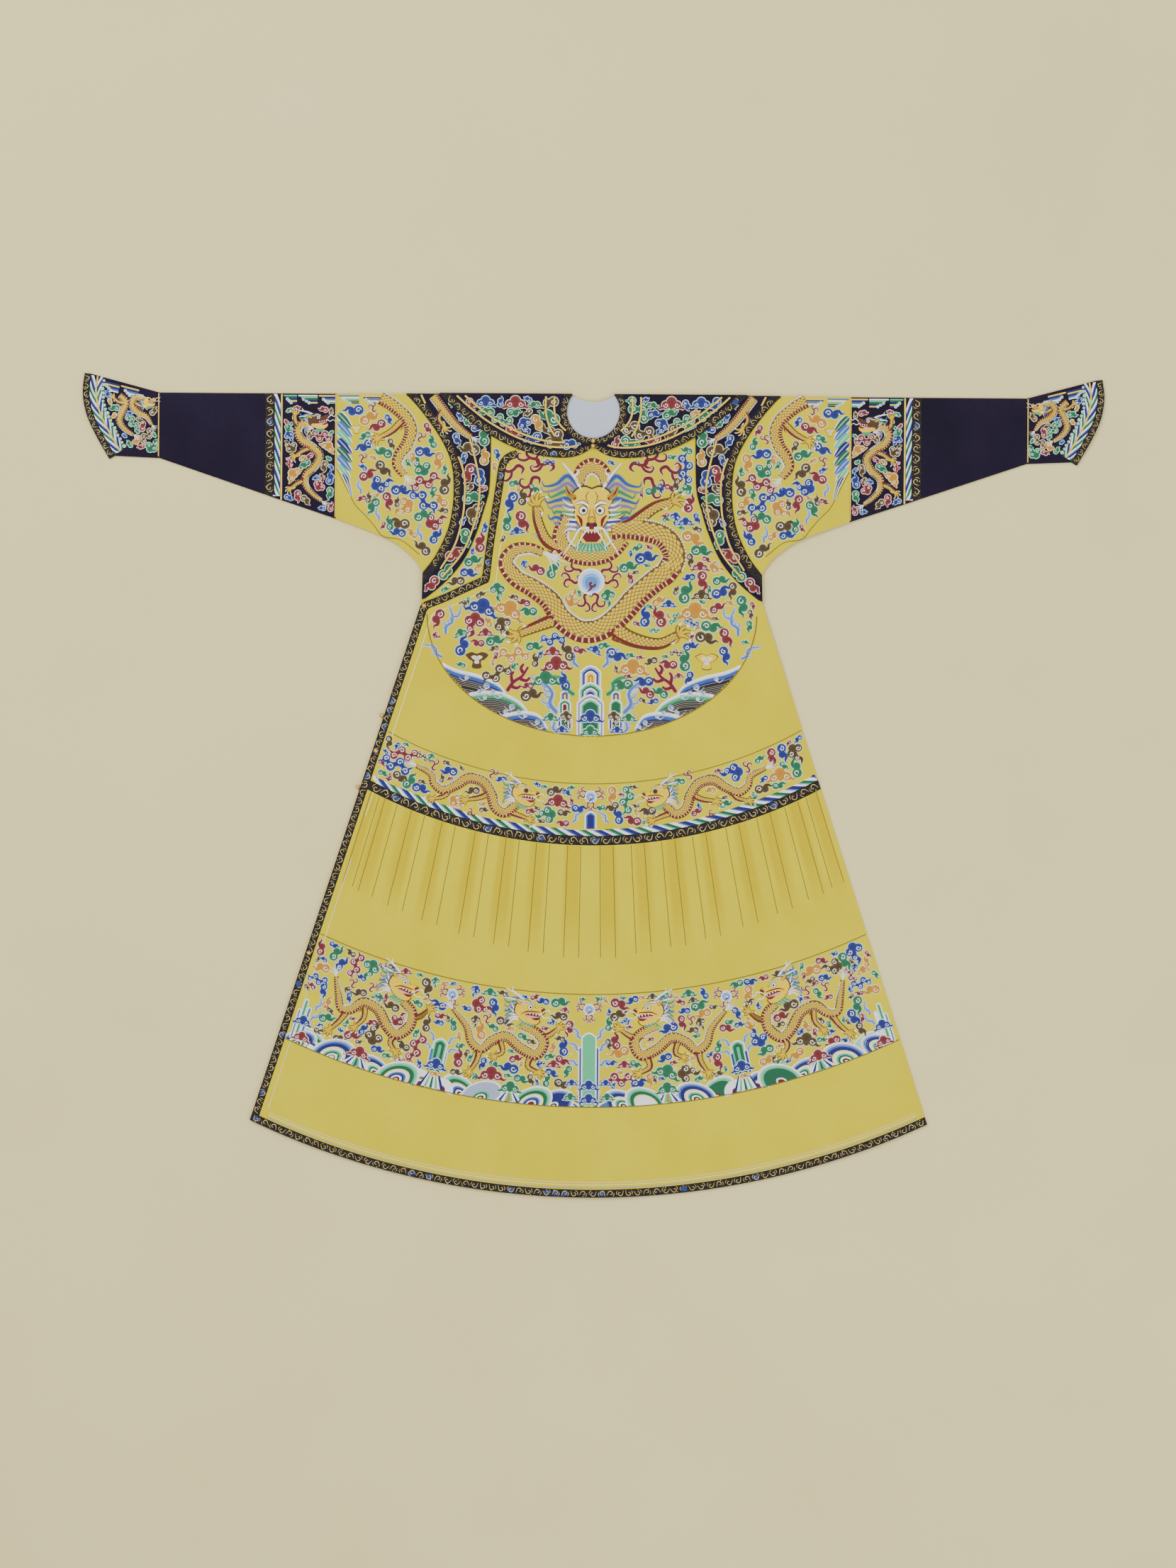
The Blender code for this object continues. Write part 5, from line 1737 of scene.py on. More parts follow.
@dataclass
class InnerFront:
    """The plain front on the wearer's right, which the outer front covers."""

    body_step: float = 0.024
    rows: int = 14

    def make(self) -> list[bpy.types.Object]:
        """Builds the inner front's body and skirt."""
        foot = WAIST_TRIM_FOOT_ARC
        edge = mirrored(np.vstack([armhole(24) - (SEAM, 0), side_line(-0.385, foot, 12)]))
        down = np.stack([np.zeros(7), -0.086 + (foot[0] + 0.086) * np.arange(1, 8) / 8], 1)
        row = row_across(foot, BACK_SHARES[:21])[::-1][:-1]
        outline = np.vstack([edge, mirrored(neck_cut(8))[1:], down, row])
        plan = rows_between(SKIRT_TOP_ARC, SKIRT_FOOT_ARC, self.rows, BACK_SHARES[:21])
        return [cut_panel("front_inner_body", outline, (inner_floor, inner_top), YELLOW, "yellow_silk",
                          self.body_step),
                cut_band("front_inner_skirt", plan, (inner_floor, inner_top), YELLOW, "yellow_silk")]


@dataclass
class OuterFront:
    """The embroidered front with its flap, waistband, pleated skirt and edgings."""

    body_step: float = 0.008
    skirt_rows: int = 64

    def body_outline(self) -> Points:
        """The body's cut: neck, left armhole and side, waist, and the flap's edge on the right."""
        foot = lower(BAND_TOP_ARC, -SEAM)
        left = np.vstack([armhole(40) - (SEAM, 0), side_line(-0.385, foot, 16)])
        flap = moved_in(front_edge(HEM_ARC), EDGE_TRIM_WIDTH + GAP)
        flap = flap[flap[:, 1] > -0.600]
        under_collar = np.array([(-0.1315, -0.094), (-0.115, -0.0865), (-0.080, -0.0865), (-0.045, -0.0865),
                                 (-0.015, -0.0865)])
        waist = row_across(foot, np.linspace(-1, 1, 81), True)[::-1][1:]
        line = np.vstack([under_collar, neck_cut(8), left, waist, flap[::-1]])
        line[:, 1] = np.minimum(line[:, 1], SHOULDER_CUT)
        return line

    def make_body(self) -> bpy.types.Object:
        """The body, with its kept folds."""
        return cut_panel("front_outer_body", self.body_outline(), (outer_floor, body_top), YELLOW, "yellow_silk",
                         self.body_step)

    def make_bands(self) -> list[bpy.types.Object]:
        """The waistband and the skirt, pleated from the waist and smooth at the hem, with painted shade in the
        pleats' grooves.
        """
        plan = rows_between(lower(BAND_TOP_ARC, SEAM), lower(WAIST_TRIM_TOP_ARC, -GAP), 14,
                            np.linspace(-1, 1, 161), True)
        band = cut_band("front_waistband", plan, (outer_floor, body_top), YELLOW, "yellow_silk")
        plan = rows_between(SKIRT_TOP_ARC, SKIRT_FOOT_ARC, self.skirt_rows, FRONT_SHARES, True)
        skirt = cut_band("front_skirt", plan, (outer_floor, skirt_top), PLEATED, "yellow_silk")
        x, y = plan[..., 0], plan[..., 1]
        # Painted shade: how far each point of the skirt is darkened in a pleat's grooves, fading out down the skirt;
        # the pleated silk reads it as the tone attribute.
        tone = pleat_tone(x, y) * (0.8 - 0.8 * smooth(skirt_share(x, y), PLEAT_END * 0.45, PLEAT_END))
        attribute = skirt.data.attributes.new("tone", "FLOAT", "POINT")
        attribute.data.foreach_set("value", np.tile(tone.ravel(), 2))
        return [band, skirt]

    def make_trims(self) -> list[bpy.types.Object]:
        """The brocade edgings of the flap, side, waist and hem."""
        foot = lower(HEM_ARC, -HEM_TRIM_WIDTH - GAP)
        outer = front_edge(foot)
        inner = moved_in(outer, EDGE_TRIM_WIDTH)
        half = arc_half(foot, EDGE_TRIM_WIDTH)
        inner[-1] = (-half, arc_y(foot, half))
        line = even_steps(np.hstack([outer, inner]), 130)
        edge_plan = np.stack([line[:, :2], line[:, :2] * 0.5 + line[:, 2:] * 0.5, line[:, 2:]])
        shares = np.linspace(-1, 1, 161)
        plans = (("waist_trim", rows_between(WAIST_TRIM_TOP_ARC, WAIST_TRIM_FOOT_ARC, 3, shares, True),
                  ["front_inner_body", "back_waist_trim"]),
                 ("hem_trim", rows_between(lower(HEM_ARC, -HEM_TRIM_WIDTH), HEM_ARC, 3, shares), ["back_hem_trim"]))
        edging = laid("front_edge_trim_silk", edge_plan, outer_floor, trim_top, BLACK, "black_brocade")
        lay_down(edging, "front_edge_trim")
        return [edging] + [cut_band(node, plan, (outer_floor, trim_top), BLACK, "black_brocade")
                           for node, plan, under in plans]

    def make(self) -> list[bpy.types.Object]:
        """Builds the outer front's pieces."""
        return [self.make_body()] + self.make_bands() + self.make_trims()


def cuff_edge(share: Points, inset: float = 0.0) -> Points:
    """Points on the flared edge of the cuff, at shares of the way down, or on a line inside it."""
    line = curve_through([(0.908, 0.034), (0.9115, 0.0), (0.905, -0.038), (0.888, -0.076), (0.863, -0.1195)], 41)
    line = line - side_normals(line) * inset
    where = np.linspace(0, 1, 41)
    return np.stack([np.interp(share, where, line[:, 0]), np.interp(share, where, line[:, 1])], 1)


@dataclass(frozen=True)
class SleeveLength:
    """One length of a sleeve: its node's name, its finish, how many sections and how proud it stands."""

    kind: str
    finish: Silk | Brocade
    slot: str
    sections: int
    proud: float = 0.0

    def plan(self, share: float, around: int) -> Points:
        """Plan points down one section, from the shoulder fold to the seam under the arm."""
        s = np.linspace(0, 1, around)[:, None]
        if self.kind == "sleeve_upper":
            top = (np.array([SHOULDER_SEAM_X + SEAM, 0])
                   + (BAND_SEAM[0] - SHOULDER_SEAM_X - 2 * SEAM) * share * np.array([1, 0]))
            seam = curve_through([UNDERARM, (0.3023, -0.345), (0.3023, -0.320), (0.3137, -0.299), (0.3365, -0.277),
                                  (0.3737, -0.2543), (BAND_SEAM[0] - SEAM, BAND_SEAM[1])], 97)
            foot = seam[round(share * 96)] + (SEAM * (1 - share), 0)
            start = armhole(around)
            bow = start - (start[0] + (start[-1] - start[0]) * s)
            return top + (foot - top) * s + bow * (1 - share) ** 1.5
        ends = {"sleeve_band": (BAND_SEAM, BAND_TRIM_SEAM), "sleeve_band_trim": (BAND_TRIM_SEAM, LOWER_SEAM),
                "sleeve_lower": (LOWER_SEAM, CUFF_SEAM)}
        if self.kind in ends:
            (x0, y0), (x1, y1) = ends[self.kind]
            x0, x1 = x0 + SEAM, x1 - SEAM
            return np.hstack([np.full_like(s, x0 + (x1 - x0) * share), (y0 + (y1 - y0) * share) * s])
        if self.kind == "cuff":
            start = np.hstack([np.full_like(s, CUFF_SEAM[0] + SEAM), CUFF_SEAM[1] * s])
            stop = cuff_edge(s[:, 0], NECK_TRIM_WIDTH + GAP)
        else:
            start, stop = cuff_edge(s[:, 0], NECK_TRIM_WIDTH), cuff_edge(s[:, 0])
        return start + (stop - start) * share

    def make(self, side: int, name: str) -> bpy.types.Object:
        """A flattened tube, folded at the top and seamed under the arm."""
        around = 34
        outer, inner = [], []
        for n in range(self.sections):
            p = self.plan(n / (self.sections - 1), around)
            x, y = p.T
            down = (p[-1] - p[0]) / np.hypot(*(p[-1] - p[0]))
            turned = p.copy()
            turned[0] += down * WALL
            turned[-1] -= down * WALL
            rim = np.zeros(around)
            rim[[0, -1]] = 0.0007
            base, high = lift(x, y), sleeve_top(x, y) + self.proud
            above = np.column_stack([p, high - rim])
            below = np.column_stack([p, base + rim + worn(x, y) * (rim == 0)])
            outer.append(np.vstack([above, below[::-1]]))
            inner.append(np.vstack([np.column_stack([turned, high - WALL - self.proud]),
                                    np.column_stack([turned, np.minimum(base + WALL, high - WALL - 0.0002)])[::-1]]))
        outer, inner = np.array(outer) * (side, 1, 1), np.array(inner) * (side, 1, 1)
        made = cloth_between(f"{self.kind}_{name}_silk", outer, inner, self.finish, ring=True)
        return lay_down(made, f"{self.kind}_{name}")


SLEEVE_LENGTHS = (SleeveLength("sleeve_upper", YELLOW, "yellow_silk", 33),
                  SleeveLength("sleeve_band", NAVY, "navy_silk", 13),
                  SleeveLength("sleeve_band_trim", BLACK, "black_brocade", 4, GAP),
                  SleeveLength("sleeve_lower", NAVY, "navy_silk", 23),
                  SleeveLength("cuff", NAVY, "navy_silk", 15),
                  SleeveLength("cuff_trim", BLACK, "black_brocade", 4, GAP))


@dataclass
class Sleeve:
    """One sleeve, from the armhole to the flared cuff."""

    side: int
    name: str

    def make(self) -> list[bpy.types.Object]:
        """Builds the sleeve's lengths."""
        return [length.make(self.side, self.name) for length in SLEEVE_LENGTHS]


# Collar and wings

def band_rows(inner: Points, outer: Points, part: str, columns: int, widths: tuple[float, float]) -> Points:
    """Rows of plan points across a band: its main cloth, or the trim on one of its edges.

    Args:
        inner: the inner edge's points.
        outer: the outer edge's points.
        part: main, edge_trim or neck_trim.
        columns: the points in each row.
        widths: the trims' widths on the inner and outer edges.

    Returns:
        The rows, by columns, by two.
    """
    across = outer - inner
    span = np.hypot(*across.T)
    across = across / span[:, None]
    reach = []
    for width, path in zip(widths, (inner, outer)):
        along = np.vstack([path[1:2] - path[:1], path[2:] - path[:-2], path[-1:] - path[-2:-1]])
        along /= np.hypot(*along.T)[:, None]
        sine = np.abs(along[:, 0] * across[:, 1] - along[:, 1] * across[:, 0])
        reach.append(np.minimum(width / np.maximum(sine, 0.55), 0.44 * span))
    neck, edge = reach
    clear = np.where(neck > 0, neck + GAP, 0)
    first, last = {"main": (clear, edge + GAP), "edge_trim": (span - edge, span * 0),
                   "neck_trim": (span * 0, span - neck)}[part]
    start = inner + across * first[:, None]
    stop = outer - across * last[:, None]
    share = np.linspace(0, 1, columns)[None, :, None]
    return start[:, None] * (1 - share) + stop[:, None] * share


def wrapped(front: Points, back: Points, base: float, under_back: Surface) -> tuple[Points, Points]:
    """Grids for a band that folds round the shoulder.

    Args:
        front: its rows on the front, towards the shoulder.
        back: its rows on the back, away from the shoulder. Its first row is the front's last.
        base: how far its underside lies above the back.
        under_back: the upper side of its back half.

    Returns:
        The upper and lower grids.
    """
    over, under = [], []
    for row in front[:-1]:
        x, y = row.T
        for grid, rise in ((under, 0.0), (over, WALL)):
            grid.append(np.column_stack([x, y, lift(x, y) + base + rise]))
    x = front[-1][:, 0]
    radius = lift(x, np.zeros_like(x)) + base - FOLD_Z
    for angle in np.radians(np.linspace(90, -90, 9)):
        for grid, rise in ((under, 0.0), (over, WALL)):
            grid.append(np.column_stack([x, FOLD_Y + math.cos(angle) * (radius + rise),
                                         FOLD_Z + math.sin(angle) * (radius + rise)]))
    for row in back[1:]:
        x, y = row.T
        for grid, rise in ((under, 0.0), (over, WALL)):
            grid.append(np.column_stack([x, y, under_back(x, y) - rise]))
    return np.array(over), np.array(under)


def wing_edges(count: int) -> tuple[Points, Points]:
    """The inner and outer edges of the left wing, from the underarm up to the shoulder."""
    outer = curve_through([(0.3028, -0.3185), (0.279, -0.286), (0.258, -0.240), (0.2495, -0.195), (0.249, -0.150),
                           (0.256, -0.112), (0.277, -0.071), (0.307, -0.030), (0.334, 0)], count)
    inner = (armhole(count) + (2 * GAP, 0))[::-1].copy()
    inner[0] = (0.3036 + GAP, -0.3660)
    return inner, outer


def collar_edges(count: int, front: bool) -> tuple[Points, Points]:
    """The neck and outer edges of the collar's left half, from the middle out to the shoulder."""
    if front:
        a = np.linspace(-math.pi / 2, math.asin(-NECK_CENTRE_Y / NECK_RADIUS), count)
        inner = np.stack([NECK_RADIUS * np.cos(a), NECK_CENTRE_Y + NECK_RADIUS * np.sin(a)], 1)
        outer = curve_through([(0, -0.0935), (0.030, -0.1085), (0.066, -0.1115), (0.112, -0.104), (0.159, -0.086),
                               (0.205, -0.059), (0.240, -0.0315), (0.2745, 0)], count)
        inner[0, 0] = outer[0, 0] = 0.0006
        return inner, outer
    s = np.linspace(0, 1, count)
    inner = np.stack([BACK_NECK[0] * s, -BACK_NECK[1] * (1 - s * s)], 1)
    return inner, curve_through([(0, -0.118), (0.081, -0.111), (0.159, -0.086), (0.2745, 0)], count)


@dataclass
class Wing:
    """The flared shoulder wing that lies over the armhole seam, front and back, with its edging."""

    side: int
    name: str
    rows: int = 43

    def make(self) -> list[bpy.types.Object]:
        """Builds the wing and its edging."""
        inner, outer = wing_edges(self.rows)
        made = []
        for part, finish, slot, node, columns in (("main", NAVY, "navy_silk", f"wing_{self.name}", 9),
                                                  ("edge_trim", BLACK, "black_brocade", f"wing_trim_{self.name}", 3)):
            rows = band_rows(inner, outer, part, columns, (0.0, EDGE_TRIM_WIDTH))
            over, under = wrapped(rows, rows[::-1], WING_BASE, lambda x, y: wing_drop(y) + WALL)
            piece = cloth_between(f"{node}_silk", over * (self.side, 1, 1), under * (self.side, 1, 1), finish)
            size, area = plan_cut(rows)
            size, area = (size[0], 2 * size[1]), 2 * area
            made.append(lay_down(piece, node))
        return made


@dataclass
class Collar:
    """The flared collar: two front lobes that wrap over the shoulders and join across the back."""

    front_rows: int = 61
    back_rows: int = 25

    def make(self) -> list[bpy.types.Object]:
        """Builds the collar and its two edgings."""
        made = []
        for part, node, finish, slot, columns in (("main", "collar", NAVY, "navy_silk", 12),
                                                  ("edge_trim", "collar_edge_trim", BLACK, "black_brocade", 3),
                                                  ("neck_trim", "collar_neck_trim", BLACK, "black_brocade", 3)):
            widths = (NECK_TRIM_WIDTH, EDGE_TRIM_WIDTH)
            front = band_rows(*collar_edges(self.front_rows, True), part, columns, widths)
            back = band_rows(*collar_edges(self.back_rows, False), part, columns, widths)
            front[-1, :, 1] = 0
            back[-1] = front[-1]
            over, under = wrapped(front, back[::-1], COLLAR_BASE, lambda x, y: np.full_like(x, WALL))
            over, under = (np.concatenate([g, g[::-1][1:] * (-1, 1, 1)]) for g in (over, under))
            piece = cloth_between(f"{node}_silk", over, under, finish)
            size, area = plan_cut(front)
            other, back_area = plan_cut(back)
            size = (2 * max(size[0], other[0]), size[1] + other[1])
            made.append(lay_down(piece, node))
        return made


@dataclass
class Buttons:
    """The gilt ball buttons, each with a rib round it and a loop of cord beside it."""

    radius: float = 0.004

    def places(self) -> list[tuple[float, float, float]]:
        """The middle of each button."""
        high = 2 * LAYER + COLLAR_BASE + WALL
        found = [(0.0, -0.0815, high), (0.0, -0.0905, high)]
        for y in (-0.3775, -0.637, -0.998):
            x = -float(side_x(y)) + EDGE_TRIM_WIDTH * 0.52
            found.append((x, y, float(outer_floor(np.array(x), np.array(y))) + TRIM_WALL))
        found += [(-float(side_x(y)) - self.radius - GAP, y, -GAP) for y in (-0.573, -0.701)]
        return [(x, y, z + self.radius + GAP) for x, y, z in found]

    def make(self) -> list[bpy.types.Object]:
        """Turns each button as a ball with a rib and eight shallow lobes."""
        made = []
        rows, columns = 17, 32
        v = np.linspace(-math.pi / 2, math.pi / 2, rows)[:, None]
        u = np.linspace(0, 2 * math.pi, columns, endpoint=False)[None]
        r = self.radius * (1 - 0.05 * np.cos(8 * u) ** 2 * np.cos(v) ** 2) * np.where(np.abs(v) < 0.12, 1.0, 0.965)
        ball = np.stack([r * np.cos(v) * np.cos(u), r * np.cos(v) * np.sin(u), r * np.sin(v) + 0 * u], -1)
        ball = ball.reshape(-1, 3)[columns - 1:-columns + 1]
        for number, place in enumerate(self.places(), 1):
            faces = [(1 + c, 1 + (c + 1) % columns, 0) for c in range(columns)]
            faces += grid_faces(rows - 2, columns, 1, True, False)
            last = len(ball) - 1
            faces += [(last, last - columns + (c + 1) % columns, last - columns + c) for c in range(columns)]
            piece = make_object(f"button_{number}_ball", ball + place, faces, [BRASS.make()])
            soften(piece, 60)
            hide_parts(f"button_{number}")
            made.append(piece)
        return made


# Studio

@dataclass
class Studio:
    """The floor, the soft light and the camera over the robe."""

    distance: float = 12.0
    centre: tuple[float, float] = (-0.005, 0.0054)
    roll: float = 0.4
    frame_height: float = 2.798

    def make(self) -> bpy.types.Object:
        """Lays the floor, hangs the lights and points the camera straight down."""
        mesh = bpy.data.meshes.new("floor")
        mesh.from_pydata([(-9, -9, -0.0006), (9, -9, -0.0006), (9, 9, -0.0006), (-9, 9, -0.0006)], [], [(0, 1, 2, 3)])
        floor = bpy.data.objects.new("floor", mesh)
        made, tree, shader = new_material("pale_floor")
        grain = ramp(tree, noise_node(tree, (3, 3, 3), 5).outputs["Fac"], 0.3, 0.7)
        tree.links.new(mixed(tree, grain, (0.730, 0.632, 0.295), (0.755, 0.657, 0.318)), shader.inputs["Base Color"])
        shader.inputs["Roughness"].default_value = 0.9
        mesh.materials.append(made)
        bpy.context.scene.collection.objects.link(floor)
        self.light("key", (-2.6, 3.2, 4.6), 3.4, 270)
        self.light("fill", (3.0, -1.8, 4.2), 3.8, 130)
        world = bpy.data.worlds.new("studio")
        world.use_nodes = True
        world.node_tree.nodes["Background"].inputs["Color"].default_value = (1.0, 0.99, 0.97, 1)
        world.node_tree.nodes["Background"].inputs["Strength"].default_value = 0.88
        bpy.context.scene.world = world
        lens = bpy.data.cameras.new("camera")
        lens.sensor_fit = "VERTICAL"
        lens.sensor_height = 36
        lens.lens = 36 * self.distance / self.frame_height
        lens.clip_end = 100
        camera = bpy.data.objects.new("camera", lens)
        camera.location = (*self.centre, self.distance)
        camera.rotation_euler = (0, 0, math.radians(self.roll))
        bpy.context.scene.collection.objects.link(camera)
        bpy.context.scene.camera = camera
        return floor

    @staticmethod
    def light(name: str, place: tuple[float, float, float], size: float, power: float) -> None:
        """A large soft light turned to the robe."""
        data = bpy.data.lights.new(name, "AREA")
        data.size, data.energy = size, power
        lamp = bpy.data.objects.new(name, data)
        lamp.location = place
        lamp.rotation_euler = (-Vector(place)).to_track_quat("-Z", "Y").to_euler()
        bpy.context.scene.collection.objects.link(lamp)


# Needlework of the robe's parts

def drawn(points: Points) -> Points:
    """Metres from the neck as drawing units."""
    return points * (1 / UNIT, -1 / UNIT)


def runs_of(line: Points, keep: Points) -> list[Points]:
    """The stretches of a line whose points are kept."""
    found, current = [], []
    for point, good in zip(line, keep):
        if good:
            current.append(point)
        elif len(current) > 2:
            found.append(np.array(current))
            current = []
        else:
            current = []
    if len(current) > 2:
        found.append(np.array(current))
    return found


def sew_line(work: Needlework, line: Points, width: float, tint: Colour, level: float) -> None:
    """A long even line of stitches through close points, with a point every three drawing units."""
    path = even_steps(line, max(3, int(length_of(line) / 3)))
    work.strip(path, np.full(len(path), width), tint, level)


def sew_gilt(work: Needlework, line: Points, keep: Points) -> None:
    """A dark-edged gilt line over the clouds, where it is kept."""
    for run in runs_of(line, keep):
        sew_line(work, run, 3.2, SEPIA, 3.6)
        sew_line(work, run, 2.3, GOLD_LINE, 3.9)


def sew_spire(work: Needlework, spot: Spot, width: float, top: float, foot: float, shades: Sequence[Colour],
              level: float, step: float) -> None:
    """A tall rock with a pointed top, in nested bands.

    Args:
        work: what it is sewn with.
        spot: where it is.
        width: its width in drawing units.
        top: the height of its point, down from the spot.
        foot: the height of its foot.
        shades: the colour of each band, from the outside in.
        level: its layer.
        step: the width of each band.
    """
    for n, shade in enumerate(shades):
        half, peak = width / 2 - n * step, top + n * step * 1.2
        if half < 0.4 or peak > foot - 1:
            break
        rise = half * 0.62
        work.patch([(-half, foot), (-half, peak + rise), (-half * 0.5, peak + rise * 0.28), (0, peak),
                    (half * 0.5, peak + rise * 0.28), (half, peak + rise), (half, foot)], shade,
                   level + 0.12 * n, spot)


def sew_spray(work: Needlework, spot: Spot, deep: Colour = blend(DEEP_BLUE, SKY, 0.7),
              pale: Colour = blend(PALE_BLUE, WHITE, 0.4), level: float = 0.6) -> None:
    """A leaping spray of foam, one unit high, with curled fingers along its left side."""
    stem = [(0.10, 0.0), (-0.06, -0.28), (0.04, -0.55), (-0.10, -0.80), (-0.30, -0.96)]
    work.stroke(stem, (0.17, 0.16, 0.13, 0.10, 0.04), pale, level - 0.3, spot, spread=1.6)
    for n, (x, y) in enumerate(curve_through(stem, 8)[1:]):
        out = 0.16 + 0.04 * (n % 2)
        knots = [(x, y), (x - out * 0.7, y - 0.03), (x - out, y - 0.10), (x - out * 0.72, y - 0.15)]
        work.stroke(knots, (0.09, 0.07, 0.05, 0.03), pale, level - 0.2, spot, spread=1.0, pitch=2.4)
        work.stroke(knots, (0.07, 0.05, 0.04, 0.02), blend(deep, pale, 0.35), level + 0.4, spot, pitch=2.4)
    work.stroke(stem, (0.12, 0.12, 0.10, 0.07, 0.03), deep, level + 0.5, spot, rim=blend(deep, pale, 0.45),
                crown=0.06)


def sew_coral(work: Needlework, spot: Spot, level: float = 0.8) -> None:
    """A branch of red coral, one unit long."""
    branches = ([(0, 0.5), (0.04, 0.15), (-0.03, -0.15), (0.02, -0.5)], [(0.03, 0.20), (0.22, 0.05), (0.25, -0.10)],
                [(-0.02, -0.05), (-0.22, -0.14), (-0.24, -0.30)], [(0.0, -0.25), (0.16, -0.32), (0.18, -0.48)],
                [(0.02, 0.30), (-0.16, 0.22), (-0.20, 0.08)])
    for shade, spread, rise in ((PALE_RED, 2.0, 0), (RED, 0.0, 0.5)):
        for knots in branches:
            work.stroke(knots, (0.11, 0.09, 0.06), shade, level + rise, spot, spread=spread)


def sew_vessel(work: Needlework, spot: Spot, level: float = 0.8) -> None:
    """A small gilt treasure on a stand, one unit wide."""
    shape = [(-0.5, -0.22), (-0.22, -0.34), (0, -0.26), (0.22, -0.34), (0.5, -0.22), (0.30, 0.0), (0.16, 0.06),
             (0.20, 0.34), (-0.20, 0.34), (-0.16, 0.06), (-0.30, 0.0)]
    work.patch(shape, SEPIA, level, spot, rounded=30, grow=1.10)
    work.patch(shape, GOLD, level + 0.4, spot, rounded=30, gilt=True)
    work.patch(shape, blend(GOLD, WHITE, 0.5), level + 0.7, spot, rounded=30, grow=0.55)
    work.curl(0, -0.08, 0.13, 0, PALE_BLUE, level + 1.1, spot)


# How far down a standing wave reaches, in drawing units
SWELL_DEPTH = 42.0


def sew_swell(work: Needlework, crest: Sequence[tuple[float, float]], keep: Callable[[Points], Points],
              shades: Sequence[Colour], stripe: Colour, level: float) -> None:
    """A standing wave: a white crest, bands of silk under it, and fine stripes on a dark ground.

    Args:
        work: what it is sewn with.
        crest: knots along its crest from left to right.
        keep: says which points are on the panel that it is sewn on.
        shades: the colours of its bands.
        stripe: the colour of its fine stripes.
        level: its layer.
    """
    line = curve_through(crest, 60)
    down = np.abs(side_normals(line)) * (0.35, 1) * np.sign(side_normals(line))
    down *= np.sign(down[:, 1:2] + 1e-9)
    fringe = 1.6 * (len(shades) + 2)
    offsets = np.concatenate([np.arange(0, fringe, 1.6), np.arange(fringe, SWELL_DEPTH, 2.4)])
    for n, offset in enumerate(offsets):
        shade, wide = (stripe, blend(SKY, stripe, 0.75))[n % 2], 0.75
        if offset < fringe - 0.8:
            shade, wide = (WHITE, 3.0) if n < 2 else (shades[min(len(shades) - 1, n - 2)], 2.2)
        moved = line + down * offset
        moved[:, 1] += 0.04 * offset
        for run in runs_of(moved, keep(moved)):
            work.strip(run, np.full(len(run), 2.9), INK, level - 0.1)
            work.strip(run, np.full(len(run), wide), shade, level + 0.15 + 0.02 * n)


def sew_arches(work: Needlework, strip: ArcSpot, middle: float, half: float, height: float,
               shades: Sequence[Colour], level: float, lean: float = 0.0) -> None:
    """A hump of nested arched bands that stands on an arc of the robe.

    Args:
        work: what it is sewn with.
        strip: the arc.
        middle: its place along the arc.
        half: half its width.
        height: its height.
        shades: its bands from the outside in.
        level: its layer.
        lean: how far its top leans along the arc.
    """
    a = np.linspace(0, math.pi, 26)
    for n, shade in enumerate(shades):
        share = 1 - n / len(shades)
        xs = middle + half * share * np.cos(a) + lean * np.sin(a) * share
        ys = -height * share * np.sin(a) ** 0.85
        ring = np.stack([xs, np.minimum(ys, -0.2)], 1)
        work.patch(ring.tolist(), shade, level + 0.09 * n, strip)


def sew_stripes(work: Needlework, line: Points, width: float, pitch: float, lean: float, level: float = 0.5) -> None:
    """Slanting striped water along a line: white, blue, yellow and green bands.

    Args:
        work: what it is sewn with.
        line: the middle of the strip.
        width: the strip's width.
        pitch: the length of one set of bands.
        lean: how far the bands slant along the line.
        level: their layer.
    """
    length = length_of(line)
    shades = ((WHITE, 0.22), (SKY, 0.10), (DEEP_BLUE, 0.24), (WHITE, 0.14), (MINT, 0.10), (DEEP_GREEN, 0.20))
    path = even_steps(line, max(8, int(length / 1.2)))
    steps = np.linspace(0, length, len(path))
    normal = side_normals(path)

    def place(along: float, q: float) -> tuple[float, float]:
        """A point along and across the strip."""
        s = min(max(along + lean * q, 0), length)
        return tuple(float(np.interp(s, steps, path[:, k]) + np.interp(s, steps, normal[:, k]) * q * width / 2)
                     for k in (0, 1))

    at = 0.0
    while at < length:
        for shade, share in shades:
            stop = at + share * pitch
            work.patch([place(at, -1), place(at, 0), place(at, 1), place(stop, 1), place(stop, 0), place(stop, -1)],
                       shade, level)
            at = stop


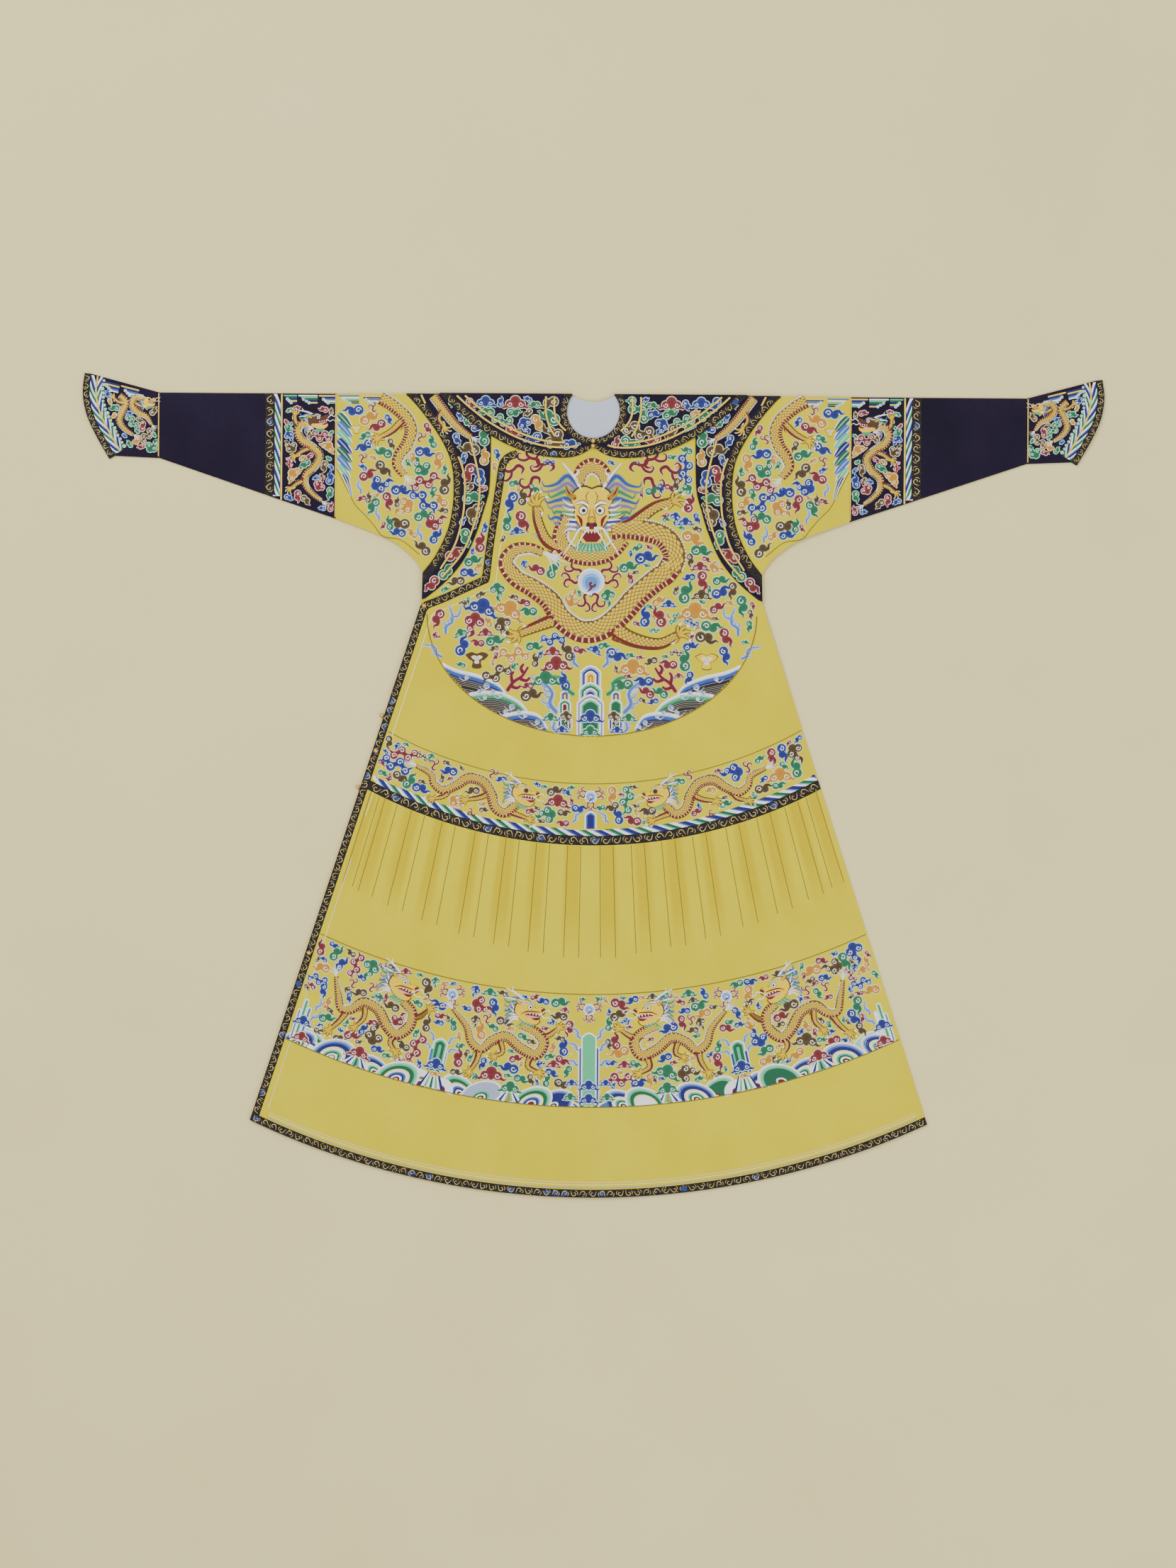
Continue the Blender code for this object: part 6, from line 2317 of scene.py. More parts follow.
def sew_scrolls(work: Needlework, line: Points, width: float, seed: int, blue: float = 0.06) -> None:
    """The brocade's gilt scrolls along an edging, with a little blue.

    Args:
        work: what they are sewn with.
        line: the middle of the edging.
        width: its width.
        seed: the seed of their turns.
        blue: the share of the pattern that is blue.
    """
    chance = random.Random(seed)
    length = length_of(line)
    pitch = width * 1.15
    count = max(2, int(length / pitch))
    path = even_steps(line, count + 1)
    gold = (0.66, 0.52, 0.18)
    for n in range(count):
        here = (path[n] + path[n + 1]) / 2
        along = path[n + 1] - path[n]
        turn = math.degrees(math.atan2(along[1], along[0])) + chance.choice((0, 180)) + chance.uniform(-14, 14)
        spot = Spot(float(here[0]), float(here[1]), width * 0.5, turn, chance.random() < 0.5)
        if chance.random() < blue:
            work.patch([(-0.8, -0.5), (0.1, -0.75), (0.8, -0.3), (0.6, 0.45), (-0.3, 0.7), (-0.9, 0.3)],
                       (0.018, 0.048, 0.20), 0.0, spot)
        wave = [(-1.0, 0.55), (-0.55, -0.45), (0.0, -0.62), (0.45, -0.2), (0.2, 0.28), (-0.18, 0.12)]
        shade = blend(gold, GOLD_THREAD_DULL, 0.1 + 0.5 * chance.random())
        work.stroke(wave, (0.08, 0.17, 0.17, 0.09), shade, 0.3, spot, gilt=True, pitch=2.0)
        work.stroke([(0.50, 0.75), (0.85, 0.35), (0.80, -0.25)], (0.06, 0.14, 0.06), shade, 0.3, spot, gilt=True,
                    pitch=2.2)
        if chance.random() < 0.6:
            work.dot(chance.uniform(-0.6, 0.6), chance.choice((-0.72, 0.72)), 0.13, shade, 0.3, spot, gilt=True)


def inside_drawn(outline: Points) -> Surface:
    """A test for points in a closed outline, for arrays of x and y in drawing units."""
    def test(x: Points, y: Points) -> Points:
        """True where the point lies in the outline."""
        return inside(np.stack([np.ravel(x), np.ravel(y)], 1), outline).reshape(np.shape(x))
    return test


def ground_in(outline: Points, count: int, margin: float) -> Ground:
    """The room in a closed outline, but for a margin along its edge, which is laid out at so many points."""
    ground = Ground(inside_drawn(outline), (*outline.min(0).tolist(), *outline.max(0).tolist()))
    ground.block(even_steps(np.vstack([outline, outline[:1]]), count), margin)
    return ground


ROUNDEL_CENTRE = 310.0
ROUNDEL_HALF = (233.0, 171.0)


@dataclass
class ChestNeedlework:
    """The front-facing dragon among clouds, over rocks and waves, on the chest."""

    seed: int = 11

    def roundel(self, count: int, inset: float) -> Points:
        """The lower edge of the roundel, from the wearer's left round to the right."""
        a = np.linspace(0, math.pi, count)
        return np.stack([(ROUNDEL_HALF[0] - inset) * np.cos(a),
                         ROUNDEL_CENTRE + (ROUNDEL_HALF[1] - inset) * np.sin(a)], 1)

    def outline(self) -> Points:
        """The field that is embroidered, in drawing units."""
        seam = drawn(armhole(60))
        seam = seam[(seam[:, 1] > 62)] + (-1.0, 0)
        flap = drawn(moved_in(flap_path(), EDGE_TRIM_WIDTH + 0.004))[::-1]
        collar = np.array([(-88, 84), (-52, 90), (-24, 88), (-3, 77), (3, 77), (24, 88), (52, 90), (88, 84),
                           (126, 70), (143, 62)])
        return np.vstack([seam, self.roundel(60, 1.0), flap, collar])

    def motifs(self, work: Needlework, ground: Ground) -> None:
        """The dragon, its pearl and the larger fixed shapes."""
        segments = (Dragon(((-36, 170), (-46, 200), (-33, 222), (-2, 229), (26, 221), (44, 202)), 24, (), 1,
                           (0.7, 0.9, 0.9, 0.8), False),
                    Dragon(((-21, 124), (-15, 107), (-1, 99), (13, 107), (20, 124)), 20, (), -1, (0.8, 1, 1, 0.8),
                           False),
                    Dragon(((26, 190), (60, 189), (98, 198), (115, 222), (110, 246)), 30,
                           (Limb(((24, 196), (54, 182), (86, 158), (112, 149)), (23, 12), 0),
                            Limb(((-40, 216), (-64, 206), (-77, 178), (-79, 156)), (17, 11), 0)),
                           1, (0.8, 0.95, 1, 1), False),
                    Dragon(((115, 232), (104, 250), (91, 259), (64, 282), (42, 307), (14, 329), (-15, 333),
                            (-42, 316), (-60, 290), (-84, 272), (-108, 258), (-122, 237), (-110, 219), (-88, 216),
                            (-70, 222)), 30,
                           (Limb(((24, 318), (48, 340), (92, 350), (122, 337)), (26, 11), 0),
                            Limb(((-40, 312), (-74, 325), (-103, 337)), (20, 11), 0)), -1,
                           (1, 1, 1, 1, 1, 0.97, 0.92, 0.84, 0.72, 0.55, 0.34)))
        for part, level in zip(segments, (2.2, 2.0, 3.4, 2.6)):
            part.place(work, ground, Spot(0, 0), level=level)
        sew_front_head(work, Spot(-1.4, 168, 41), 6.5)
        ground.block([(-1.4, 165), (-1.4, 190), (-1.4, 140)], 34)
        ground.block([(x, y) for x in (-52, -44, -34, 30, 40, 48) for y in (124, 140, 156, 172)], 15)
        ground.block([(-44, 104), (-36, 112), (33, 112), (41, 104), (0, 110), (0, 98)], 9)
        sew_pearl(work, Spot(-1.4, 262.7, 17), 1.2)
        ground.block([(-1.4, 262), (-26, 256), (24, 256), (-36, 262), (34, 262), (-1, 284), (-1, 294)], 14)
        for sign in (-1, 1):
            for x, y, turn in ((60, 108, 70), (84, 102, 40), (100, 112, 95), (74, 126, 120)):
                sew_flames(work, Spot(sign * x - 1.4, y, 1.9, sign * turn, sign > 0))
            ground.block([(sign * 82, 108), (sign * 66, 118), (sign * 100, 106)], 16)
            for x, y, size, turn in ((209, 336, 34, 35), (213, 372, 28, -30), (200, 318, 22, 60)):
                sew_spray(work, Spot(sign * x, y, size, -sign * turn, sign > 0), level=0.4)
                ground.block([(sign * (x - 6), y - 12), (sign * (x - 4), y - 2)], 11)
            sew_vessel(work, Spot(sign * 162, 374, 30))
            ground.block([(sign * 162, 374)], 17)
            sew_coral(work, Spot(sign * 104, 401, 46, sign * -42, sign < 0))
            ground.block([(sign * 104, 401), (sign * 92, 388), (sign * 116, 414)], 10)

    def rocks(self, work: Needlework, ground: Ground) -> None:
        """The rocks in the middle, with their sprays and clouds."""
        lilac, blue, green = blend(*Hue.LILAC.value, 0.3), DEEP_BLUE, DEEP_GREEN
        sky, mint = blend(SKY, WHITE, 0.2), MINT
        middle = -1.4
        for x, y, size, turn, silks in ((-20, 384, 30, 14, ()), (-52, 449, 52, 8, ()),
                                        (-26, 424, 36, 22, (green, mint)), (-50, 476, 26, 6, ())):
            for flip in (False, True):
                sew_spray(work, Spot(middle + (-x if flip else x), y, size, turn * (1 if flip else -1), flip), *silks)
        tiers = ((30, 380, 478, (WHITE, sky, blue, WHITE, GOLD, ORANGE, GOLD)),
                 (33, 404, 480, (WHITE, mint, green, WHITE, sky, blue, blue)),
                 (39, 421, 480, (WHITE, lilac, WHITE, mint, green, green, (0.006, 0.03, 0.03))))
        for n, (width, top, foot, shades) in enumerate(tiers):
            sew_spire(work, Spot(middle, 0), width, top, foot, shades, 1.2 + 1.4 * n, 2.3)
        for side in (-1, 1):
            for n, (width, top, shades) in enumerate(((13, 416, (WHITE, lilac, blue, GOLD, GOLD)),
                                                      (18, 428, (WHITE, mint, green, WHITE, RED, RED)),
                                                      (22, 446, (WHITE, sky, blue, WHITE, green)))):
                sew_spire(work, Spot(middle + side * 36, 0), width, top, 474 - 2 * n, shades, 1.2 + 1.3 * n, 1.6)
        clouds = ((0, 454, 8.2, Hue.BLUE, RUYI), (0, 474, 6.4, Hue.GREEN, RUYI), (-34, 452, 6, Hue.BROWN, TRAIL),
                  (33, 452, 6, Hue.BROWN, TRAIL), (-56, 455, 5.5, Hue.GREEN, RUYI), (54, 455, 5.5, Hue.GREEN, RUYI),
                  (-40, 472, 4.6, Hue.BLUE, RUYI), (38, 472, 4.6, Hue.BLUE, RUYI))
        for x, y, size, hue, kind in clouds:
            sew_cloud(work, Spot(x + middle, y, size), hue, kind, WHITE, 6.0)
        ground.block([(x, y) for x in range(-62, 63, 8) for y in range(424, 482, 8)], 8)
        ground.block([(x, y) for x in (-12, 0, 12) for y in range(380, 430, 8)], 12)

    def swells(self, work: Needlework, ground: Ground) -> None:
        """The standing waves at each side of the rocks."""
        blue = (blend(SKY, WHITE, 0.6), SKY, *[blend(SKY, DEEP_BLUE, 0.3)] * 2, DEEP_BLUE)
        green = (blend(MINT, WHITE, 0.4), MINT, *[blend(MINT, DEEP_GREEN, 0.5)] * 2, DEEP_GREEN)
        edge = self.roundel(200, 0.6)

        def keep(points: Points) -> Points:
            """The points that lie in the roundel."""
            return ((points[:, 0] / ROUNDEL_HALF[0]) ** 2
                    + ((points[:, 1] - ROUNDEL_CENTRE) / ROUNDEL_HALF[1]) ** 2) < 0.985

        for side in (-1, 1):
            crests = (([(219, 375), (192, 388), (160, 396), (132, 408), (120, 424)], blue),
                      ([(182, 424), (150, 419), (126, 421), (102, 433), (86, 452)], green),
                      ([(138, 456), (112, 449), (92, 447), (74, 452), (62, 470)], blue))
            for n, (crest, shades) in enumerate(crests):
                knots = [(side * x, y) for x, y in crest]
                knots = knots[::-1] if side > 0 else knots
                sew_swell(work, knots, keep, shades, (0.30, 0.26, 0.16), 1.0 + 1.1 * n)
            for x, y, size in ((148, 411, 4.4), (139, 419, 3.6), (158, 419, 3.6), (150, 427, 3.0), (128, 424, 3.0),
                               (112, 440, 4.2), (102, 447, 3.4), (121, 447, 3.4), (93, 452, 3.0), (76, 461, 3.6),
                               (68, 467, 2.8), (176, 399, 3.2)):
                work.dot(side * x, y, size, blend(SKY, WHITE, 0.5), 4.4)
                work.dot(side * x, y, size - 0.9, SKY, 4.8)
                work.curl(side * x, y, size * 0.8, 0 if side > 0 else 1, WHITE, 5.4, width=0.9)
                work.stroke([(side * x, y + size * 0.8), (side * (x + 5), y + size + 1), (side * (x + 11), y - 1)],
                            (1.6, 1.3, 0.3), blend(SKY, WHITE, 0.6), 4.6)
            ground.block([(side * x, y) for x in range(70, 226, 7) for y in range(380, 482, 7)
                          if y > 372 + (226 - x) * 0.50], 9)
        sew_line(work, edge, 1.3, LINE_BROWN, 5.0)

    def make(self) -> list[bpy.types.Object]:
        """Sews the chest."""
        work = Needlework("chest_needlework", body_top)
        outline = self.outline()
        ground = ground_in(outline, 500, 2.2)
        self.swells(work, ground)
        self.rocks(work, ground)
        self.motifs(work, ground)
        fixed = ((-1.4, 304, 6.2, Hue.CRIMSON), (-55, 362, 6.0, Hue.CRIMSON), (52, 363, 6.0, Hue.CRIMSON),
                 (-150, 336, 5.4, Hue.CRIMSON), (152, 241, 6.0, Hue.CRIMSON), (-94, 172, 5.2, Hue.BLUE),
                 (131, 178, 5.4, Hue.BLUE), (108, 294, 5.0, Hue.BLUE))
        for x, y, size, hue in fixed:
            place_cloud(work, ground, Spot(x, y, size), hue, RUYI)
        spread_clouds(work, ground, (10.4, 9.2, 8.2, 7.2, 6.3, 5.4, 4.5, 3.8), 1500, self.seed, wobble=30, reach=0.2)
        return [work.sew()]


def arc_line(arc: tuple[float, float], inset: float, down: float = 0.0) -> Points:
    """An arc across the robe in drawing units, from the right side's trim to the left side."""
    moved = lower(arc, down)
    half = arc_half(moved, EDGE_TRIM_WIDTH)
    x = np.linspace(-half + inset, arc_half(moved, inset), 400)
    return drawn(np.stack([x, arc_y(moved, x)], 1))


def between_arcs(top: tuple[float, float], foot: tuple[float, float], margin: float) -> Surface:
    """A test for drawing-unit points between two arcs and inside the sides, with a margin in metres."""
    def test(x: Points, y: Points) -> Points:
        """True where the point is free."""
        px, py = np.asarray(x) * UNIT, -np.asarray(y) * UNIT
        left = side_x(py) - margin - EDGE_TRIM_WIDTH * (px < 0)
        near = np.clip(px, -0.8, 0.8)
        return (py < arc_y(top, near) - margin) & (py > arc_y(foot, near) + margin) & (np.abs(px) < left)
    return test


def piping_line() -> Points:
    """The line of pale piping inside the edging of the flap and the side."""
    return drawn(moved_in(front_edge(lower(HEM_ARC, -0.030)), EDGE_TRIM_WIDTH + 0.0115))


def arc_turn(x: float, radius: float) -> float:
    """How far in degrees something upright turns on an arc of this radius at x."""
    return -math.degrees(math.asin(max(-1, min(1, x / radius))))


@dataclass
class InnerPatchNeedlework:
    """The clouds on the inner front that show between the flap and the right wing."""

    seed: int = 5

    def make(self) -> list[bpy.types.Object]:
        """Sews the clouds."""
        work = Needlework("inner_front_needlework", inner_top)
        seam = drawn(armhole(60)) * (-1, 1)
        seam = seam[seam[:, 1] > 66]
        outline = np.vstack([drawn(flap_path()), seam[::-1]])
        ground = ground_in(outline, 300, 1.2)
        spread_clouds(work, ground, (9.0, 8.0, 7.0, 6.0, 5.0, 4.0), 2500, self.seed, wobble=40, reach=0.2)
        return [work.sew()]


@dataclass
class WaistNeedlework:
    """The waistband's pair of dragons, its clouds and the striped water along its foot."""

    seed: int = 23

    def make(self) -> list[bpy.types.Object]:
        """Sews the waistband."""
        work = Needlework("waistband_needlework", body_top)
        ground = Ground(between_arcs(BAND_TOP_ARC, lower(WAIST_TRIM_TOP_ARC, -0.011), 0.003), (-300, 470, 300, 622))
        sew_line(work, arc_line(BAND_TOP_ARC, 0.002), 1.2, LINE_BROWN, 0.4)
        water = arc_line(WAIST_TRIM_TOP_ARC, 0.002, down=-0.0062)
        sew_line(work, arc_line(WAIST_TRIM_TOP_ARC, 0.002, down=-0.0115), 1.4, GOLD_LINE, 0.6)
        sew_stripes(work, water, 9.4, 40.0, 9.0, 0.4)
        dragon = Dragon(((104, 577), (120, 589), (134, 582), (141, 562), (152, 546), (172, 541), (190, 551),
                         (208, 558), (221, 549), (226, 535), (246, 524)), 14,
                        (Limb(((120, 586), (103, 592), (88, 598)), (8, 5), 0, 1.3),
                         Limb(((140, 560), (156, 568), (176, 571)), (8, 5), 0, 1.3),
                         Limb(((196, 553), (206, 566), (222, 570)), (7, 4.5), 0, 1.2)), 1)
        for flip in (False, True):
            here = Spot(0, 0, 1, 0, flip)
            dragon.place(work, ground, here, 1)
            sign = -1 if flip else 1
            sew_side_head(work, Spot(sign * 92, 562, 33, -sign * 14, flip), 4.6)
            ground.block([(sign * x, y) for x, y in ((78, 566), (92, 560), (106, 556), (118, 560))], 13)
            for x, y, turn, size in ((218, 528, 0, 0.9), (138, 540, -30, 0.8), (163, 590, 60, 0.7)):
                sew_flames(work, Spot(sign * x, y, size, sign * turn, flip))
                ground.block([(sign * (x + 3), y - 5)], 8)
            sew_spray(work, Spot(sign * 24, 603, 19, -sign * 20, flip))
            ground.block([(sign * 22, 596)], 9)
        sew_pearl(work, Spot(0, 566, 8), 1.2)
        ground.block([(0, 566), (-14, 564), (14, 564)], 11)
        sew_spire(work, Spot(0, 0), 17, 586, 611, (WHITE, SKY, DEEP_BLUE, GOLD), 1.2, 2.0)
        ground.block([(0, 592), (0, 604)], 9)
        spread_clouds(work, ground, (9.2, 8.1, 7.1, 6.2, 5.3, 4.4, 3.6), 3000, self.seed,
                      lambda x, y: arc_turn(x, 620), wobble=25, reach=0.2)
        return [work.sew()]


# The arc along the foot of the skirt's band, and the one that its rocks stand upright on
BAND_FOOT_DEPTH = 1003.7
BAND_FOOT_RADIUS = 1020.7
BAND_TURN_RADIUS = 1021


@dataclass
class SkirtNeedlework:
    """The skirt's band of dragons over rocks and rolling waves, sewn as a left and a right half."""

    seed: int = 41

    @staticmethod
    def foot(x: float) -> Spot:
        """The spot on the band's foot at x, upright on its arc."""
        y = BAND_FOOT_DEPTH - BAND_FOOT_RADIUS + math.sqrt(BAND_FOOT_RADIUS ** 2 - x * x)
        return Spot(x, y - 1.5, 1, arc_turn(x, BAND_TURN_RADIUS))

    @staticmethod
    def rays(work: Needlework, foot: Spot, tones: Sequence[Colour], top: tuple[float, float, float],
             spread: tuple[float, float], level: float) -> None:
        """Bands of silk that fan out from a rock's top to its foot.

        Args:
            work: what they are sewn with.
            foot: the rock's foot.
            tones: the bands' colours from left to right.
            top: how wide they stand at the top, half a band's width there, and its height.
            spread: the same two widths at the foot.
            level: their layer.
        """
        (high, half, y), (wide, thick) = top, spread
        for k, tone in enumerate(tones):
            q = (k - (len(tones) - 1) / 2) / len(tones)
            work.patch([(q * high - half, y), (q * high + half, y), (q * wide + thick, 0), (q * wide - thick, 0)],
                       tone, level, foot)

    def rock(self, work: Needlework, ground: Ground, x: float, depth: float) -> None:
        """A rock that stands in striped water, with clouds at its foot."""
        foot = self.foot(x)
        bands = (WHITE, MINT, blend(MINT, WHITE, 0.5), BROWN, blend(*Hue.ORANGE.value, 0.5), WHITE, RED, RED)
        a = np.linspace(0, math.pi, 16)
        for lean in (-1, 1):
            for k, tone in enumerate(bands):
                half, rise = 27 - 2.9 * k, 19 - 1.9 * k
                ring = np.stack([lean * 15 + half * 0.62 * np.cos(a), -rise * np.sin(a) ** 0.8], 1)
                work.patch(ring.tolist(), tone, 1.2 + 0.1 * k, Spot(foot.x, foot.y, 1, foot.turn + lean * 6))
        self.rays(work, foot, (DEEP_BLUE, WHITE, MINT, WHITE, DEEP_GREEN, WHITE, MINT, WHITE, DEEP_BLUE),
                  (14, 1.3, -22), (36, 2.4), 2.5)
        sew_spire(work, foot, 21, -depth, -24, (WHITE, MINT, DEEP_GREEN, DEEP_GREEN, MINT), 2.8, 2.1)
        for side in (-1, 1):
            sew_spire(work, foot.near(side * 10, 0, 1, foot.turn), 6, -depth + 16, -24, (WHITE, SKY, DEEP_BLUE),
                      2.6, 1.2)
            for rise, lean in ((-depth + 8, 24), (-depth + 20, 48)):
                sew_spray(work, foot.near(side * 9, rise, 17, foot.turn + side * lean, side > 0))
        sew_cloud(work, foot.near(0, -33, 7.2, foot.turn), Hue.BLUE, RUYI, WHITE, 4.5)
        sew_cloud(work, foot.near(0, -20, 4.6, foot.turn), Hue.ORANGE, WISP, WHITE, 4.2)
        for rise in np.arange(0, depth + 8, 5):
            ground.block(foot.at([(0, -rise), (-10, -rise), (10, -rise)]), 9)

    def low_rock(self, work: Needlework, ground: Ground, x: float, hue: Hue, core: Colour) -> None:
        """A small striped rock under a cloud, between two waves."""
        foot = self.foot(x)
        self.rays(work, foot, (WHITE, DEEP_BLUE, WHITE, MINT, core, MINT, WHITE, DEEP_BLUE, WHITE),
                  (10, 1.0, -15), (38, 2.3), 2.6)
        sew_cloud(work, foot.near(0, -19, 7.4, foot.turn), hue, RUYI, WHITE, 4.5)
        ground.block(foot.at([(0, -4), (0, -12), (0, -20), (-13, -16), (13, -16)]), 11)

    def waves(self, work: Needlework, ground: Ground, sign: int) -> None:
        """The rolling waves along the band's foot."""
        strip = ArcSpot(BAND_FOOT_DEPTH, BAND_FOOT_RADIUS)
        green = (WHITE, blend(MINT, WHITE, 0.3), MINT, DEEP_GREEN, DEEP_GREEN, PALE_LINE, WHITE, SKY, DEEP_BLUE,
                 WHITE, RED, PALE_LINE)
        blue = (WHITE, blend(SKY, WHITE, 0.35), SKY, DEEP_BLUE, DEEP_BLUE, PALE_LINE, WHITE, MINT, DEEP_GREEN,
                WHITE, BROWN, PALE_LINE)
        humps = ((24, 22, 17), (50, 27, 25), (82, 28, 27), (98, 18, 15), (132, 22, 18), (154, 28, 27),
                 (182, 27, 28), (256, 24, 24), (276, 30, 29), (306, 26, 24), (346, 22, 20), (372, 30, 31),
                 (402, 28, 28), (424, 22, 24))
        for n, (middle, half, height) in enumerate(humps):
            shades = green if n % 2 == 0 else blue
            sew_arches(work, strip, sign * middle, half, height, shades, 0.3 + 0.9 * (n % 3),
                       sign * (-12.0 if n % 3 else 12.0))
        for along in np.arange(-8, 440, 7.0):
            ground.block(strip.at([(sign * along, -9)]), 15)

    def half(self, sign: int) -> bpy.types.Object:
        """Sews one half of the band."""
        name = "left" if sign > 0 else "right"
        work = Needlework(f"skirt_needlework_{name}", skirt_top)
        test = between_arcs(SKIRT_BAND_TOP_ARC, SKIRT_BAND_FOOT_ARC, 0.003)
        ground = Ground(lambda x, y: test(x, y) & (x * sign > -2), (-445, 735, 445, 1005))
        flip = sign < 0
        here = Spot(0, 0, 1, 0, flip)
        first = Dragon(((96, 888), (74, 899), (64, 914), (75, 930), (96, 921), (116, 905), (136, 910), (152, 922),
                        (166, 912), (173, 890), (192, 866)), 14.5,
                       (Limb(((78, 903), (60, 904), (43, 893)), (9, 5), 0, 1.35),
                        Limb(((80, 928), (86, 946), (72, 955)), (9, 5), 0, 1.35),
                        Limb(((126, 908), (122, 926), (132, 932)), (8, 5), 0, 1.2),
                        Limb(((154, 920), (158, 938), (168, 953)), (9, 5), 0, 1.35)), 1)
        second = Dragon(((262, 856), (250, 872), (254, 892), (272, 903), (286, 890), (298, 868), (318, 858),
                         (336, 868), (350, 866), (354, 846), (357, 822)), 14.5,
                        (Limb(((254, 876), (240, 878), (226, 868)), (9, 5), 0, 1.35),
                         Limb(((272, 900), (280, 914), (274, 926)), (9, 5), 0, 1.35),
                         Limb(((316, 862), (318, 880), (330, 892)), (8, 5), 0, 1.2),
                         Limb(((340, 868), (352, 884), (366, 896)), (9, 5), 0, 1.35)), 1)
        for dragon in (first, second):
            dragon.place(work, ground, here, 1.5)
        for x, y, turn in ((84, 868, -12), (262, 834, -26)):
            sew_side_head(work, Spot(sign * x, y, 37, sign * turn, flip), 4.6)
            ground.block([(sign * (x + a), y + b) for a, b in ((-14, 4), (0, 0), (14, -2), (26, -4))], 14)
        for x, y, size in ((193, 846, 7.5), (1.5, 866, 7.5)):
            if x > 100 or sign > 0:
                sew_pearl(work, Spot(sign * x if x > 100 else 0, y, size), 1.2)
            ground.block([(sign * x, y), (sign * (x - 13), y), (sign * (x + 13), y)], 11)
        for x, y, turn, size in ((305, 842, -20, 0.8), (140, 884, 10, 0.8), (330, 836, 0, 0.8)):
            sew_flames(work, Spot(sign * x, y, size, sign * turn, flip))
            ground.block([(sign * (x + 3), y - 5)], 7)
        self.waves(work, ground, sign)
        self.rock(work, ground, sign * 223, 72)
        self.low_rock(work, ground, sign * 113, Hue.GREEN, ORANGE)
        self.low_rock(work, ground, sign * 330, Hue.CRIMSON, DEEP_GREEN)
        if sign > 0:
            self.middle(work)
        ground.block([(sign * 5, y) for y in range(890, 1004, 5)], 17)
        self.side_rock(work, ground, sign)
        clouds = ((383, 826, Hue.BLUE, CHAIN, 6.6), (140, 843, Hue.GREEN, RUYI, 5.2), (86, 848, Hue.BLUE, RUYI, 5.2),
                  (35, 884, Hue.GREEN, RUYI, 4.6), (220, 862, Hue.GREEN, RUYI, 5.2), (262, 926, Hue.BLUE, RUYI, 5.4),
                  (50, 944, Hue.CRIMSON, RUYI, 5.0), (386, 808, Hue.ORANGE, RUYI, 4.8),
                  (152, 872, Hue.BLUE, TRAIL, 5.0), (211, 886, Hue.BLUE, WISP, 5.2))
        for x, y, hue, kind, size in clouds:
            place_cloud(work, ground, Spot(sign * x, y, size, arc_turn(sign * x, 960), flip), hue, kind)
        spread_clouds(work, ground, (9.0, 8.0, 7.0, 6.1, 5.2, 4.4, 3.6), 2200, self.seed + sign,
                      lambda x, y: arc_turn(x, 960), wobble=25, reach=0.2)
        chance = random.Random(self.seed)
        for _ in range(900):
            x, y = sign * chance.uniform(10, 430), chance.uniform(860, 990)
            drop = np.array([(x, y), (x + 2, y), (x - 2, y), (x, y + 2), (x, y - 2)])
            if chance.random() < 0.25 and ground.fits(drop):
                work.dot(x, y, chance.uniform(1.0, 2.0), WHITE, 0.5, rim=blend(WHITE, SKY, 0.3), crown=0.05)
                ground.block([(x, y)], 4.5)
        for arc in (SKIRT_BAND_TOP_ARC, SKIRT_BAND_FOOT_ARC):
            line = arc_line(arc, 0.002)
            sew_line(work, line[line[:, 0] * sign > -1], 1.3, LINE_BROWN, 4.0 if arc == SKIRT_BAND_FOOT_ARC else 0.3)
        return work.sew()

    def middle(self, work: Needlework) -> None:
        """The tall rock in the middle, with its sprays and clouds."""
        for side in (-1, 1):
            for rise, lean in ((908, 18), (926, 34), (946, 52)):
                sew_spray(work, Spot(side * 13, rise, 20, side * lean, side > 0))
            sew_spire(work, Spot(side * 11, 0), 8, 918, 1000, (WHITE, SKY, DEEP_BLUE), 1.6, 1.4)
            left, right = side * 17 - 1.6, side * 17 + 1.6
            for k, tone in enumerate((ORANGE, GOLD_LINE, ORANGE)):
                high, low = 966 + 11 * k, 974 + 11 * k
                work.patch([(left, high), (right, high), (right, low), (left, low)], tone, 1.6)
        sew_spire(work, Spot(0, 0), 22, 898, 1001, (WHITE, MINT, DEEP_GREEN, WHITE, RED, RED), 2.2, 2.0)
        for x, y, size, hue in ((0, 974, 6.4, Hue.BLUE), (0, 993, 6.4, Hue.BLUE), (26, 990, 4.8, Hue.GREEN),
                                (-26, 990, 4.8, Hue.GREEN), (24, 970, 4.2, Hue.BLUE), (-24, 970, 4.2, Hue.BLUE)):
            sew_cloud(work, Spot(x, y, size), hue, RUYI, WHITE, 5.0)

    def side_rock(self, work: Needlework, ground: Ground, sign: int) -> None:
        """The half rock against the side of the skirt."""
        x = 424 - (10 if sign < 0 else 0)
        slant = sign * -18.0
        spot = Spot(sign * x, 907, 1, slant, sign < 0)
        blue = (WHITE, SKY, DEEP_BLUE)
        for n, (off, wide, top, shades) in enumerate(((0, 7, -56, (WHITE, MINT, DEEP_GREEN)), (-7, 6, -46, blue),
                                                      (6, 5, -40, blue))):
            sew_spire(work, spot.near(off, 0, 1, slant, sign < 0), wide, top, 4, shades, 2.6 + 0.2 * n, 1.5)
        for off, rise, hue, size in ((-3, -24, Hue.BLUE, 6.2), (-8, -2, Hue.CRIMSON, 6.0)):
            sew_cloud(work, spot.near(off, rise, size, slant), hue, RUYI, WHITE, 4.0)
        for off, rise, lean in ((-14, -44, 30), (-12, -30, 55)):
            sew_spray(work, spot.near(off, rise, 18, slant - sign * lean, sign > 0))
        ground.block(np.vstack([spot.at([(off, rise)]) for off in (-12, -4, 4) for rise in range(-58, 6, 6)]), 9)

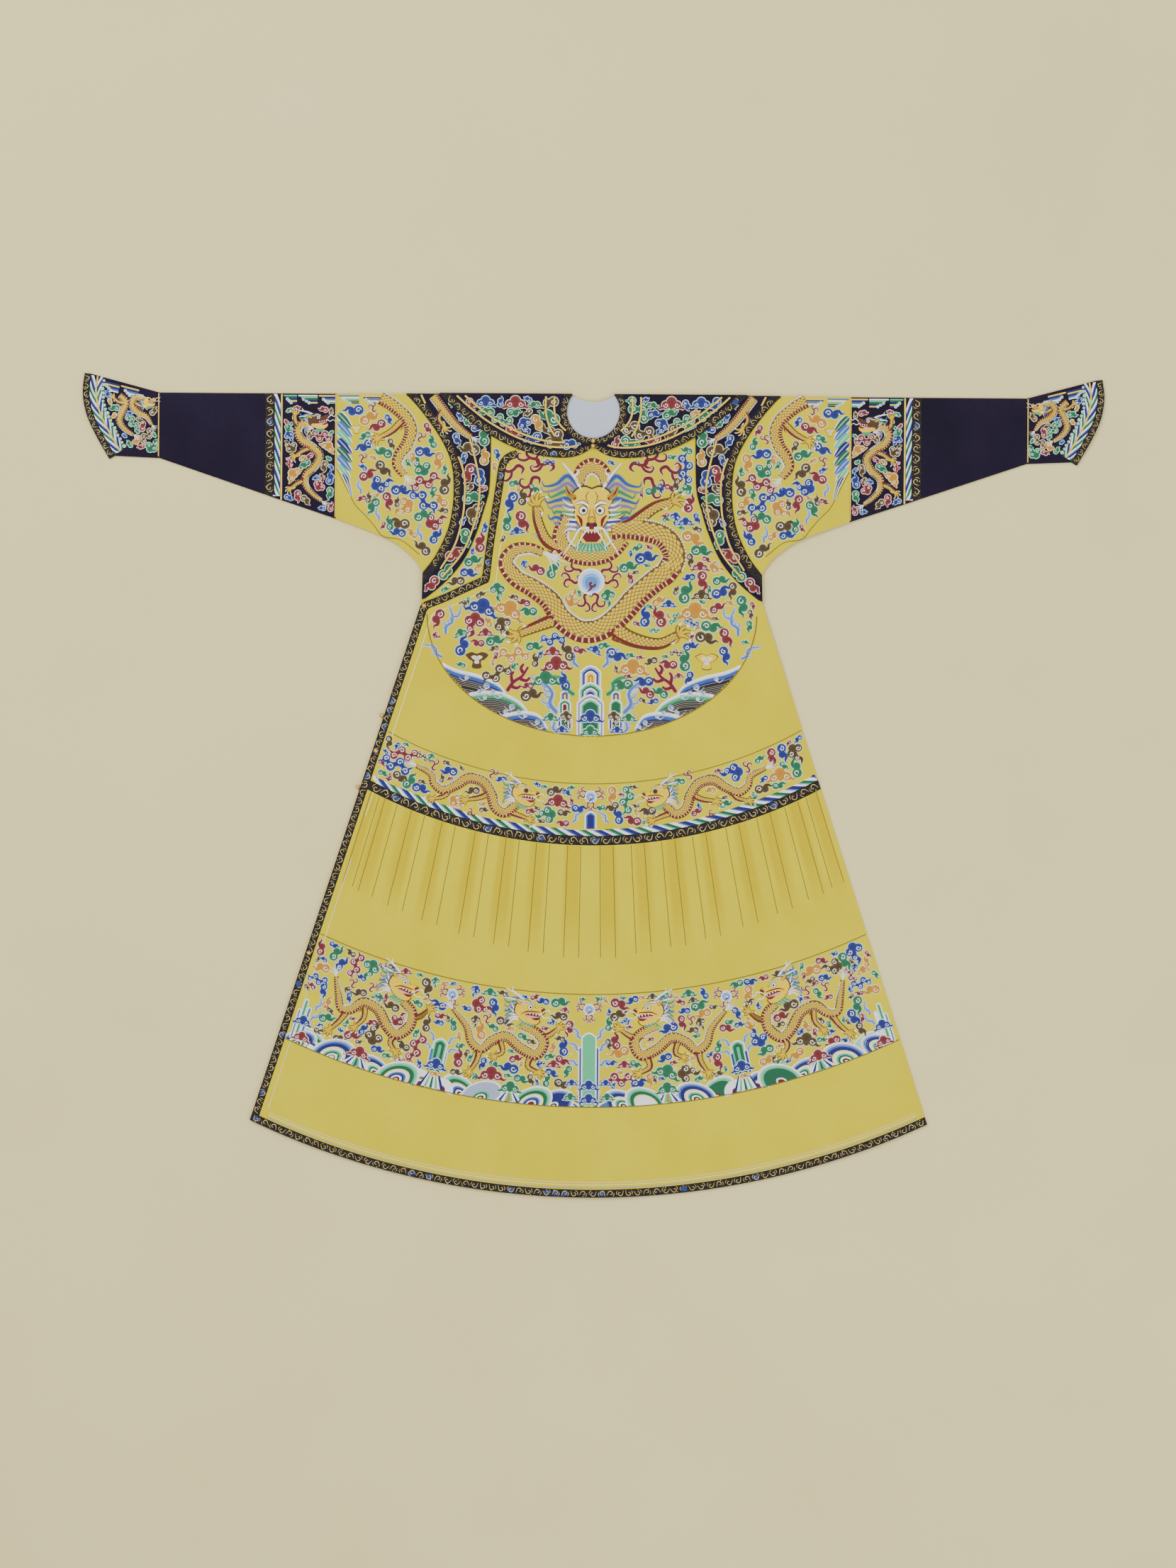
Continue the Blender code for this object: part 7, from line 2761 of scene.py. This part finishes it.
    def make(self) -> list[bpy.types.Object]:
        """Sews the two halves and the lines of the pleats."""
        return [self.half(1), self.half(-1), self.pleat_lines()]

    def pleat_lines(self) -> bpy.types.Object:
        """The stitched edges of the pleats and the pale piping inside the edgings."""
        work = Needlework("skirt_lines", skirt_top)
        for centre, half in PLEATS:
            for side in (-1, 1):
                share = centre + side * (half + 0.0025)
                rows = []
                for down in np.linspace(0.002, PLEAT_END * 0.92 - 0.06 * abs(centre), 44):
                    arc = between(SKIRT_TOP_ARC, SKIRT_FOOT_ARC, float(down))
                    x = share * arc_half(arc)
                    rows.append((x, float(arc_y(arc, x))))
                line = drawn(np.array(rows))
                if line[0, 0] > -arc_half(SKIRT_TOP_ARC, EDGE_TRIM_WIDTH + 0.003) / UNIT:
                    sew_line(work, line, 0.85, LINE_BROWN, 1.2)
        for down, width, tint in ((-HEM_TRIM_WIDTH - 0.003, 1.2, blend(*Hue.LILAC.value, 0.4)),
                                  (-HEM_TRIM_WIDTH - 0.0085, 1.1, PALE_LINE),
                                  (-HEM_TRIM_WIDTH - 0.013, 1.3, blend(PALE_RED, PALE_LINE, 0.5))):
            sew_line(work, arc_line(HEM_ARC, 0.014, down=down), width, tint, 0.8)
        line = piping_line()
        sew_line(work, line[line[:, 1] > 640], 1.3, blend(PALE_RED, PALE_LINE, 0.7), 1.0)
        return work.sew()


@dataclass
class FlapLines:
    """The pale piping that follows the flap and the side on the body."""

    def make(self) -> list[bpy.types.Object]:
        """Sews the piping."""
        work = Needlework("flap_piping", body_top)
        line = piping_line()
        sew_line(work, line[(line[:, 1] < 608) & (line[:, 1] > 100)], 1.3, PALE_LINE, 0.6)
        return [work.sew()]


@dataclass
class SleeveNeedlework:
    """The dragons and clouds of one sleeve's yellow top, its dark band, its stripes and its cuff."""

    side: int
    name: str
    seed: int = 61

    def upper(self) -> bpy.types.Object:
        """The yellow length below the shoulder."""
        work = Needlework(f"upper_sleeve_needlework_{self.name}", sleeve_top, self.side)
        wing = drawn(wing_edges(60)[1])
        wing = wing[wing[:, 1] > 2][::-1]
        lobes = [(361, 106), (350, 128), (343, 142), (334, 158), (321, 171), (308, 186), (295, 201), (270, 206),
                 (244, 226)]
        outline = np.vstack([[(271, 2)], [(360.5, 2), (361, 60)], lobes, wing[::-1][:1], wing[::-1]])
        ground = ground_in(outline, 400, 2.2)
        dragon = Dragon(((300, 6), (283, 16), (265, 32), (257, 50), (262, 70), (273, 86), (276, 100), (266, 114)), 17,
                        (Limb(((268, 36), (284, 52), (302, 62)), (10, 6), 0, 1.3),), -1, (1, 1, 1, 1, 0.95, 0.8, 0.6))
        dragon.place(work, ground, Spot(0, 0), 1)
        tones = (DEEP_GREEN, SKY, MINT, DEEP_BLUE)
        for n in range(9):
            y = 28 + 12.0 * n
            right = 360 - max(0.0, y - 96) * 0.5
            wide = 1 - 0.7 * smooth(y, 84, 128)
            line = [(right, y), (right - 8 * wide, y + 8), (right - 19 * wide, y + 21)]
            work.stroke(line, (10.0 * wide + 2, 11.0 * wide + 2, 5.2 * wide + 2), WHITE, 0.5 + 0.12 * n)
            work.stroke(line, (8.0 * wide + 1, 8.6 * wide + 1, 3.4 * wide + 1), tones[n % 4], 1.2 + 0.12 * n)
            work.stroke(line, (1.4, 1.8, 0.8), blend(tones[n % 4], WHITE, 0.45), 1.7 + 0.12 * n)
            ground.block(line, 7)
        self.bars(work, (300, 0.5), (360, 0.5), 5)
        ground.block([(x, 6) for x in range(300, 361, 5)], 8)
        sew_vessel(work, Spot(334, 50, 15))
        ground.block([(334, 50), (354, 8)], 10)
        for x, y, turn in ((306, 22, 30), (242, 66, -20), (322, 96, 0)):
            sew_flames(work, Spot(x, y, 0.8, turn))
            ground.block([(x + 3, y - 5)], 8)
        for x, y, size in ((240, 205, 20), (300, 178, 18), (326, 140, 18)):
            sew_spray(work, Spot(x, y, size, 30))
            ground.block([(x - 2, y - 8)], 9)
        sew_line(work, curve_through(lobes, 60), 1.2, LINE_BROWN, 0.4)
        spread_clouds(work, ground, (9.4, 8.4, 7.4, 6.4, 5.4, 4.4), 1000, self.seed, lambda x, y: -20, wobble=50,
                      reach=0.2)
        return work.sew()

    def band(self) -> bpy.types.Object:
        """The dark band, its gilt line and the striped water beside it."""
        work = Needlework(f"sleeve_band_needlework_{self.name}", sleeve_top, self.side, "navy_silk")
        outline = np.array([(363.5, 3), (437, 3), (437, 150), (363.5, 174)])
        ground = ground_in(outline, 300, 1.0)
        sew_line(work, np.array([(439.5, 1), (439.5, 70), (439.5, 150)]), 2.2, GOLD_LINE, 0.6)
        sew_line(work, np.array([(363.2, 1), (363.2, 90), (363.2, 174)]), 1.4, GOLD_LINE, 0.6)
        sew_stripes(work, np.array([(446.2, 1), (446.2, 70), (446.2, 145)]), 9.8, 34.0, 14.0, 0.5)
        self.bars(work, (364, 0.5), (437, 0.5), 3)
        ground.block([(x, 8) for x in range(364, 438, 4)], 9)
        dragon = Dragon(((398, 46), (410, 42), (417, 53), (411, 66), (396, 76), (386, 88), (393, 103), (405, 115),
                         (405, 130), (394, 143), (382, 152)), 10.5,
                        (Limb(((411, 48), (420, 40), (421, 30)), (7, 4.5), 0, 1.3),
                         Limb(((396, 76), (408, 80), (420, 88)), (7, 4.5), 0, 1.3),
                         Limb(((404, 122), (416, 126), (426, 134)), (7, 4.5), 0, 1.2)), -1)
        dragon.place(work, ground, Spot(0, 0), 1.5)
        sew_side_head(work, Spot(387, 37, 26, 8), 4.4)
        ground.block([(376, 40), (387, 36), (398, 34), (404, 30)], 10)
        sew_coral(work, Spot(428, 98, 17, 8))
        ground.block([(428, 96)], 8)
        spread_clouds(work, ground, (6.0, 5.0, 4.2, 3.5, 2.8), 900, self.seed + 3, wobble=50, reach=0.6, halo=None)
        return work.sew()

    @staticmethod
    def bars(work: Needlework, start: tuple[float, float], stop: tuple[float, float], seed: int) -> None:
        """Bars of striped water along a fold, each with round foam at its end."""
        chance = random.Random(seed)
        first, last = np.array(start), np.array(stop)
        along = (last - first) / np.hypot(*(last - first))
        down = np.array([-along[1], along[0]])
        length = float(np.hypot(*(last - first)))
        tones = (GOLD_LINE, DEEP_BLUE, SKY, WHITE, MINT, DEEP_GREEN, DEEP_BLUE)
        at = 0.0
        while at < length - 8:
            span = min(length - at, chance.uniform(20, 34))
            for n in range(5):
                tone = tones[(n + int(at)) % len(tones)]
                a = first + along * at + down * (2.6 + 2.5 * n)
                b = a + along * (span * (1 - 0.14 * n))
                work.stroke([a, (a + b) / 2, b], 2.0, tone, 0.5)
                if n > 1:
                    work.dot(*b, 2.3, WHITE, 0.9, rim=blend(MINT, WHITE, 0.4), crown=0.08)
                    work.dot(*b, 1.1, tone, 1.3)
            at += span + 1.5

    def cuff(self) -> bpy.types.Object:
        """The flared cuff, with two dragons, clouds and striped water along its edge."""
        work = Needlework(f"cuff_needlework_{self.name}", sleeve_top, self.side, "navy_silk")
        share = np.linspace(0.015, 0.985, 80)

        def inset(distance: float) -> Points:
            """A line along the cuff's edge, this far inside it in drawing units."""
            return drawn(cuff_edge(share, NECK_TRIM_WIDTH + distance * UNIT))

        outline = np.vstack([[(613, 2)], inset(20), [(613, 90)]])
        outline = outline[outline[:, 1] < 92]
        ground = ground_in(outline, 300, 1.0)
        sew_stripes(work, inset(4.6), 7.8, 32.0, 10.0, 0.5)
        sew_line(work, inset(9.8), 2.2, GOLD_LINE, 0.7)
        foam = inset(14.5)
        sew_stripes(work, foam, 6.4, 28.0, -8.0, 0.4)
        chance = random.Random(7)
        for x, y in even_steps(foam, 20)[1:-1]:
            work.dot(float(x) - 4.5 + chance.uniform(-1, 1), float(y), chance.uniform(1.8, 2.8), WHITE, 0.9,
                     rim=blend(MINT, WHITE, 0.3), crown=0.08)
            work.curl(float(x) - 4.2, float(y), 1.5, chance.choice((0, 1)), MINT, 1.8, width=0.6)
        sew_line(work, np.array([(613, 1), (613, 45), (613, 90)]), 1.4, GOLD_LINE, 0.6)
        self.bars(work, (640, -5.0), (694, -18.5), 9)
        ground.block([(640 + 6 * k, -1.5 - 1.5 * k) for k in range(10)], 8)
        for spine, width, limbs in ((((668, 4), (659, 14), (664, 28), (668, 40), (660, 52), (648, 60)), 8.5,
                                     (Limb(((661, 16), (670, 14), (677, 8)), (5, 3.5), 0, 1.2),)),
                                    (((634, 8), (646, 8), (650, 18), (642, 28), (630, 34), (622, 46)), 8,
                                     (Limb(((648, 14), (640, 19), (632, 20)), (5, 3.5), 0, 1.2),))):
            Dragon(spine, width, limbs, 1).place(work, ground, Spot(0, 0), 2)
        sew_side_head(work, Spot(626, 12, 16, 10), 4.2)
        ground.block([(620, 13), (628, 11), (636, 9)], 7)
        spread_clouds(work, ground, (5.6, 4.8, 4.0, 3.2, 2.6), 900, self.seed + 9, wobble=60, reach=0.5, halo=None)
        return work.sew()

    def make(self) -> list[bpy.types.Object]:
        """Sews the sleeve's three embroidered lengths."""
        return [self.upper(), self.band(), self.cuff()]


@dataclass
class WingNeedlework:
    """The clouds and gilt lines of one shoulder wing."""

    side: int
    name: str
    seed: int = 83

    def make(self) -> list[bpy.types.Object]:
        """Sews the wing."""
        work = Needlework(f"wing_needlework_{self.name}", wing_top, self.side, "navy_silk")
        rows = band_rows(*wing_edges(60), "main", 3, (0.0, EDGE_TRIM_WIDTH))
        outline = drawn(np.vstack([rows[:, 0], rows[::-1, -1]]))
        outline[:, 1] = np.maximum(outline[:, 1], 0.6)
        ground = ground_in(outline, 500, 1.2)
        for knots in ([(243, 1), (229, 28), (206, 62), (189, 90), (181, 118), (181, 150), (184, 176), (194, 212),
                       (214, 246)],
                      [(174, 62), (166, 92), (160, 124), (161, 156), (168, 186), (184, 224), (212, 258)]):
            line = curve_through(knots, 120)
            sew_gilt(work, line, ground.inside(*line.T))
        dragon = Dragon(((226, 2), (214, 18), (200, 36), (186, 50), (172, 60)), 12,
                        (Limb(((212, 20), (218, 34), (210, 46)), (6, 4), 0, 1.3),), 1, (1, 1, 0.95, 0.8, 0.5))
        dragon.place(work, ground, Spot(0, 0), 2)
        spread_clouds(work, ground, (9.6, 8.6, 7.6, 6.6, 5.6, 4.6), 2500, self.seed, lambda x, y: 60, wobble=60,
                      reach=0.8)
        return [work.sew()]


@dataclass
class CollarNeedlework:
    """The clouds and gilt lines of the collar."""

    seed: int = 97

    def make(self) -> list[bpy.types.Object]:
        """Sews both lobes of the collar."""
        made = []
        for side, name in SIDES:
            work = Needlework(f"collar_needlework_{name}", collar_top, side, "navy_silk")
            rows = band_rows(*collar_edges(90, True), "main", 3, (NECK_TRIM_WIDTH, EDGE_TRIM_WIDTH))
            inner, outer = drawn(rows[:, 0]), drawn(rows[:, -1])
            outline = np.vstack([inner, outer[::-1]])
            outline[:, 1] = np.maximum(outline[:, 1], 0.6)
            ground = ground_in(outline, 500, 1.0)
            across = inner - outer
            span = np.hypot(*across.T)
            lines = [(outer + across / span[:, None] * distance)[span > distance * 1.6] for distance in (6.5, 18.0)]
            lines += [curve_through(knots, 60) for knots in ([(55, 1), (55, 22), (51, 36), (40, 49), (26, 56)],
                                                             [(67, 1), (67, 24), (62, 44), (54, 58)])]
            for line in lines:
                sew_gilt(work, line, ground.inside(*line.T) & (line[:, 1] > 1))
            clouds = ((110, 12, 8.2, Hue.CRIMSON, RUYI, 0), (97, 40, 6.8, Hue.BLUE, TRAIL, 30),
                      (152, 11, 7.0, Hue.BLUE, RUYI, 0), (128, 36, 6.6, Hue.GREEN, CHAIN, -20),
                      (82, 14, 5.8, Hue.GREEN, WISP, 0))
            for x, y, size, hue, kind, turn in clouds:
                place_cloud(work, ground, Spot(x, y, size, turn), hue, kind, PALE, 0.6)
            spread_clouds(work, ground, (10.4, 9.2, 8.0, 7.0, 6.0, 5.0, 4.2), 2500, self.seed + side, wobble=60,
                          reach=0.9)
            made.append(work.sew())
        return made


@dataclass
class EdgingScrolls:
    """The gilt scrolls of the brocade edgings."""

    def make(self) -> list[bpy.types.Object]:
        """Sews the scrolls of every edging that shows."""
        made = []
        work = Needlework("front_edging_scrolls", trim_top, 1, "black_brocade")
        foot = lower(HEM_ARC, -HEM_TRIM_WIDTH - GAP)
        sew_scrolls(work, drawn(moved_in(front_edge(foot), EDGE_TRIM_WIDTH / 2)), EDGE_TRIM_WIDTH / UNIT, 3, 0.10)
        for arc, width, seed, limit in ((between(WAIST_TRIM_TOP_ARC, WAIST_TRIM_FOOT_ARC, 0.5), WAIST_TRIM_WIDTH, 5,
                                         EDGE_TRIM_WIDTH),
                                        (lower(HEM_ARC, -HEM_TRIM_WIDTH / 2), HEM_TRIM_WIDTH, 7, 0.0)):
            half = arc_half(arc, 0.003)
            x = np.linspace(-half + limit, half, 300)
            sew_scrolls(work, drawn(np.stack([x, arc_y(arc, x)], 1)), width / UNIT, seed, 0.16)
        made.append(work.sew())
        work = Needlework("collar_edging_scrolls", collar_top, 1, "black_brocade")
        edges, widths = collar_edges(90, True), (NECK_TRIM_WIDTH, EDGE_TRIM_WIDTH)
        for sign in (-1, 1):
            for part, width, seed in (("edge_trim", EDGE_TRIM_WIDTH, 11), ("neck_trim", NECK_TRIM_WIDTH, 13)):
                line = drawn(band_rows(*edges, part, 3, widths)[:, 1]) * (sign, 1)
                sew_scrolls(work, line[line[:, 1] > 3], width / UNIT, seed + sign, 0.02)
        made.append(work.sew())
        for side, name in SIDES:
            work = Needlework(f"wing_edging_scrolls_{name}", wing_top, side, "black_brocade")
            line = drawn(band_rows(*wing_edges(90), "edge_trim", 3, (0.0, EDGE_TRIM_WIDTH))[:, 1])
            sew_scrolls(work, line[(line[:, 1] > 3) & (line[:, 1] < 244)], EDGE_TRIM_WIDTH / UNIT * 0.95, 17, 0.04)
            made.append(work.sew())
            work = Needlework(f"sleeve_edging_scrolls_{name}", lambda x, y: sleeve_top(x, y) + GAP, side,
                              "black_brocade")
            sew_scrolls(work, np.array([(456.0, 2), (456.0, 70), (456.0, 141)]), 12.5, 19, 0.05)
            share = np.linspace(0.015, 0.985, 60)
            sew_scrolls(work, drawn(cuff_edge(share, NECK_TRIM_WIDTH / 2)), NECK_TRIM_WIDTH / UNIT, 23, 0.05)
            made.append(work.sew())
        return made


def main() -> None:
    """Builds the robe's pieces in order and reports each."""
    logging.basicConfig(level=logging.INFO, format="%(message)s")
    Studio().make()
    things = [("back", Back()), ("inner front", InnerFront()), ("outer front", OuterFront())]
    for side, name in SIDES:
        things += [(f"{name} sleeve", Sleeve(side, name)), (f"{name} wing", Wing(side, name))]
    things += [("collar", Collar()), ("buttons", Buttons()), ("chest needlework", ChestNeedlework()),
               ("inner front needlework", InnerPatchNeedlework()), ("waistband needlework", WaistNeedlework()),
               ("skirt needlework", SkirtNeedlework()), ("flap piping", FlapLines())]
    for side, name in SIDES:
        things += [(f"{name} sleeve needlework", SleeveNeedlework(side, name)),
                   (f"{name} wing needlework", WingNeedlework(side, name))]
    things += [("collar needlework", CollarNeedlework()), ("edging scrolls", EdgingScrolls())]
    for name, thing in things:
        say(name, thing.make())


if __name__ == "__main__":
    main()
